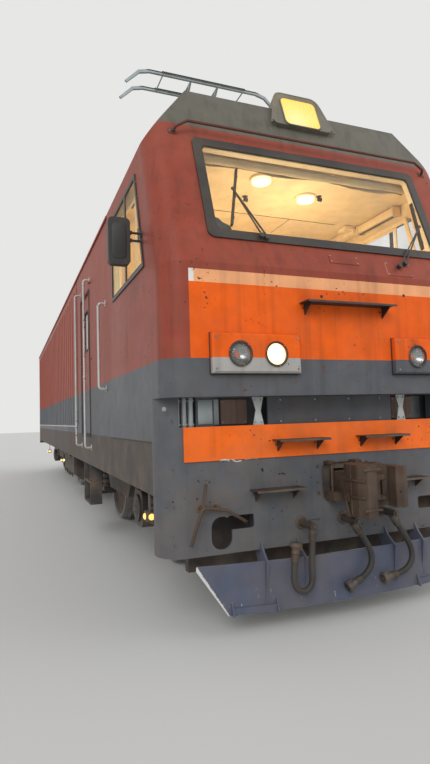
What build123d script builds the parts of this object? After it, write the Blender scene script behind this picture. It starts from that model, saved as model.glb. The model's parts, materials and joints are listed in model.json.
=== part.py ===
"""One cab-ended section of a twin-section freight electric locomotive.

Millimetres, +Z up. The front faces -Y and +X is on the right of someone who
looks at the front. The origin lies under the middle of the section, at the
level of the wheel flanges' tips.
"""
import math
import os

from build123d import *

os.makedirs("parts", exist_ok=True)

# Track and heights. Heights below are written above the rail head.
FLANGE_DROP = 30
RAIL = FLANGE_DROP
TRACK_BACK = 1440

# Length, along Y
COUPLER_FACE = 8500
PLATE_FRONT = -7880
CAB_FRONT = -8050
CAB_REAR = -5850
VESTIBULE_REAR = -2900
REAR_END = 8050
RECESS_BACK = -7650

# Body section
BODY_HALF = 1550
WALL = 60
FLOOR_TOP = RAIL + 1440
FLOOR_THICK = 40
SOLE_BOTTOM = RAIL + 1020
SOLE_WIDTH = 150
EAVES = RAIL + 3930
ROOF_TOP = RAIL + 4500
ROOF_HALF = 1130
ROOF_SKIN = 50
RIB_DEPTH = 12
RIB_WIDTH = 46

# Cab face
LIP_BOTTOM = RAIL + 1770
FACE_BREAK = RAIL + 2780
FACE_TOP = RAIL + 4100
FACE_TOP_Y = -7580
CORNER_RADIUS = 200
LEAN = math.degrees(math.atan2(FACE_TOP_Y - CAB_FRONT, FACE_TOP - FACE_BREAK))
CAB_FLOOR = RAIL + 1900
CAB_FLOOR_THICK = 50
CAB_CEILING = EAVES
CEILING_THICK = 30
BULKHEAD = 50

# Windshield, measured on the leaning face
SCREEN_HALF = 1155
SCREEN_LOW = RAIL + 3000
SCREEN_HIGH = RAIL + 3970
SCREEN_RIM = 80
SCREEN_PROUD = 14
GLASS = 12

# Side window of the cab
SIDE_GLASS_LOW = RAIL + 2900
SIDE_GLASS_HIGH = RAIL + 3720
SIDE_GLASS_FRONT_LOW = -7480
SIDE_GLASS_FRONT_HIGH = -7245
SIDE_GLASS_REAR = -6180
SIDE_GLASS_POST = -6850
SIDE_GLASS_POST_WIDTH = 50
SIDE_RIM = 36
SIDE_PROUD = 12

# Front plate, its band and the recess above it
PLATE_THICK = 16
PLATE_BOTTOM = RAIL + 580
BAND_BOTTOM = RAIL + 1286
BAND_TOP = RAIL + 1547
BAND_HALF = 1370
BAND_THICK = 10
RECESS_HALF = 1400
PLATE_WRAP = RECESS_BACK - PLATE_FRONT
SLOT_X = 1080
SLOT_HEIGHT = RAIL + 738
SLOT_WIDTH = 170
SLOT_TALL = 245
NOTCH_X = 920
NOTCH_HEIGHT = RAIL + 808
NOTCH_WIDTH = 225
NOTCH_TALL = 105

# Searchlight hood on the roof's front
LIGHT_HALF_TOP = 225
LIGHT_HALF_LOW = 335
LIGHT_TOP = RAIL + 4670
LIGHT_LOW = RAIL + 4280
LIGHT_GLASS_WIDTH = 370
LIGHT_GLASS_HEIGHT = 270

# Buffer lamps
LAMP_BOX_NEAR = 460
LAMP_BOX_FAR = 1200
LAMP_BOX_LOW = RAIL + 1940
LAMP_BOX_HIGH = RAIL + 2240
LAMP_BOX_DEPTH = 60
LAMP_RADIUS = 85
LAMP_HEIGHT = RAIL + 2085
LAMP_OFFSETS = (680, 980)

# Plow
PLOW_TOP = RAIL + 500
PLOW_BOTTOM = RAIL + 130
PLOW_HALF_TOP = 1290
PLOW_HALF_LOW = 1060
PLOW_BOW = 130
PLOW_THICK = 16

# Couplers and brake hoses
COUPLER_HEIGHT = RAIL + 1060
SHANK_HALF = 80

# Doors
DOOR_FRONT = -4300
DOOR_WIDTH = 840
DOOR_HEIGHT = 1980
DOOR_THICK = 45
DOOR_GAP = 6
DOOR_PANE = 10
DOOR_PANE_WIDTH = 420
DOOR_PANE_HEIGHT = 560
DOOR_PANE_MIDDLE = 1480
GRIP_RADIUS = 9
GRIP_STAND = 32
GRIP_LONG = 130
GRIP_HEIGHT = 1000
PASSAGE_HALF = 360
PASSAGE_HEIGHT = 1980
HINGE_OFF = 12
KNUCKLE_RADIUS = 10
KNUCKLE_HALF = 30
HINGE_PIN = 5
HINGE_STRAP = 60
HINGE_HEIGHTS = (250, 1650)
CAB_DOOR_HALF = 320
CAB_DOOR_HEIGHT = 1850

# Bogies
BOGIE_CENTRES = 8400
WHEELBASE = 3000
WHEEL_RADIUS = 625
TREAD_WIDTH = 140
WEB_THICK = 30
AXLE_RADIUS = 95
JOURNAL_RADIUS = 75
JOURNAL_END = 1190
BOX_FIT = 0.3
AXLE_HEIGHT = RAIL + WHEEL_RADIUS
FRAME_X = 1080
FRAME_WIDTH = 140
FRAME_TOP = RAIL + 1070
FRAME_SHOULDER = RAIL + 910
FRAME_BELLY = RAIL + 620
FRAME_REACH = 2400
PIVOT_RADIUS = 110
PIVOT_FIT = 0.5
PAD_GAP = 0.5

# Pantograph, raised as it runs
PAN_Y = -4830
PAN_ARM = 1750
PAN_PIVOT = RAIL + 4880
PAN_STRIP_TOP = RAIL + 6340
PAN_HEAD_HALF = 1130
PAN_HEAD_RISE = 130

BOGIES = (("front", -BOGIE_CENTRES / 2), ("rear", BOGIE_CENTRES / 2))


def finish(piece, name):
    """Label a finished piece and write it."""
    piece.part.label = name
    export_step(piece.part, f"parts/{name}.step")


def face_y(height):
    """Y of the leaning cab face at a height."""
    return CAB_FRONT + (height - FACE_BREAK) * math.tan(math.radians(LEAN))


def hat_points(inset, base):
    """Half roof section from the eaves to the flat top, walls moved in by inset."""
    run = BODY_HALF - ROOF_HALF
    rise = ROOF_TOP - EAVES
    side = inset * math.hypot(run, rise) / rise
    top = ROOF_TOP - inset
    shoulder = BODY_HALF - side - (top - EAVES) * run / rise
    return [(-BODY_HALF + side, base), (-shoulder, top), (shoulder, top), (BODY_HALF - side, base)]


def wall_outline(half, inset):
    """Outline of a cross wall of half width half, under a roof skin of inset."""
    run = BODY_HALF - ROOF_HALF
    rise = ROOF_TOP - EAVES
    points = hat_points(inset, EAVES)
    corner = EAVES + (points[3][0] - half) * rise / run
    return [(-half, FLOOR_TOP), (-half, corner), points[1], points[2], (half, corner), (half, FLOOR_TOP)]


def hinge(place, sign, on_door):
    """Half a hinge. place stands on the pin's axis, its X along the wall towards the leaf.

    The wall's face lies at sign times HINGE_OFF along the plane's Y.
    """
    reach = HINGE_STRAP if on_door else -HINGE_STRAP
    strap_mid = sign * (HINGE_OFF - 4)
    spans = ((-KNUCKLE_HALF, KNUCKLE_HALF),) if on_door else (
        (-KNUCKLE_HALF - 40, -KNUCKLE_HALF - 0.3),
        (KNUCKLE_HALF + 0.3, KNUCKLE_HALF + 40),
    )
    with BuildPart() as half:
        for low, high in spans:
            with BuildSketch(place.offset(low)):
                Circle(KNUCKLE_RADIUS)
                with Locations((reach / 2, strap_mid)):
                    Rectangle(HINGE_STRAP, 8)
                if on_door:
                    Circle(HINGE_PIN + 0.3, mode=Mode.SUBTRACT)
            extrude(amount=high - low)
        if not on_door:
            with BuildSketch(place.offset(-KNUCKLE_HALF - 40)):
                Circle(HINGE_PIN)
            extrude(amount=2 * KNUCKLE_HALF + 80)
    return half.part


def door_hinges(place, sign, on_door):
    """All hinge halves of one door, place on the floor under the pins."""
    return [hinge(place.offset(height), sign, on_door) for height in HINGE_HEIGHTS]


def tube(points, radius, bend):
    """A round bar along straight runs joined by arcs."""
    with BuildPart() as bar:
        with BuildLine() as route:
            FilletPolyline(*points, radius=bend)
        with BuildSketch(Plane(route.line @ 0, z_dir=route.line % 0)):
            Circle(radius)
        sweep()
    return bar.part


# Plane of the leaning face, its origin on the centre line at the break
face_plane = Plane(
    origin=(0, CAB_FRONT, FACE_BREAK),
    x_dir=(1, 0, 0),
    z_dir=(0, -math.cos(math.radians(LEAN)), math.sin(math.radians(LEAN))),
)


def on_face(height):
    """Distance up the leaning face from the break to a height."""
    return (height - FACE_BREAK) / math.cos(math.radians(LEAN))


# Underframe: deck, sole bars, headstocks, bolsters with centre pivots, ladders
BOLSTER_LOW = RAIL + 1240
HEADSTOCK_LOW = RAIL + 930
HEADSTOCK_DEPTH = 200
APRON_LOW = RAIL + 410
APRON_HALF = 1280
DECK_FRONT = PLATE_FRONT + PLATE_THICK
DECK_REAR = REAR_END - 10
STEP_WIDTH = 560
STEP_DEPTH = 160
STEP_HEIGHTS = (RAIL + 470, RAIL + 760)
SOLE_X = BODY_HALF - 12 - SOLE_WIDTH / 2
JACK_Y = 1350
JACK_LONG = 260
JACK_PAD = 40
SIDE_LAMP_YS = (-7330, 0, 3900)
SIDE_LAMP_X = 1500
SIDE_LAMP_LOW = RAIL + 780
SIDE_LAMP_TALL = 80

with BuildPart() as underframe:
    with BuildSketch(Plane.XY.offset(FLOOR_TOP - FLOOR_THICK)):
        with Locations((0, (DECK_REAR + RECESS_BACK) / 2)):
            Rectangle(2 * BODY_HALF - 24, DECK_REAR - RECESS_BACK)
    extrude(amount=FLOOR_THICK)
    with BuildSketch(Plane.XY.offset(SOLE_BOTTOM)):
        with Locations((0, (DECK_REAR + RECESS_BACK) / 2)):
            with GridLocations(2 * BODY_HALF - 24 - SOLE_WIDTH, 1, 2, 1):
                Rectangle(SOLE_WIDTH, DECK_REAR - RECESS_BACK)
    extrude(amount=FLOOR_TOP - FLOOR_THICK - SOLE_BOTTOM)
    with BuildSketch(Plane.XY.offset(HEADSTOCK_LOW)):
        with Locations((0, DECK_FRONT + HEADSTOCK_DEPTH / 2)):
            Rectangle(2 * (BODY_HALF - CORNER_RADIUS), HEADSTOCK_DEPTH)
        with Locations((0, RECESS_BACK + 40)):
            Rectangle(2 * BODY_HALF - 40, 80)
        with Locations((0, DECK_REAR - HEADSTOCK_DEPTH / 2)):
            Rectangle(2 * BODY_HALF - 24, HEADSTOCK_DEPTH)
    extrude(amount=FLOOR_TOP - FLOOR_THICK - HEADSTOCK_LOW)
    # Apron beam behind the front plate
    with BuildSketch(Plane.XY.offset(APRON_LOW)):
        with Locations((0, RECESS_BACK + 40)):
            Rectangle(2 * APRON_HALF, 80)
    extrude(amount=HEADSTOCK_LOW - APRON_LOW)
    # Cross members of the deck
    with BuildSketch(Plane.XY.offset(BOLSTER_LOW)):
        for y in (-BOGIE_CENTRES / 2, BOGIE_CENTRES / 2):
            with Locations((0, y)):
                Rectangle(2 * BODY_HALF - 200, 400)
        with Locations((0, -1300), (0, 0), (0, 1300)):
            Rectangle(2 * BODY_HALF - 200, 120)
    extrude(amount=FLOOR_TOP - FLOOR_THICK - BOLSTER_LOW)
    for y in (-BOGIE_CENTRES / 2, BOGIE_CENTRES / 2):
        with BuildSketch(Plane.XY.offset(RAIL + 800)):
            with Locations((0, y)):
                Circle(PIVOT_RADIUS)
        extrude(amount=BOLSTER_LOW - RAIL - 800)
    # Draught gear boxes at both ends
    with BuildSketch(Plane.XY.offset(RAIL + 880)):
        with Locations((0, DECK_FRONT + 500), (0, DECK_REAR - 500)):
            Rectangle(520, 1000)
    extrude(amount=FLOOR_TOP - FLOOR_THICK - RAIL - 880)
    with BuildSketch(Plane.XY.offset(COUPLER_HEIGHT - SHANK_HALF)):
        with Locations((0, DECK_FRONT + 300), (0, DECK_REAR - 300)):
            Rectangle(2 * SHANK_HALF + 20, 601)
    extrude(amount=2 * SHANK_HALF + 20, mode=Mode.SUBTRACT)
    # Jacking pads and side lamps under the sole bars
    with BuildSketch(Plane.XY.offset(SOLE_BOTTOM - JACK_PAD)):
        with GridLocations(2 * SOLE_X, 2 * JACK_Y, 2, 2):
            Rectangle(SOLE_WIDTH, JACK_LONG)
    extrude(amount=JACK_PAD)
    for side in (-1, 1):
        for y in SIDE_LAMP_YS:
            with BuildSketch(Plane.XY.offset(SIDE_LAMP_LOW)):
                with Locations((side * SIDE_LAMP_X, y)):
                    RectangleRounded(80, 120, 25)
            extrude(amount=SIDE_LAMP_TALL)
            with BuildSketch(Plane.XY.offset(SIDE_LAMP_LOW + SIDE_LAMP_TALL)):
                with Locations((side * SIDE_LAMP_X, y)):
                    Rectangle(10, 60)
            extrude(amount=SOLE_BOTTOM - SIDE_LAMP_LOW - SIDE_LAMP_TALL)
    # Ladders under the side doors
    for side in (-1, 1):
        for z in STEP_HEIGHTS:
            with BuildSketch(Plane.XY.offset(z)):
                with Locations((side * (BODY_HALF - 92), DOOR_FRONT + DOOR_WIDTH / 2)):
                    Rectangle(STEP_DEPTH, STEP_WIDTH)
            extrude(amount=30)
        with BuildSketch(Plane.XY.offset(STEP_HEIGHTS[0])):
            with Locations((side * (BODY_HALF - 92), DOOR_FRONT + DOOR_WIDTH / 2)):
                with GridLocations(1, STEP_WIDTH + 24, 1, 2):
                    Rectangle(STEP_DEPTH, 24)
        extrude(amount=SOLE_BOTTOM - STEP_HEIGHTS[0])
finish(underframe, "underframe")


def cab_form(inset, low):
    """The cab's outer form, or its cavity when inset by the wall."""
    tan = math.tan(math.radians(LEAN))
    cos = math.cos(math.radians(LEAN))
    front = CAB_FRONT + inset
    shift = inset / cos
    rear = CAB_REAR + (inset > 0)
    low_step = LIP_BOTTOM + inset
    break_z = FACE_BREAK + (inset - shift) / tan
    top = ROOF_TOP - inset
    top_y = face_y(top) + shift
    with BuildPart() as form:
        with BuildSketch(Plane.YZ):
            with BuildLine():
                Polyline(
                    (front, low_step),
                    (front, break_z),
                    (top_y, top),
                    (rear, top),
                    (rear, low),
                    (RECESS_BACK + inset, low),
                    (RECESS_BACK + inset, low_step),
                    close=True,
                )
            make_face()
        extrude(amount=BODY_HALF - inset, both=True)
        # Roof slopes cut along the whole cab
        points = hat_points(inset, EAVES)
        for side in (0, 1):
            sign = -1 if side == 0 else 1
            shoulder = abs(points[1][0])
            with BuildSketch(Plane.XZ.offset(-CAB_REAR - 10)):
                with BuildLine():
                    Polyline(
                        (sign * abs(points[0][0]), EAVES),
                        (sign * shoulder, ROOF_TOP - inset),
                        (sign * shoulder, ROOF_TOP + 50),
                        (sign * (BODY_HALF + 50), ROOF_TOP + 50),
                        (sign * (BODY_HALF + 50), EAVES),
                        close=True,
                    )
                make_face()
            extrude(amount=CAB_REAR - CAB_FRONT + 100, mode=Mode.SUBTRACT)
        uprights = form.edges().filter_by(Axis.Z)
        corners = uprights.filter_by(lambda e: abs(e.center().X) > BODY_HALF - inset - 1
                                     and e.center().Y < front + 1)
        leaning = form.edges().filter_by(
            lambda e: e.geom_type == GeomType.LINE
            and abs(e.center().X) > BODY_HALF - inset - 1
            and abs((e @ 1 - e @ 0).Y) > 100
            and abs((e @ 1 - e @ 0).Z) > 300
        )
        fillet(corners + leaning, CORNER_RADIUS - inset)
    return form.part


# Covers on the leaning face: x, distance up the face, width, height
COVER_TABLE = ((50, 135, 290, 85), (610, 85, 270, 140))
COVER_PROUD = 4

outer_form = cab_form(0, FLOOR_TOP)
inner_form = cab_form(WALL, FLOOR_TOP - 10)

with BuildPart() as cab_shell:
    add(outer_form)
    add(inner_form, mode=Mode.SUBTRACT)
    # Windshield opening
    with BuildSketch(face_plane):
        with Locations((0, on_face((SCREEN_LOW + SCREEN_HIGH) / 2))):
            RectangleRounded(
                2 * (SCREEN_HALF - SCREEN_RIM),
                on_face(SCREEN_HIGH) - on_face(SCREEN_LOW) - 2 * SCREEN_RIM,
                30,
            )
    extrude(amount=200, both=True, mode=Mode.SUBTRACT)
    # Side window openings
    with BuildSketch(Plane.YZ):
        with BuildLine():
            Polyline(
                (SIDE_GLASS_FRONT_LOW, SIDE_GLASS_LOW),
                (SIDE_GLASS_FRONT_HIGH, SIDE_GLASS_HIGH),
                (SIDE_GLASS_REAR, SIDE_GLASS_HIGH),
                (SIDE_GLASS_REAR, SIDE_GLASS_LOW),
                close=True,
            )
        make_face()
    extrude(amount=BODY_HALF + 10, both=True, mode=Mode.SUBTRACT)
    # Covers of the wiper drive under the windshield
    with BuildSketch(face_plane):
        for x, up, width, tall in COVER_TABLE:
            with Locations((x, up)):
                RectangleRounded(width, tall, 12)
    extrude(amount=COVER_PROUD)
finish(cab_shell, "cab_shell")

# Windshield rim and glass
screen_mid = on_face((SCREEN_LOW + SCREEN_HIGH) / 2)
screen_tall = on_face(SCREEN_HIGH) - on_face(SCREEN_LOW)
side_points = [
    (SIDE_GLASS_FRONT_LOW, SIDE_GLASS_LOW),
    (SIDE_GLASS_FRONT_HIGH, SIDE_GLASS_HIGH),
    (SIDE_GLASS_REAR, SIDE_GLASS_HIGH),
    (SIDE_GLASS_REAR, SIDE_GLASS_LOW),
]

with BuildPart() as window_frames:
    with BuildSketch(face_plane):
        with Locations((0, screen_mid)):
            RectangleRounded(2 * SCREEN_HALF, screen_tall, 60)
            RectangleRounded(
                2 * (SCREEN_HALF - SCREEN_RIM), screen_tall - 2 * SCREEN_RIM, 30, mode=Mode.SUBTRACT
            )
    extrude(amount=SCREEN_PROUD)
    for side in (-1, 1):
        with BuildSketch(Plane.YZ.offset(side * BODY_HALF)):
            with BuildLine():
                Polyline(*side_points, close=True)
            make_face()
            offset(amount=SIDE_RIM, kind=Kind.INTERSECTION)
            with BuildLine():
                Polyline(*side_points, close=True)
            make_face(mode=Mode.SUBTRACT)
            with Locations((SIDE_GLASS_POST, (SIDE_GLASS_LOW + SIDE_GLASS_HIGH) / 2)):
                Rectangle(SIDE_GLASS_POST_WIDTH, SIDE_GLASS_HIGH - SIDE_GLASS_LOW + 20)
        extrude(amount=side * SIDE_PROUD)
finish(window_frames, "window_frames")

with BuildPart() as window_glass:
    with BuildSketch(face_plane.offset(-GLASS)):
        with Locations((0, screen_mid)):
            RectangleRounded(2 * (SCREEN_HALF - SCREEN_RIM), screen_tall - 2 * SCREEN_RIM, 30)
    extrude(amount=GLASS)
    for side in (-1, 1):
        with BuildSketch(Plane.YZ.offset(side * BODY_HALF)):
            with BuildLine():
                Polyline(*side_points, close=True)
            make_face()
        extrude(amount=-side * GLASS)
finish(window_glass, "window_glass")

# Cab floor, ceiling and the bulkhead behind the seats
with BuildPart() as cab_floor:
    with BuildSketch(Plane.XY.offset(CAB_FLOOR - CAB_FLOOR_THICK)):
        with Locations((0, (RECESS_BACK + WALL + CAB_REAR - BULKHEAD) / 2)):
            Rectangle(2 * (BODY_HALF - WALL), CAB_REAR - BULKHEAD - RECESS_BACK - WALL)
    extrude(amount=CAB_FLOOR_THICK)
    with BuildSketch(Plane.XY.offset(FLOOR_TOP)):
        with Locations((0, (RECESS_BACK + CAB_REAR) / 2)):
            with GridLocations(900, 1, 3, 1):
                Rectangle(60, 1500)
    extrude(amount=CAB_FLOOR - CAB_FLOOR_THICK - FLOOR_TOP)
finish(cab_floor, "cab_floor")

ceiling_front = face_y(CAB_CEILING) + WALL / math.cos(math.radians(LEAN)) + 1
with BuildPart() as cab_ceiling:
    with BuildSketch(Plane.XY.offset(CAB_CEILING - CEILING_THICK)):
        with Locations((0, (ceiling_front + CAB_REAR - BULKHEAD) / 2)):
            Rectangle(2 * (BODY_HALF - WALL), CAB_REAR - BULKHEAD - ceiling_front)
        fillet(vertices().group_by(Axis.Y)[0], CORNER_RADIUS)
    extrude(amount=CEILING_THICK)
finish(cab_ceiling, "cab_ceiling")

cab_door_pins = Plane(
    origin=(-CAB_DOOR_HALF, CAB_REAR + HINGE_OFF, CAB_FLOOR), x_dir=(1, 0, 0), z_dir=(0, 0, 1)
)
with BuildPart() as cab_bulkhead:
    with BuildSketch(Plane.XZ.offset(-CAB_REAR)):
        with BuildLine():
            Polyline(*wall_outline(BODY_HALF - WALL - 2, WALL), close=True)
        make_face()
        with Locations((0, CAB_FLOOR + CAB_DOOR_HEIGHT / 2)):
            Rectangle(2 * CAB_DOOR_HALF, CAB_DOOR_HEIGHT, mode=Mode.SUBTRACT)
    extrude(amount=BULKHEAD)
    for half in door_hinges(cab_door_pins, -1, False):
        add(half)
finish(cab_bulkhead, "cab_bulkhead")

with BuildPart() as cab_door:
    with BuildSketch(Plane.XZ.offset(-CAB_REAR)):
        with Locations((0, CAB_FLOOR + CAB_DOOR_HEIGHT / 2)):
            Rectangle(2 * CAB_DOOR_HALF - 2 * DOOR_GAP, CAB_DOOR_HEIGHT - 2 * DOOR_GAP)
    extrude(amount=40)
    with BuildSketch(Plane.XZ.offset(-CAB_REAR + 40)):
        with Locations((0, CAB_FLOOR + 1400)):
            Rectangle(360, 500)
    extrude(amount=-12, mode=Mode.SUBTRACT)
    for half in door_hinges(cab_door_pins, -1, True):
        add(half)
finish(cab_door, "cab_door")

# Machine room: side walls, rear wall, bulkhead, roof
RIB_PITCH = 340
wall_low = FLOOR_TOP
wall_tall = EAVES - wall_low
RIB_LOW = wall_low + 120
RIB_HIGH = EAVES - 150
RIB_START = DOOR_FRONT + DOOR_WIDTH + 500
RIB_COUNT = int((REAR_END - 250 - RIB_START) / RIB_PITCH) + 1

WALL_FACE = BODY_HALF - RIB_DEPTH
WALL_INNER = WALL_FACE - WALL
SIDES = (("left", -1), ("right", 1))
side_door_pins = {
    side: Plane(
        origin=(side * (WALL_INNER - HINGE_OFF), DOOR_FRONT, FLOOR_TOP),
        x_dir=(0, 1, 0),
        z_dir=(0, 0, 1),
    )
    for name, side in SIDES
}

for name, side in SIDES:
    with BuildPart() as side_wall:
        with BuildSketch(Plane.XY.offset(wall_low)):
            with Locations((side * (WALL_FACE + WALL_INNER) / 2, (CAB_REAR + REAR_END) / 2)):
                Rectangle(WALL, REAR_END - CAB_REAR)
        extrude(amount=wall_tall)
        with BuildSketch(Plane.YZ.offset(side * WALL_FACE)):
            for index in range(RIB_COUNT):
                with Locations((RIB_START + index * RIB_PITCH, (RIB_LOW + RIB_HIGH) / 2)):
                    Rectangle(RIB_WIDTH, RIB_HIGH - RIB_LOW)
        extrude(amount=side * RIB_DEPTH, taper=25)
        with BuildSketch(Plane.YZ.offset(side * BODY_HALF)):
            with Locations((DOOR_FRONT + DOOR_WIDTH / 2, FLOOR_TOP + DOOR_HEIGHT / 2)):
                Rectangle(DOOR_WIDTH, DOOR_HEIGHT)
        extrude(amount=-side * 200, mode=Mode.SUBTRACT)
        for half in door_hinges(side_door_pins[side], -side, False):
            add(half)
    finish(side_wall, f"side_wall_{name}")

gangway_door_pins = Plane(
    origin=(-PASSAGE_HALF, REAR_END - WALL - HINGE_OFF, FLOOR_TOP), x_dir=(1, 0, 0), z_dir=(0, 0, 1)
)
with BuildPart() as rear_wall:
    with BuildSketch(Plane.XZ.offset(-REAR_END)):
        with BuildLine():
            Polyline(*wall_outline(WALL_INNER, ROOF_SKIN), close=True)
        make_face()
        with Locations((0, FLOOR_TOP + PASSAGE_HEIGHT / 2)):
            Rectangle(2 * PASSAGE_HALF, PASSAGE_HEIGHT, mode=Mode.SUBTRACT)
    extrude(amount=WALL)
    for half in door_hinges(gangway_door_pins, 1, False):
        add(half)
finish(rear_wall, "rear_wall")

CORRIDOR_MID = 1210
CORRIDOR_WIDTH = 440
with BuildPart() as room_bulkhead:
    with BuildSketch(Plane.XZ.offset(-VESTIBULE_REAR)):
        with BuildLine():
            Polyline(*wall_outline(WALL_INNER, ROOF_SKIN), close=True)
        make_face()
        with Locations((-CORRIDOR_MID, FLOOR_TOP + 960), (CORRIDOR_MID, FLOOR_TOP + 960)):
            Rectangle(CORRIDOR_WIDTH, 1920, mode=Mode.SUBTRACT)
    extrude(amount=BULKHEAD)
finish(room_bulkhead, "room_bulkhead")

GRILLE_START = -1900
GRILLE_PITCH = 1500
GRILLE_COUNT = 6
GRILLE_LONG = 1200
GRILLE_TALL = 460
GRILLE_RIM = 30
GRILLE_PROUD = 12
GRILLE_BLADE = 22
GRILLE_BLADE_PITCH = 57
GRILLE_BLADES = 7
with BuildPart() as machine_roof:
    with BuildSketch(Plane.XZ.offset(-REAR_END)):
        with BuildLine():
            Polyline(*hat_points(0, EAVES), close=True)
        make_face()
        with BuildLine():
            Polyline(*hat_points(ROOF_SKIN, EAVES), close=True)
        make_face(mode=Mode.SUBTRACT)
    extrude(amount=REAR_END - CAB_REAR)
    # Louvred grilles on the roof slopes
    for side in (-1, 1):
        slope = Plane(
            origin=(side * (BODY_HALF + ROOF_HALF) / 2, 0, (EAVES + ROOF_TOP) / 2),
            x_dir=(0, 1, 0),
            z_dir=(side * (ROOF_TOP - EAVES), 0, BODY_HALF - ROOF_HALF),
        )
        with BuildSketch(slope):
            for index in range(GRILLE_COUNT):
                with Locations((GRILLE_START + index * GRILLE_PITCH, 0)):
                    Rectangle(GRILLE_LONG, GRILLE_TALL)
                    Rectangle(
                        GRILLE_LONG - 2 * GRILLE_RIM, GRILLE_TALL - 2 * GRILLE_RIM, mode=Mode.SUBTRACT
                    )
        extrude(amount=GRILLE_PROUD)
        with BuildSketch(slope):
            for index in range(GRILLE_COUNT):
                with Locations((GRILLE_START + index * GRILLE_PITCH, 0)):
                    with GridLocations(1, GRILLE_BLADE_PITCH, 1, GRILLE_BLADES):
                        Rectangle(GRILLE_LONG - GRILLE_RIM, GRILLE_BLADE)
        extrude(amount=GRILLE_PROUD - 3)
finish(machine_roof, "machine_roof")

# Side doors, hinged at their front edge and opening inwards
for name, side in SIDES:
    with BuildPart() as door:
        with BuildSketch(Plane.YZ.offset(side * WALL_INNER)):
            with Locations((DOOR_FRONT + DOOR_WIDTH / 2, FLOOR_TOP + DOOR_HEIGHT / 2)):
                RectangleRounded(DOOR_WIDTH - 2 * DOOR_GAP, DOOR_HEIGHT - 2 * DOOR_GAP, 40)
        extrude(amount=side * DOOR_THICK)
        # Window sunk from both faces
        for depth in (0, (DOOR_THICK + DOOR_PANE) / 2):
            with BuildSketch(Plane.YZ.offset(side * (WALL_INNER + depth))):
                with Locations((DOOR_FRONT + DOOR_WIDTH / 2, FLOOR_TOP + DOOR_PANE_MIDDLE)):
                    RectangleRounded(DOOR_PANE_WIDTH, DOOR_PANE_HEIGHT, 60)
            extrude(amount=side * (DOOR_THICK - DOOR_PANE) / 2, mode=Mode.SUBTRACT)
        grip_y = DOOR_FRONT + DOOR_WIDTH - 70
        grip_z = FLOOR_TOP + GRIP_HEIGHT
        grip_x = side * (WALL_INNER + DOOR_THICK)
        add(
            tube(
                [
                    (grip_x - side, grip_y, grip_z),
                    (grip_x + side * GRIP_STAND, grip_y, grip_z),
                    (grip_x + side * GRIP_STAND, grip_y - GRIP_LONG, grip_z),
                ],
                GRIP_RADIUS,
                15,
            )
        )
        for half in door_hinges(side_door_pins[side], -side, True):
            add(half)
    finish(door, f"door_{name}")

with BuildPart() as gangway_door:
    with BuildSketch(Plane.XZ.offset(-REAR_END + WALL)):
        with Locations((0, FLOOR_TOP + PASSAGE_HEIGHT / 2)):
            RectangleRounded(2 * PASSAGE_HALF - 2 * DOOR_GAP, PASSAGE_HEIGHT - 2 * DOOR_GAP, 40)
    extrude(amount=-DOOR_THICK)
    for depth in (0, (DOOR_THICK + DOOR_PANE) / 2):
        with BuildSketch(Plane.XZ.offset(-REAR_END + WALL - depth)):
            with Locations((0, FLOOR_TOP + DOOR_PANE_MIDDLE)):
                RectangleRounded(DOOR_PANE_WIDTH, DOOR_PANE_HEIGHT, 60)
        extrude(amount=-(DOOR_THICK - DOOR_PANE) / 2, mode=Mode.SUBTRACT)
    for half in door_hinges(gangway_door_pins, 1, True):
        add(half)
finish(gangway_door, "gangway_door")

# Gangway bellows round the passage at the rear
BELLOWS_REACH = 400
BELLOWS_HALF = 560
BELLOWS_HIGH = FLOOR_TOP + 2250
BELLOWS_LOW = FLOOR_TOP - 60
BELLOWS_FOLDS = 5
FOLD_DEPTH = 50
BELLOWS_WALL = 60
fold = BELLOWS_REACH / BELLOWS_FOLDS
with BuildPart() as gangway_bellows:
    for index in range(BELLOWS_FOLDS):
        for offset_y, grow, length in ((0, 0, fold / 2), (fold / 2, FOLD_DEPTH, fold / 2)):
            start = REAR_END + index * fold + offset_y
            with BuildSketch(Plane.XZ.offset(-start)):
                with Locations((0, (BELLOWS_LOW + BELLOWS_HIGH) / 2)):
                    RectangleRounded(
                        2 * BELLOWS_HALF + 2 * grow, BELLOWS_HIGH - BELLOWS_LOW + 2 * grow, 100 + grow
                    )
                    RectangleRounded(
                        2 * (BELLOWS_HALF - BELLOWS_WALL),
                        BELLOWS_HIGH - BELLOWS_LOW - 2 * BELLOWS_WALL,
                        60,
                        mode=Mode.SUBTRACT,
                    )
            extrude(amount=-length)
finish(gangway_bellows, "gangway_bellows")

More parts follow.
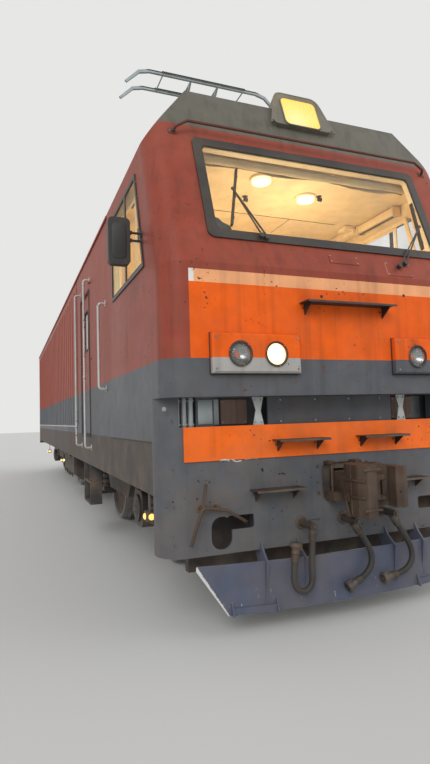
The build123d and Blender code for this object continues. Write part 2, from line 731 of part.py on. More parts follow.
# Front plate with its corners wrapped back, and the band on it
with BuildPart() as front_plate:
    mid_half = BODY_HALF - PLATE_THICK / 2
    with BuildSketch(Plane.XY.offset(PLATE_BOTTOM)):
        with BuildLine():
            FilletPolyline(
                (-mid_half, PLATE_FRONT + PLATE_WRAP),
                (-mid_half, PLATE_FRONT + PLATE_THICK / 2),
                (mid_half, PLATE_FRONT + PLATE_THICK / 2),
                (mid_half, PLATE_FRONT + PLATE_WRAP),
                radius=CORNER_RADIUS - PLATE_THICK / 2,
            )
        trace(line_width=PLATE_THICK)
    extrude(amount=LIP_BOTTOM - PLATE_BOTTOM)
    with BuildSketch(Plane.XZ.offset(-PLATE_FRONT)):
        with Locations((0, (BAND_TOP + LIP_BOTTOM + 20) / 2)):
            Rectangle(2 * RECESS_HALF, LIP_BOTTOM + 20 - BAND_TOP)
        # Coupler opening
        with Locations((0, COUPLER_HEIGHT)):
            RectangleRounded(340, 300, 40)
        # Cut-out beside the coupler: an upright slot and a level one joined
        for side in (-1, 1):
            with Locations((side * SLOT_X, SLOT_HEIGHT)):
                RectangleRounded(SLOT_WIDTH, SLOT_TALL, SLOT_WIDTH / 2 - 5)
            with Locations((side * NOTCH_X, NOTCH_HEIGHT)):
                RectangleRounded(NOTCH_WIDTH, NOTCH_TALL, 20)
    extrude(amount=PLATE_THICK + 60, both=True, mode=Mode.SUBTRACT)
    with BuildSketch(Plane.XZ.offset(-PLATE_FRONT)):
        with Locations((0, (BAND_BOTTOM + BAND_TOP) / 2)):
            Rectangle(2 * BAND_HALF, BAND_TOP - BAND_BOTTOM)
    extrude(amount=BAND_THICK)
finish(front_plate, "front_plate")

# Posts, brackets and covers in the recess under the lip
POST_RADIUS = 24
POST_XS = (1390, 1335, 1280)
POST_BACK = 90
BRACKET_X = 715
BRACKET_HALF = 48
BRACKET_WAIST = 22
COVER_HALF = 620
SIDE_BOX_X = 1165
SIDE_BOX_WIDTH = 150
recess_mid = (BAND_TOP + LIP_BOTTOM) / 2
recess_tall = LIP_BOTTOM - BAND_TOP
with BuildPart() as recess_fittings:
    with BuildSketch(Plane.XY.offset(BAND_TOP)):
        for side in (-1, 1):
            for x in POST_XS:
                with Locations((side * x, PLATE_FRONT + POST_BACK)):
                    Circle(POST_RADIUS)
            with Locations((side * SIDE_BOX_X, PLATE_FRONT + POST_BACK + 20)):
                Rectangle(SIDE_BOX_WIDTH, 80)
    extrude(amount=recess_tall)
    with BuildSketch(Plane.XZ.offset(-PLATE_FRONT - 50)):
        for side in (-1, 1):
            with BuildLine():
                Polyline(
                    (side * BRACKET_X - BRACKET_HALF, LIP_BOTTOM),
                    (side * BRACKET_X - BRACKET_WAIST, recess_mid),
                    (side * BRACKET_X - BRACKET_HALF, BAND_TOP),
                    (side * BRACKET_X + BRACKET_HALF, BAND_TOP),
                    (side * BRACKET_X + BRACKET_WAIST, recess_mid),
                    (side * BRACKET_X + BRACKET_HALF, LIP_BOTTOM),
                    close=True,
                )
            make_face()
    extrude(amount=-14)
    with BuildSketch(Plane.XZ.offset(-PLATE_FRONT - 70)):
        with Locations((0, recess_mid)):
            Rectangle(2 * COVER_HALF, recess_tall)
    extrude(amount=-20)
finish(recess_fittings, "recess_fittings")

# Searchlight in its hood on the roof's front
LIGHT_PROUD = 45
LIGHT_POCKET = 70
HOOD_TAIL = 800
light_mid = on_face((LIGHT_LOW + LIGHT_TOP) / 2 - 20)
light_front = Plane(
    face_plane.from_local_coords(Vector(0, 0, LIGHT_PROUD)),
    x_dir=(1, 0, 0),
    z_dir=face_plane.z_dir,
)
with BuildPart() as searchlight_hood:
    with BuildSketch(light_front):
        with BuildLine():
            Polyline(
                (-LIGHT_HALF_LOW, on_face(LIGHT_LOW)),
                (-LIGHT_HALF_TOP, on_face(LIGHT_TOP)),
                (LIGHT_HALF_TOP, on_face(LIGHT_TOP)),
                (LIGHT_HALF_LOW, on_face(LIGHT_LOW)),
                close=True,
            )
        make_face()
        fillet(vertices().group_by(Axis.Z)[-1], 60)
    extrude(until=None, amount=-HOOD_TAIL, taper=4)
    add(outer_form, mode=Mode.SUBTRACT)
    with BuildSketch(light_front):
        with Locations((0, light_mid)):
            RectangleRounded(LIGHT_GLASS_WIDTH, LIGHT_GLASS_HEIGHT, 40)
    extrude(amount=-LIGHT_POCKET, mode=Mode.SUBTRACT)
finish(searchlight_hood, "searchlight_hood")

# Buffer lamp boxes and their domed lamps
LAMP_RIM = 14
LAMP_RIM_PROUD = 8
LAMP_SET_BACK = 10
LAMP_DOME = 32
LAMP_BOX_CHAMFER = 14
with BuildPart() as lamp_boxes:
    for side in (-1, 1):
        mid_x = side * (LAMP_BOX_NEAR + LAMP_BOX_FAR) / 2
        with BuildSketch(Plane.XZ.offset(-CAB_FRONT)):
            with Locations((mid_x, (LAMP_BOX_LOW + LAMP_BOX_HIGH) / 2)):
                Rectangle(LAMP_BOX_FAR - LAMP_BOX_NEAR, LAMP_BOX_HIGH - LAMP_BOX_LOW)
        extrude(amount=LAMP_BOX_DEPTH)
    chamfer(faces().filter_by(Axis.Y).group_by(Axis.Y)[0].edges(), LAMP_BOX_CHAMFER)
    with BuildSketch(Plane.XZ.offset(-CAB_FRONT)):
        for side in (-1, 1):
            for x in LAMP_OFFSETS:
                with Locations((side * x, LAMP_HEIGHT)):
                    Circle(LAMP_RADIUS + LAMP_RIM)
    extrude(amount=LAMP_BOX_DEPTH + LAMP_RIM_PROUD)
    with BuildSketch(Plane.XZ.offset(-CAB_FRONT)):
        for side in (-1, 1):
            for x in LAMP_OFFSETS:
                with Locations((side * x, LAMP_HEIGHT)):
                    Circle(LAMP_RADIUS)
    extrude(amount=LAMP_BOX_DEPTH + LAMP_RIM_PROUD, mode=Mode.SUBTRACT)
finish(lamp_boxes, "lamp_boxes")

with BuildPart() as lamp_glasses:
    lamp_y = CAB_FRONT - LAMP_BOX_DEPTH + LAMP_SET_BACK
    sphere = (LAMP_RADIUS**2 + LAMP_DOME**2) / (2 * LAMP_DOME)
    dome_half = math.sqrt(sphere**2 - LAMP_RADIUS**2 / 4) - (sphere - LAMP_DOME)
    for side in (-1, 1):
        for offset_x in LAMP_OFFSETS:
            x = side * offset_x
            with BuildSketch(Plane.XY.offset(LAMP_HEIGHT)):
                with BuildLine():
                    Polyline((x, lamp_y - LAMP_DOME), (x, CAB_FRONT), (x + LAMP_RADIUS, CAB_FRONT))
                    Line((x + LAMP_RADIUS, CAB_FRONT), (x + LAMP_RADIUS, lamp_y))
                    ThreePointArc(
                        (x + LAMP_RADIUS, lamp_y),
                        (x + LAMP_RADIUS / 2, lamp_y - dome_half),
                        (x, lamp_y - LAMP_DOME),
                    )
                make_face()
            revolve(axis=Axis((x, 0, LAMP_HEIGHT), (0, 1, 0)))
    with BuildSketch(light_front.offset(-LIGHT_PROUD)):
        with Locations((0, light_mid)):
            RectangleRounded(LIGHT_GLASS_WIDTH, LIGHT_GLASS_HEIGHT, 40)
    extrude(amount=GLASS)
finish(lamp_glasses, "lamp_glasses")

# Steps on the front: width, centre x, height, face they stand on
STEP_TABLE = (
    (850, 0, RAIL + 2500, CAB_FRONT),
    (460, -400, RAIL + 1420, PLATE_FRONT - BAND_THICK),
    (460, 400, RAIL + 1420, PLATE_FRONT - BAND_THICK),
    (430, -620, RAIL + 1040, PLATE_FRONT),
    (430, 620, RAIL + 1040, PLATE_FRONT),
)
STEP_REACH = 140
STEP_PLATE = 8
STEP_DROP = 90
STEP_INSET = 50
with BuildPart() as front_steps:
    for width, x, z, y in STEP_TABLE:
        with BuildSketch(Plane.XY.offset(z)):
            with Locations((x, y - STEP_REACH / 2)):
                Rectangle(width, STEP_REACH)
        extrude(amount=STEP_PLATE)
        for side in (-1, 1):
            with BuildSketch(Plane.YZ.offset(x + side * (width / 2 - STEP_INSET))):
                with BuildLine():
                    Polyline((y, z), (y - STEP_REACH + 20, z), (y, z - STEP_DROP), close=True)
                make_face()
            extrude(amount=side * STEP_PLATE)
finish(front_steps, "front_steps")

# Plow: a bowed plate, narrower at its foot, on arms with fins
PLOW_Y = PLATE_FRONT + 20
PLOW_ARMS = (430, 755)
ARM_THICK = 16
ARM_DEPTH = 160
PLOW_FINS = (680, 1030)
FIN_TALL = 115
FIN_REACH = 45
FIN_THICK = 12
LIP_TALL = 55


def plow_y(x):
    """Y of the plow's middle surface at a distance from the centre line."""
    return PLOW_Y - PLOW_BOW * (1 - (x / PLOW_HALF_TOP) ** 2)


with BuildPart() as plow:
    with BuildSketch(Plane.XY.offset(PLOW_BOTTOM)):
        with BuildLine():
            ThreePointArc((-PLOW_HALF_TOP, PLOW_Y), (0, PLOW_Y - PLOW_BOW), (PLOW_HALF_TOP, PLOW_Y))
        trace(line_width=PLOW_THICK)
    extrude(amount=PLOW_TOP - PLOW_BOTTOM)
    arm_back = DECK_FRONT + 6
    for side in (-1, 1):
        with BuildSketch(Plane.XZ.offset(-PLOW_Y + 400)):
            with BuildLine():
                Polyline(
                    (side * PLOW_HALF_LOW, PLOW_BOTTOM),
                    (side * (PLOW_HALF_TOP + 20), PLOW_TOP),
                    (side * (PLOW_HALF_TOP + 20), PLOW_BOTTOM),
                    close=True,
                )
            make_face()
        extrude(amount=-800, mode=Mode.SUBTRACT)
        for x in PLOW_ARMS:
            with BuildSketch(Plane.YZ.offset(side * x - ARM_THICK / 2)):
                with BuildLine():
                    Polyline(
                        (plow_y(x), PLOW_BOTTOM + 60),
                        (plow_y(x) - FIN_REACH, PLOW_TOP),
                        (PLATE_FRONT - FIN_REACH, PLATE_BOTTOM - 10),
                        (PLATE_FRONT - 1, PLATE_BOTTOM + 60),
                        (PLATE_FRONT - 1, PLATE_BOTTOM - 10),
                        (arm_back, PLATE_BOTTOM - 10),
                        (arm_back, HEADSTOCK_LOW),
                        (arm_back + ARM_DEPTH, HEADSTOCK_LOW),
                        (arm_back + ARM_DEPTH, HEADSTOCK_LOW - 180),
                        close=True,
                    )
                make_face()
            extrude(amount=ARM_THICK)
        # Fins at the foot and the wear strip between them
        for x in PLOW_FINS:
            foot = plow_y(x) - PLOW_THICK / 2
            with BuildSketch(Plane.YZ.offset(side * x - FIN_THICK / 2)):
                with BuildLine():
                    Polyline(
                        (foot + 5, PLOW_BOTTOM),
                        (foot - FIN_REACH, PLOW_BOTTOM),
                        (foot + 5, PLOW_BOTTOM + FIN_TALL),
                        close=True,
                    )
                make_face()
            extrude(amount=FIN_THICK)
        with BuildSketch(Plane.XY.offset(PLOW_BOTTOM)):
            with BuildLine():
                Polyline(
                    (side * PLOW_FINS[0], plow_y(PLOW_FINS[0])),
                    (side * PLOW_FINS[0], plow_y(PLOW_FINS[0]) - FIN_REACH / 2),
                    (side * PLOW_FINS[1], plow_y(PLOW_FINS[1]) - FIN_REACH / 2),
                    (side * PLOW_FINS[1], plow_y(PLOW_FINS[1])),
                    close=True,
                )
            make_face()
        extrude(amount=LIP_TALL)
finish(plow, "plow")

# Automatic couplers at both ends: points of the head's plan, across and back from its face
HEAD_PLAN = (
    (-65, 430),
    (-150, 350),
    (-205, 250),
    (-215, 90),
    (-185, 0),
    (-110, 0),
    (-75, 70),
    (-60, 175),
    (55, 195),
    (95, 140),
    (90, 40),
    (130, 5),
    (190, 30),
    (215, 120),
    (190, 260),
    (65, 430),
)
SHANK_WIDTH = 130
SHANK_ROOT = 7700
HEAD_HALF = 150
LOCK_HALF = 90
GUIDE_PLATE = 14
TOOTH_PLAN = (
    (-60, 330),
    (-150, 340),
    (-205, 250),
    (-215, 90),
    (-185, 0),
    (-110, 0),
    (-75, 70),
)
TOOTH_LOW = 205
TOOTH_TOP = 172
CARRIER_LOW = COUPLER_HEIGHT - 145
CARRIER_HALF = 150
CARRIER_SPANS = {-1: (8010, 7870), 1: (8190, 8050)}
with BuildPart() as couplers:
    for end in (-1, 1):
        face = end * COUPLER_FACE
        with BuildSketch(Plane.XY.offset(COUPLER_HEIGHT - SHANK_HALF)):
            with Locations((0, (end * SHANK_ROOT + face - end * 420) / 2)):
                Rectangle(SHANK_WIDTH, abs(face - end * 420) - SHANK_ROOT)
        extrude(amount=2 * SHANK_HALF)
        with BuildSketch(Plane.XY.offset(COUPLER_HEIGHT - HEAD_HALF)):
            with BuildLine():
                Polyline(*[(-end * across, face - end * back) for across, back in HEAD_PLAN], close=True)
            make_face()
            fillet(vertices(), 14)
        extrude(amount=2 * HEAD_HALF)
        # The great tooth, taller than the head
        with BuildSketch(Plane.XY.offset(COUPLER_HEIGHT - TOOTH_LOW)):
            with BuildLine():
                Polyline(*[(-end * across, face - end * back) for across, back in TOOTH_PLAN], close=True)
            make_face()
            fillet(vertices(), 14)
        extrude(amount=TOOTH_LOW + TOOTH_TOP)
        # Carrier block under the shank at the plate
        with BuildSketch(Plane.XY.offset(CARRIER_LOW)):
            with Locations((0, end * sum(CARRIER_SPANS[end]) / 2)):
                Rectangle(2 * CARRIER_HALF, CARRIER_SPANS[end][0] - CARRIER_SPANS[end][1])
        extrude(amount=COUPLER_HEIGHT - SHANK_HALF + 5 - CARRIER_LOW)
        # Lock in the throat and the guide plates over and under the head
        with BuildSketch(Plane.XY.offset(COUPLER_HEIGHT - LOCK_HALF)):
            with Locations((end * 10, face - end * 150)):
                Rectangle(80, 120)
        extrude(amount=2 * LOCK_HALF)
        for low in (COUPLER_HEIGHT - HEAD_HALF - GUIDE_PLATE, COUPLER_HEIGHT + HEAD_HALF):
            with BuildSketch(Plane.XY.offset(low)):
                with Locations((0, face - end * 300)):
                    RectangleRounded(260, 180, 40)
            extrude(amount=GUIDE_PLATE)
finish(couplers, "couplers")

# Brake hoses: name, x and height of the cock, steps of the route from it
HOSE_RADIUS = 24
HOSE_Y = PLATE_FRONT - 170
COCK_RADIUS = 30
COCK_NIPPLE = 50
HEAD_RADIUS = 34
HEAD_LONG = 90
U_TURN = (
    (0, 0, 0),
    (-8, 0, -90),
    (-16, -3, -180),
    (-20, -6, -270),
    (-22, -8, -355),
    (-45, -8, -410),
    (-100, -6, -433),
    (-155, -3, -410),
    (-178, 0, -355),
    (-176, 3, -285),
    (-166, 6, -215),
    (-156, 8, -150),
)
MIDDLE_BOW = (
    (0, 0, 0),
    (58, 4, -70),
    (112, 4, -150),
    (143, -2, -235),
    (125, -8, -320),
    (58, -10, -385),
    (-30, -10, -421),
)
RIGHT_BOW = (
    (0, 0, 0),
    (55, 4, -75),
    (110, 4, -155),
    (155, -2, -240),
    (160, -8, -330),
    (108, -10, -400),
    (24, -10, -435),
    (-65, -8, -446),
)
HOSE_TABLE = (
    ("hose_left", -391, RAIL + 700, U_TURN),
    ("hose_middle", 12, RAIL + 700, MIDDLE_BOW),
    ("hose_right", 400, RAIL + 725, RIGHT_BOW),
)
ROUTE_SHARE = 0.45


def hose_route(x, top, steps):
    """The points of a hose's route."""
    return [(x + dx, HOSE_Y + dy, top + dz) for dx, dy, dz in steps]


def hose_radii(points):
    """The largest arc that each corner's two runs allow."""
    radii = []
    for before, corner, after in zip(points, points[1:], points[2:]):
        arriving = Vector(*corner) - Vector(*before)
        leaving = Vector(*after) - Vector(*corner)
        half_turn = math.radians(arriving.get_angle(leaving)) / 2
        radii.append(ROUTE_SHARE * min(arriving.length, leaving.length) / math.tan(half_turn))
    return radii


for name, x, top, steps in HOSE_TABLE:
    points = hose_route(x, top, steps)
    radii = hose_radii(points)
    print(name, "radii", [round(radius) for radius in radii])
    with BuildPart() as hose:
        with BuildLine() as route:
            FilletPolyline(*points, radius=radii)
        with BuildSketch(Plane(route.line @ 0, z_dir=route.line % 0)):
            Circle(HOSE_RADIUS)
        sweep()
    finish(hose, name)

with BuildPart() as hose_heads:
    for name, x, top, steps in HOSE_TABLE:
        before, last = hose_route(x, top, steps)[-2:]
        along = Vector(*last) - Vector(*before)
        with BuildSketch(Plane(last, z_dir=along)):
            Circle(HEAD_RADIUS)
        extrude(amount=HEAD_LONG)
        with BuildSketch(Plane(Vector(*last) + along.normalized() * (HEAD_LONG - 30), z_dir=along)):
            Circle(HEAD_RADIUS + 12)
        extrude(amount=30)
finish(hose_heads, "hose_heads")

with BuildPart() as hose_cocks:
    for name, x, top, steps in HOSE_TABLE:
        with BuildSketch(Plane.XZ.offset(-PLATE_FRONT)):
            with Locations((x, top + COCK_NIPPLE)):
                Circle(COCK_RADIUS)
        extrude(amount=PLATE_FRONT - HOSE_Y + 30)
        first, second = hose_route(x, top, steps)[:2]
        down = Vector(*first) - Vector(*second)
        with BuildSketch(Plane(first, x_dir=(1, 0, 0), z_dir=down)):
            Circle(HOSE_RADIUS + 4)
        extrude(amount=COCK_NIPPLE)
        # Handle of the cock
        with BuildSketch(Plane.XY.offset(top + COCK_NIPPLE + COCK_RADIUS - 4)):
            with Locations((x + 45, HOSE_Y + 60)):
                RectangleRounded(130, 26, 12)
        extrude(amount=10)
finish(hose_cocks, "hose_cocks")

# Uncoupling lever: a bent handle that passes through the notch to behind the plate
LEVER_RADIUS = 13
LEVER_STAND = 60
LEVER_TOP = RAIL + 951
LEVER_EYES = (-1251, -1130)
with BuildPart() as uncoupling_lever:
    add(
        tube(
            [
                (-1352, PLATE_FRONT - LEVER_STAND, RAIL + 679),
                (-1251, PLATE_FRONT - LEVER_STAND, LEVER_TOP),
                (-1060, PLATE_FRONT - LEVER_STAND, LEVER_TOP - 35),
                (-880, PLATE_FRONT - 10, NOTCH_HEIGHT),
                (-850, PLATE_FRONT + 90, NOTCH_HEIGHT - 15),
            ],
            LEVER_RADIUS,
            40,
        )
    )
    # Upright catch beside the handle and the two bearings on the plate
    with BuildSketch(Plane.XZ.offset(-PLATE_FRONT + LEVER_STAND)):
        with BuildLine():
            Line((-1251, LEVER_TOP), (-1221, RAIL + 1124))
        trace(line_width=2 * LEVER_RADIUS)
    extrude(amount=8)
    for x in LEVER_EYES:
        with BuildSketch(Plane.XZ.offset(-PLATE_FRONT)):
            with Locations((x, LEVER_TOP - 10)):
                Circle(LEVER_RADIUS + 4)
        extrude(amount=LEVER_STAND)
finish(uncoupling_lever, "uncoupling_lever")

# Handrails: door rails, short cab rail, bar over the windshield
RAIL_RADIUS = 16
RAIL_STAND = 70
RAIL_TABLE = (
    (DOOR_FRONT - 60, RAIL + 1260, RAIL + 3560),
    (DOOR_FRONT + DOOR_WIDTH + 60, RAIL + 1260, RAIL + 3560),
    (-5590, RAIL + 1980, RAIL + 2970),
)
with BuildPart() as handrails:
    for side in (-1, 1):
        for y, low, high in RAIL_TABLE:
            add(
                tube(
                    [
                        (side * WALL_FACE, y, low),
                        (side * (BODY_HALF + RAIL_STAND), y, low),
                        (side * (BODY_HALF + RAIL_STAND), y, high),
                        (side * WALL_FACE, y, high),
                    ],
                    RAIL_RADIUS,
                    40,
                )
            )
    bar_z = FACE_TOP - 10
    bar_y = face_y(bar_z)
    add(
        tube(
            [
                (-1310, face_y(bar_z - 90) - 7, bar_z - 90),
                (-1290, bar_y - 80, bar_z - 60),
                (-1190, bar_y - 80, bar_z),
                (1190, bar_y - 80, bar_z),
                (1290, bar_y - 80, bar_z - 60),
                (1310, face_y(bar_z - 90) - 7, bar_z - 90),
            ],
            13,
            25,
        )
    )
finish(handrails, "handrails")

# Mirrors
MIRROR_Y = -7430
with BuildPart() as mirrors:
    for side in (-1, 1):
        with BuildSketch(Plane.XZ.offset(-MIRROR_Y)):
            with Locations((side * 1745, RAIL + 3070)):
                RectangleRounded(180, 390, 40)
        extrude(amount=70)
        for z in (RAIL + 3090, RAIL + 3155):
            with BuildSketch(Plane.YZ.offset(side * (BODY_HALF + SIDE_PROUD))):
                with Locations((MIRROR_Y - 35, z)):
                    Circle(10)
            extrude(amount=side * (1655 - BODY_HALF - SIDE_PROUD + 4))
finish(mirrors, "mirrors")

# Wipers on the leaning face. Points are x and distance up the face: the two
# pivots, the arms' common end, the blade's top and foot. The last is the pivots' base.
WIPER_TABLE = (
    ((-660, 262), (-705, 276), (-879, 721), (-798, 960), (-944, 356), SCREEN_PROUD),
    ((605, 105), (680, 140), (989, 573), (1012, 862), (955, 330), COVER_PROUD),
)
WIPER_ARM = 11
WIPER_LIFT = 34
WIPER_BLADE = 16
BLADE_GAP = 2
with BuildPart() as wipers:
    for near, far, tip, blade_top, blade_foot, base in WIPER_TABLE:
        with BuildSketch(face_plane.offset(base)):
            with Locations(near, far):
                Circle(20)
        extrude(amount=WIPER_LIFT + WIPER_ARM - base)
        with BuildSketch(face_plane.offset(WIPER_LIFT)):
            for pivot in (near, far):
                with BuildLine():
                    Line(pivot, tip)
                trace(line_width=WIPER_ARM)
            with Locations(tip):
                Circle(16)
        extrude(amount=WIPER_ARM - 2)
        with BuildSketch(face_plane.offset(BLADE_GAP)):
            with BuildLine():
                Line(blade_foot, blade_top)
            trace(line_width=WIPER_BLADE)
        extrude(amount=WIPER_LIFT - BLADE_GAP)
finish(wipers, "wipers")

# Desk with its instrument hood and side consoles
DESK_TOP = RAIL + 2780
DESK_HALF = 1250
DESK_WALL = CAB_FRONT + WALL + 60
DESK_EDGE = CAB_FRONT + 900
HOOD_TALL = 150
SCREEN_PANEL = (-620, 0, 620)
with BuildPart() as desk:
    with BuildSketch(Plane.YZ):
        with BuildLine():
            Polyline(
                (RECESS_BACK + WALL + 4, CAB_FLOOR),
                (DESK_WALL, LIP_BOTTOM + 300),
                (DESK_WALL, DESK_TOP + HOOD_TALL - 30),
                (DESK_WALL + 130, DESK_TOP + HOOD_TALL),
                (DESK_WALL + 260, DESK_TOP),
                (DESK_WALL + 450, DESK_TOP),
                (DESK_EDGE, DESK_TOP - 70),
                (DESK_EDGE, DESK_TOP - 120),
                (DESK_EDGE - 260, DESK_TOP - 200),
                (DESK_EDGE - 260, CAB_FLOOR),
                close=True,
            )
        make_face()
    extrude(amount=DESK_HALF, both=True)
    # Kneeholes in front of the seats
    with BuildSketch(Plane.XZ.offset(-DESK_EDGE)):
        for x in (-720, 720):
            with Locations((x, CAB_FLOOR + 310)):
                Rectangle(620, 620)
    extrude(amount=480, mode=Mode.SUBTRACT)
    # Screens sunk into the sloping panel
    panel = Plane(
        origin=(0, DESK_WALL + 195, DESK_TOP + HOOD_TALL / 2),
        x_dir=(1, 0, 0),
        z_dir=(0, HOOD_TALL, 130),
    )
    with BuildSketch(panel):
        for x in SCREEN_PANEL:
            with Locations((x, 0)):
                RectangleRounded(420, 130, 10)
    extrude(amount=-12, mode=Mode.SUBTRACT)
    # Control levers
    for x in (-1000, -440, 440, 1000):
        with BuildSketch(Plane.XY.offset(DESK_TOP - 40)):
            with Locations((x, DESK_WALL + 560)):
                Circle(14)
        extrude(amount=130)
        with BuildSketch(Plane.XY.offset(DESK_TOP + 80)):
            with Locations((x, DESK_WALL + 560)):
                Circle(28)
        extrude(amount=40)
finish(desk, "desk")

SEAT_XS = (-720, 720)
SEAT_Y = -6650
SEAT_TOP = CAB_FLOOR + 560
SEAT_PAD = 110
SEAT_HALF = 240
BACK_TALL = 620
with BuildPart() as seat_frames:
    for x in SEAT_XS:
        with BuildSketch(Plane.XY.offset(CAB_FLOOR)):
            with Locations((x, SEAT_Y)):
                Circle(170)
        extrude(amount=30)
        with BuildSketch(Plane.XY.offset(CAB_FLOOR + 30)):
            with Locations((x, SEAT_Y)):
                Circle(55)
        extrude(amount=SEAT_TOP - SEAT_PAD - 40 - CAB_FLOOR - 30)
        with BuildSketch(Plane.XY.offset(SEAT_TOP - SEAT_PAD - 40)):
            with Locations((x, SEAT_Y)):
                Rectangle(2 * SEAT_HALF - 60, 2 * SEAT_HALF - 60)
            with Locations((x, SEAT_Y + 60)):
                Rectangle(2 * SEAT_HALF + 100, 60)
        extrude(amount=39.7)
        # Arms up both sides and the plate behind the back
        for side in (-1, 1):
            with BuildSketch(Plane.YZ.offset(x + side * (SEAT_HALF + 30) - 15)):
                with Locations((SEAT_Y + 60, SEAT_TOP - SEAT_PAD + 130)):
                    Rectangle(50, 340)
                with Locations((SEAT_Y - 30, SEAT_TOP + 210)):
                    RectangleRounded(320, 50, 20)
            extrude(amount=30)
finish(seat_frames, "seat_frames")

with BuildPart() as seat_cushions:
    for x in SEAT_XS:
        with BuildSketch(Plane.XY.offset(SEAT_TOP - SEAT_PAD)):
            with Locations((x, SEAT_Y)):
                RectangleRounded(2 * SEAT_HALF, 2 * SEAT_HALF, 80)
        extrude(amount=SEAT_PAD)
        with BuildSketch(Plane.YZ.offset(x - SEAT_HALF + 10)):
            with BuildLine():
                Polyline(
                    (SEAT_Y + 130, SEAT_TOP),
                    (SEAT_Y + 170, SEAT_TOP + BACK_TALL),
                    (SEAT_Y + 240, SEAT_TOP + BACK_TALL),
                    (SEAT_Y + 240, SEAT_TOP),
                    close=True,
                )
            make_face()
        extrude(amount=2 * SEAT_HALF - 20)
finish(seat_cushions, "seat_cushions")

# Ceiling lamps: x, y
with BuildPart() as ceiling_lamps:
    for x, y in ((-310, -7250), (330, -7000)):
        with BuildSketch(Plane.XY.offset(CAB_CEILING - CEILING_THICK)):
            with Locations((x, y)):
                Circle(90)
        extrude(amount=-45)
finish(ceiling_lamps, "ceiling_lamps")

# Blind rolled up along the windshield's top
BLIND_RADIUS = 45
with BuildPart() as sunblind:
    blind_z = CAB_CEILING - CEILING_THICK - BLIND_RADIUS - 0.3
    with BuildSketch(Plane.YZ):
        with Locations((face_y(blind_z) + WALL + 80, blind_z)):
            Circle(BLIND_RADIUS)
    extrude(amount=1180, both=True)
finish(sunblind, "sunblind")

# Electrical equipment as one block
BLOCK_FRONT = -2500
BLOCK_REAR = 6700
with BuildPart() as equipment_block:
    with BuildSketch(Plane.XY.offset(FLOOR_TOP)):
        with Locations((0, (BLOCK_FRONT + BLOCK_REAR) / 2)):
            Rectangle(1900, BLOCK_REAR - BLOCK_FRONT)
    extrude(amount=2000)
finish(equipment_block, "equipment_block")

# Boxes and air reservoirs hung between the bogies
RESERVOIR_X = 400
RESERVOIR_RADIUS = 210
RESERVOIR_LONG = 1800
BATTERY_X = 1090
BATTERY_WIDTH = 560
BATTERY_LONG = 1800
BATTERY_LOW = RAIL + 480
LID_PROUD = 14
with BuildPart() as underfloor_equipment:
    for side in (-1, 1):
        with BuildSketch(Plane.XZ.offset(-BATTERY_LONG / 2)):
            near = side * (BATTERY_X - BATTERY_WIDTH / 2)
            far = side * (BATTERY_X + BATTERY_WIDTH / 2)
            with BuildLine():
                Polyline(
                    (near, BOLSTER_LOW),
                    (far, BOLSTER_LOW),
                    (far, BATTERY_LOW + 120),
                    (far - side * 120, BATTERY_LOW),
                    (near, BATTERY_LOW),
                    close=True,
                )
            make_face()
        extrude(amount=BATTERY_LONG)
        # Three lids with their handles on the outer side
        with BuildSketch(Plane.YZ.offset(far)):
            with Locations((0, (BATTERY_LOW + SOLE_BOTTOM) / 2 + 50)):
                with GridLocations(BATTERY_LONG / 3, 1, 3, 1):
                    Rectangle(BATTERY_LONG / 3 - 50, SOLE_BOTTOM - BATTERY_LOW - 160)
        extrude(amount=side * LID_PROUD)
        with BuildSketch(Plane.YZ.offset(far + side * LID_PROUD)):
            with Locations((0, SOLE_BOTTOM - 80)):
                with GridLocations(BATTERY_LONG / 3, 1, 3, 1):
                    Rectangle(120, 24)
        extrude(amount=side * 20)
    for x in (-RESERVOIR_X, RESERVOIR_X):
        with BuildSketch(Plane.XZ.offset(-RESERVOIR_LONG / 2)):
            with Locations((x, RAIL + 900)):
                Circle(RESERVOIR_RADIUS)
        extrude(amount=RESERVOIR_LONG)
        with BuildSketch(Plane.XY.offset(RAIL + 900)):
            with Locations((x, -600), (x, 600)):
                Rectangle(80, 60)
        extrude(amount=FLOOR_TOP - FLOOR_THICK - RAIL - 900)
finish(underfloor_equipment, "underfloor_equipment")

# Roof equipment: resistor hoods behind the pantograph
HOOD_FRONT = -2600
HOOD_LENGTH = 2400
HOOD_HALF = 900
HOOD_TOP = RAIL + 4950
LOUVRE_HEIGHTS = (RAIL + 4590, RAIL + 4670, RAIL + 4750, RAIL + 4830)
LOUVRE_TALL = 34
LOUVRE_DEPTH = 30
HOOD_STARTS = (HOOD_FRONT, HOOD_FRONT + 2600, HOOD_FRONT + 5200)
with BuildPart() as roof_hoods:
    for start in HOOD_STARTS:
        with BuildSketch(Plane.XY.offset(ROOF_TOP)):
            with Locations((0, start + HOOD_LENGTH / 2)):
                RectangleRounded(2 * HOOD_HALF, HOOD_LENGTH, 60)
        extrude(amount=HOOD_TOP - ROOF_TOP)
        # Louvres along both sides
        for side in (-1, 1):
            with BuildSketch(Plane.YZ.offset(side * HOOD_HALF)):
                for low in LOUVRE_HEIGHTS:
                    with Locations((start + HOOD_LENGTH / 2, low)):
                        Rectangle(HOOD_LENGTH - 300, LOUVRE_TALL)
            extrude(amount=-side * LOUVRE_DEPTH, mode=Mode.SUBTRACT)
        with BuildSketch(Plane.XY.offset(HOOD_TOP)):
            with Locations((0, start + HOOD_LENGTH / 2)):
                with GridLocations(1, HOOD_LENGTH / 3, 1, 3):
                    Rectangle(2 * HOOD_HALF - 200, 60)
        extrude(amount=30)
finish(roof_hoods, "roof_hoods")

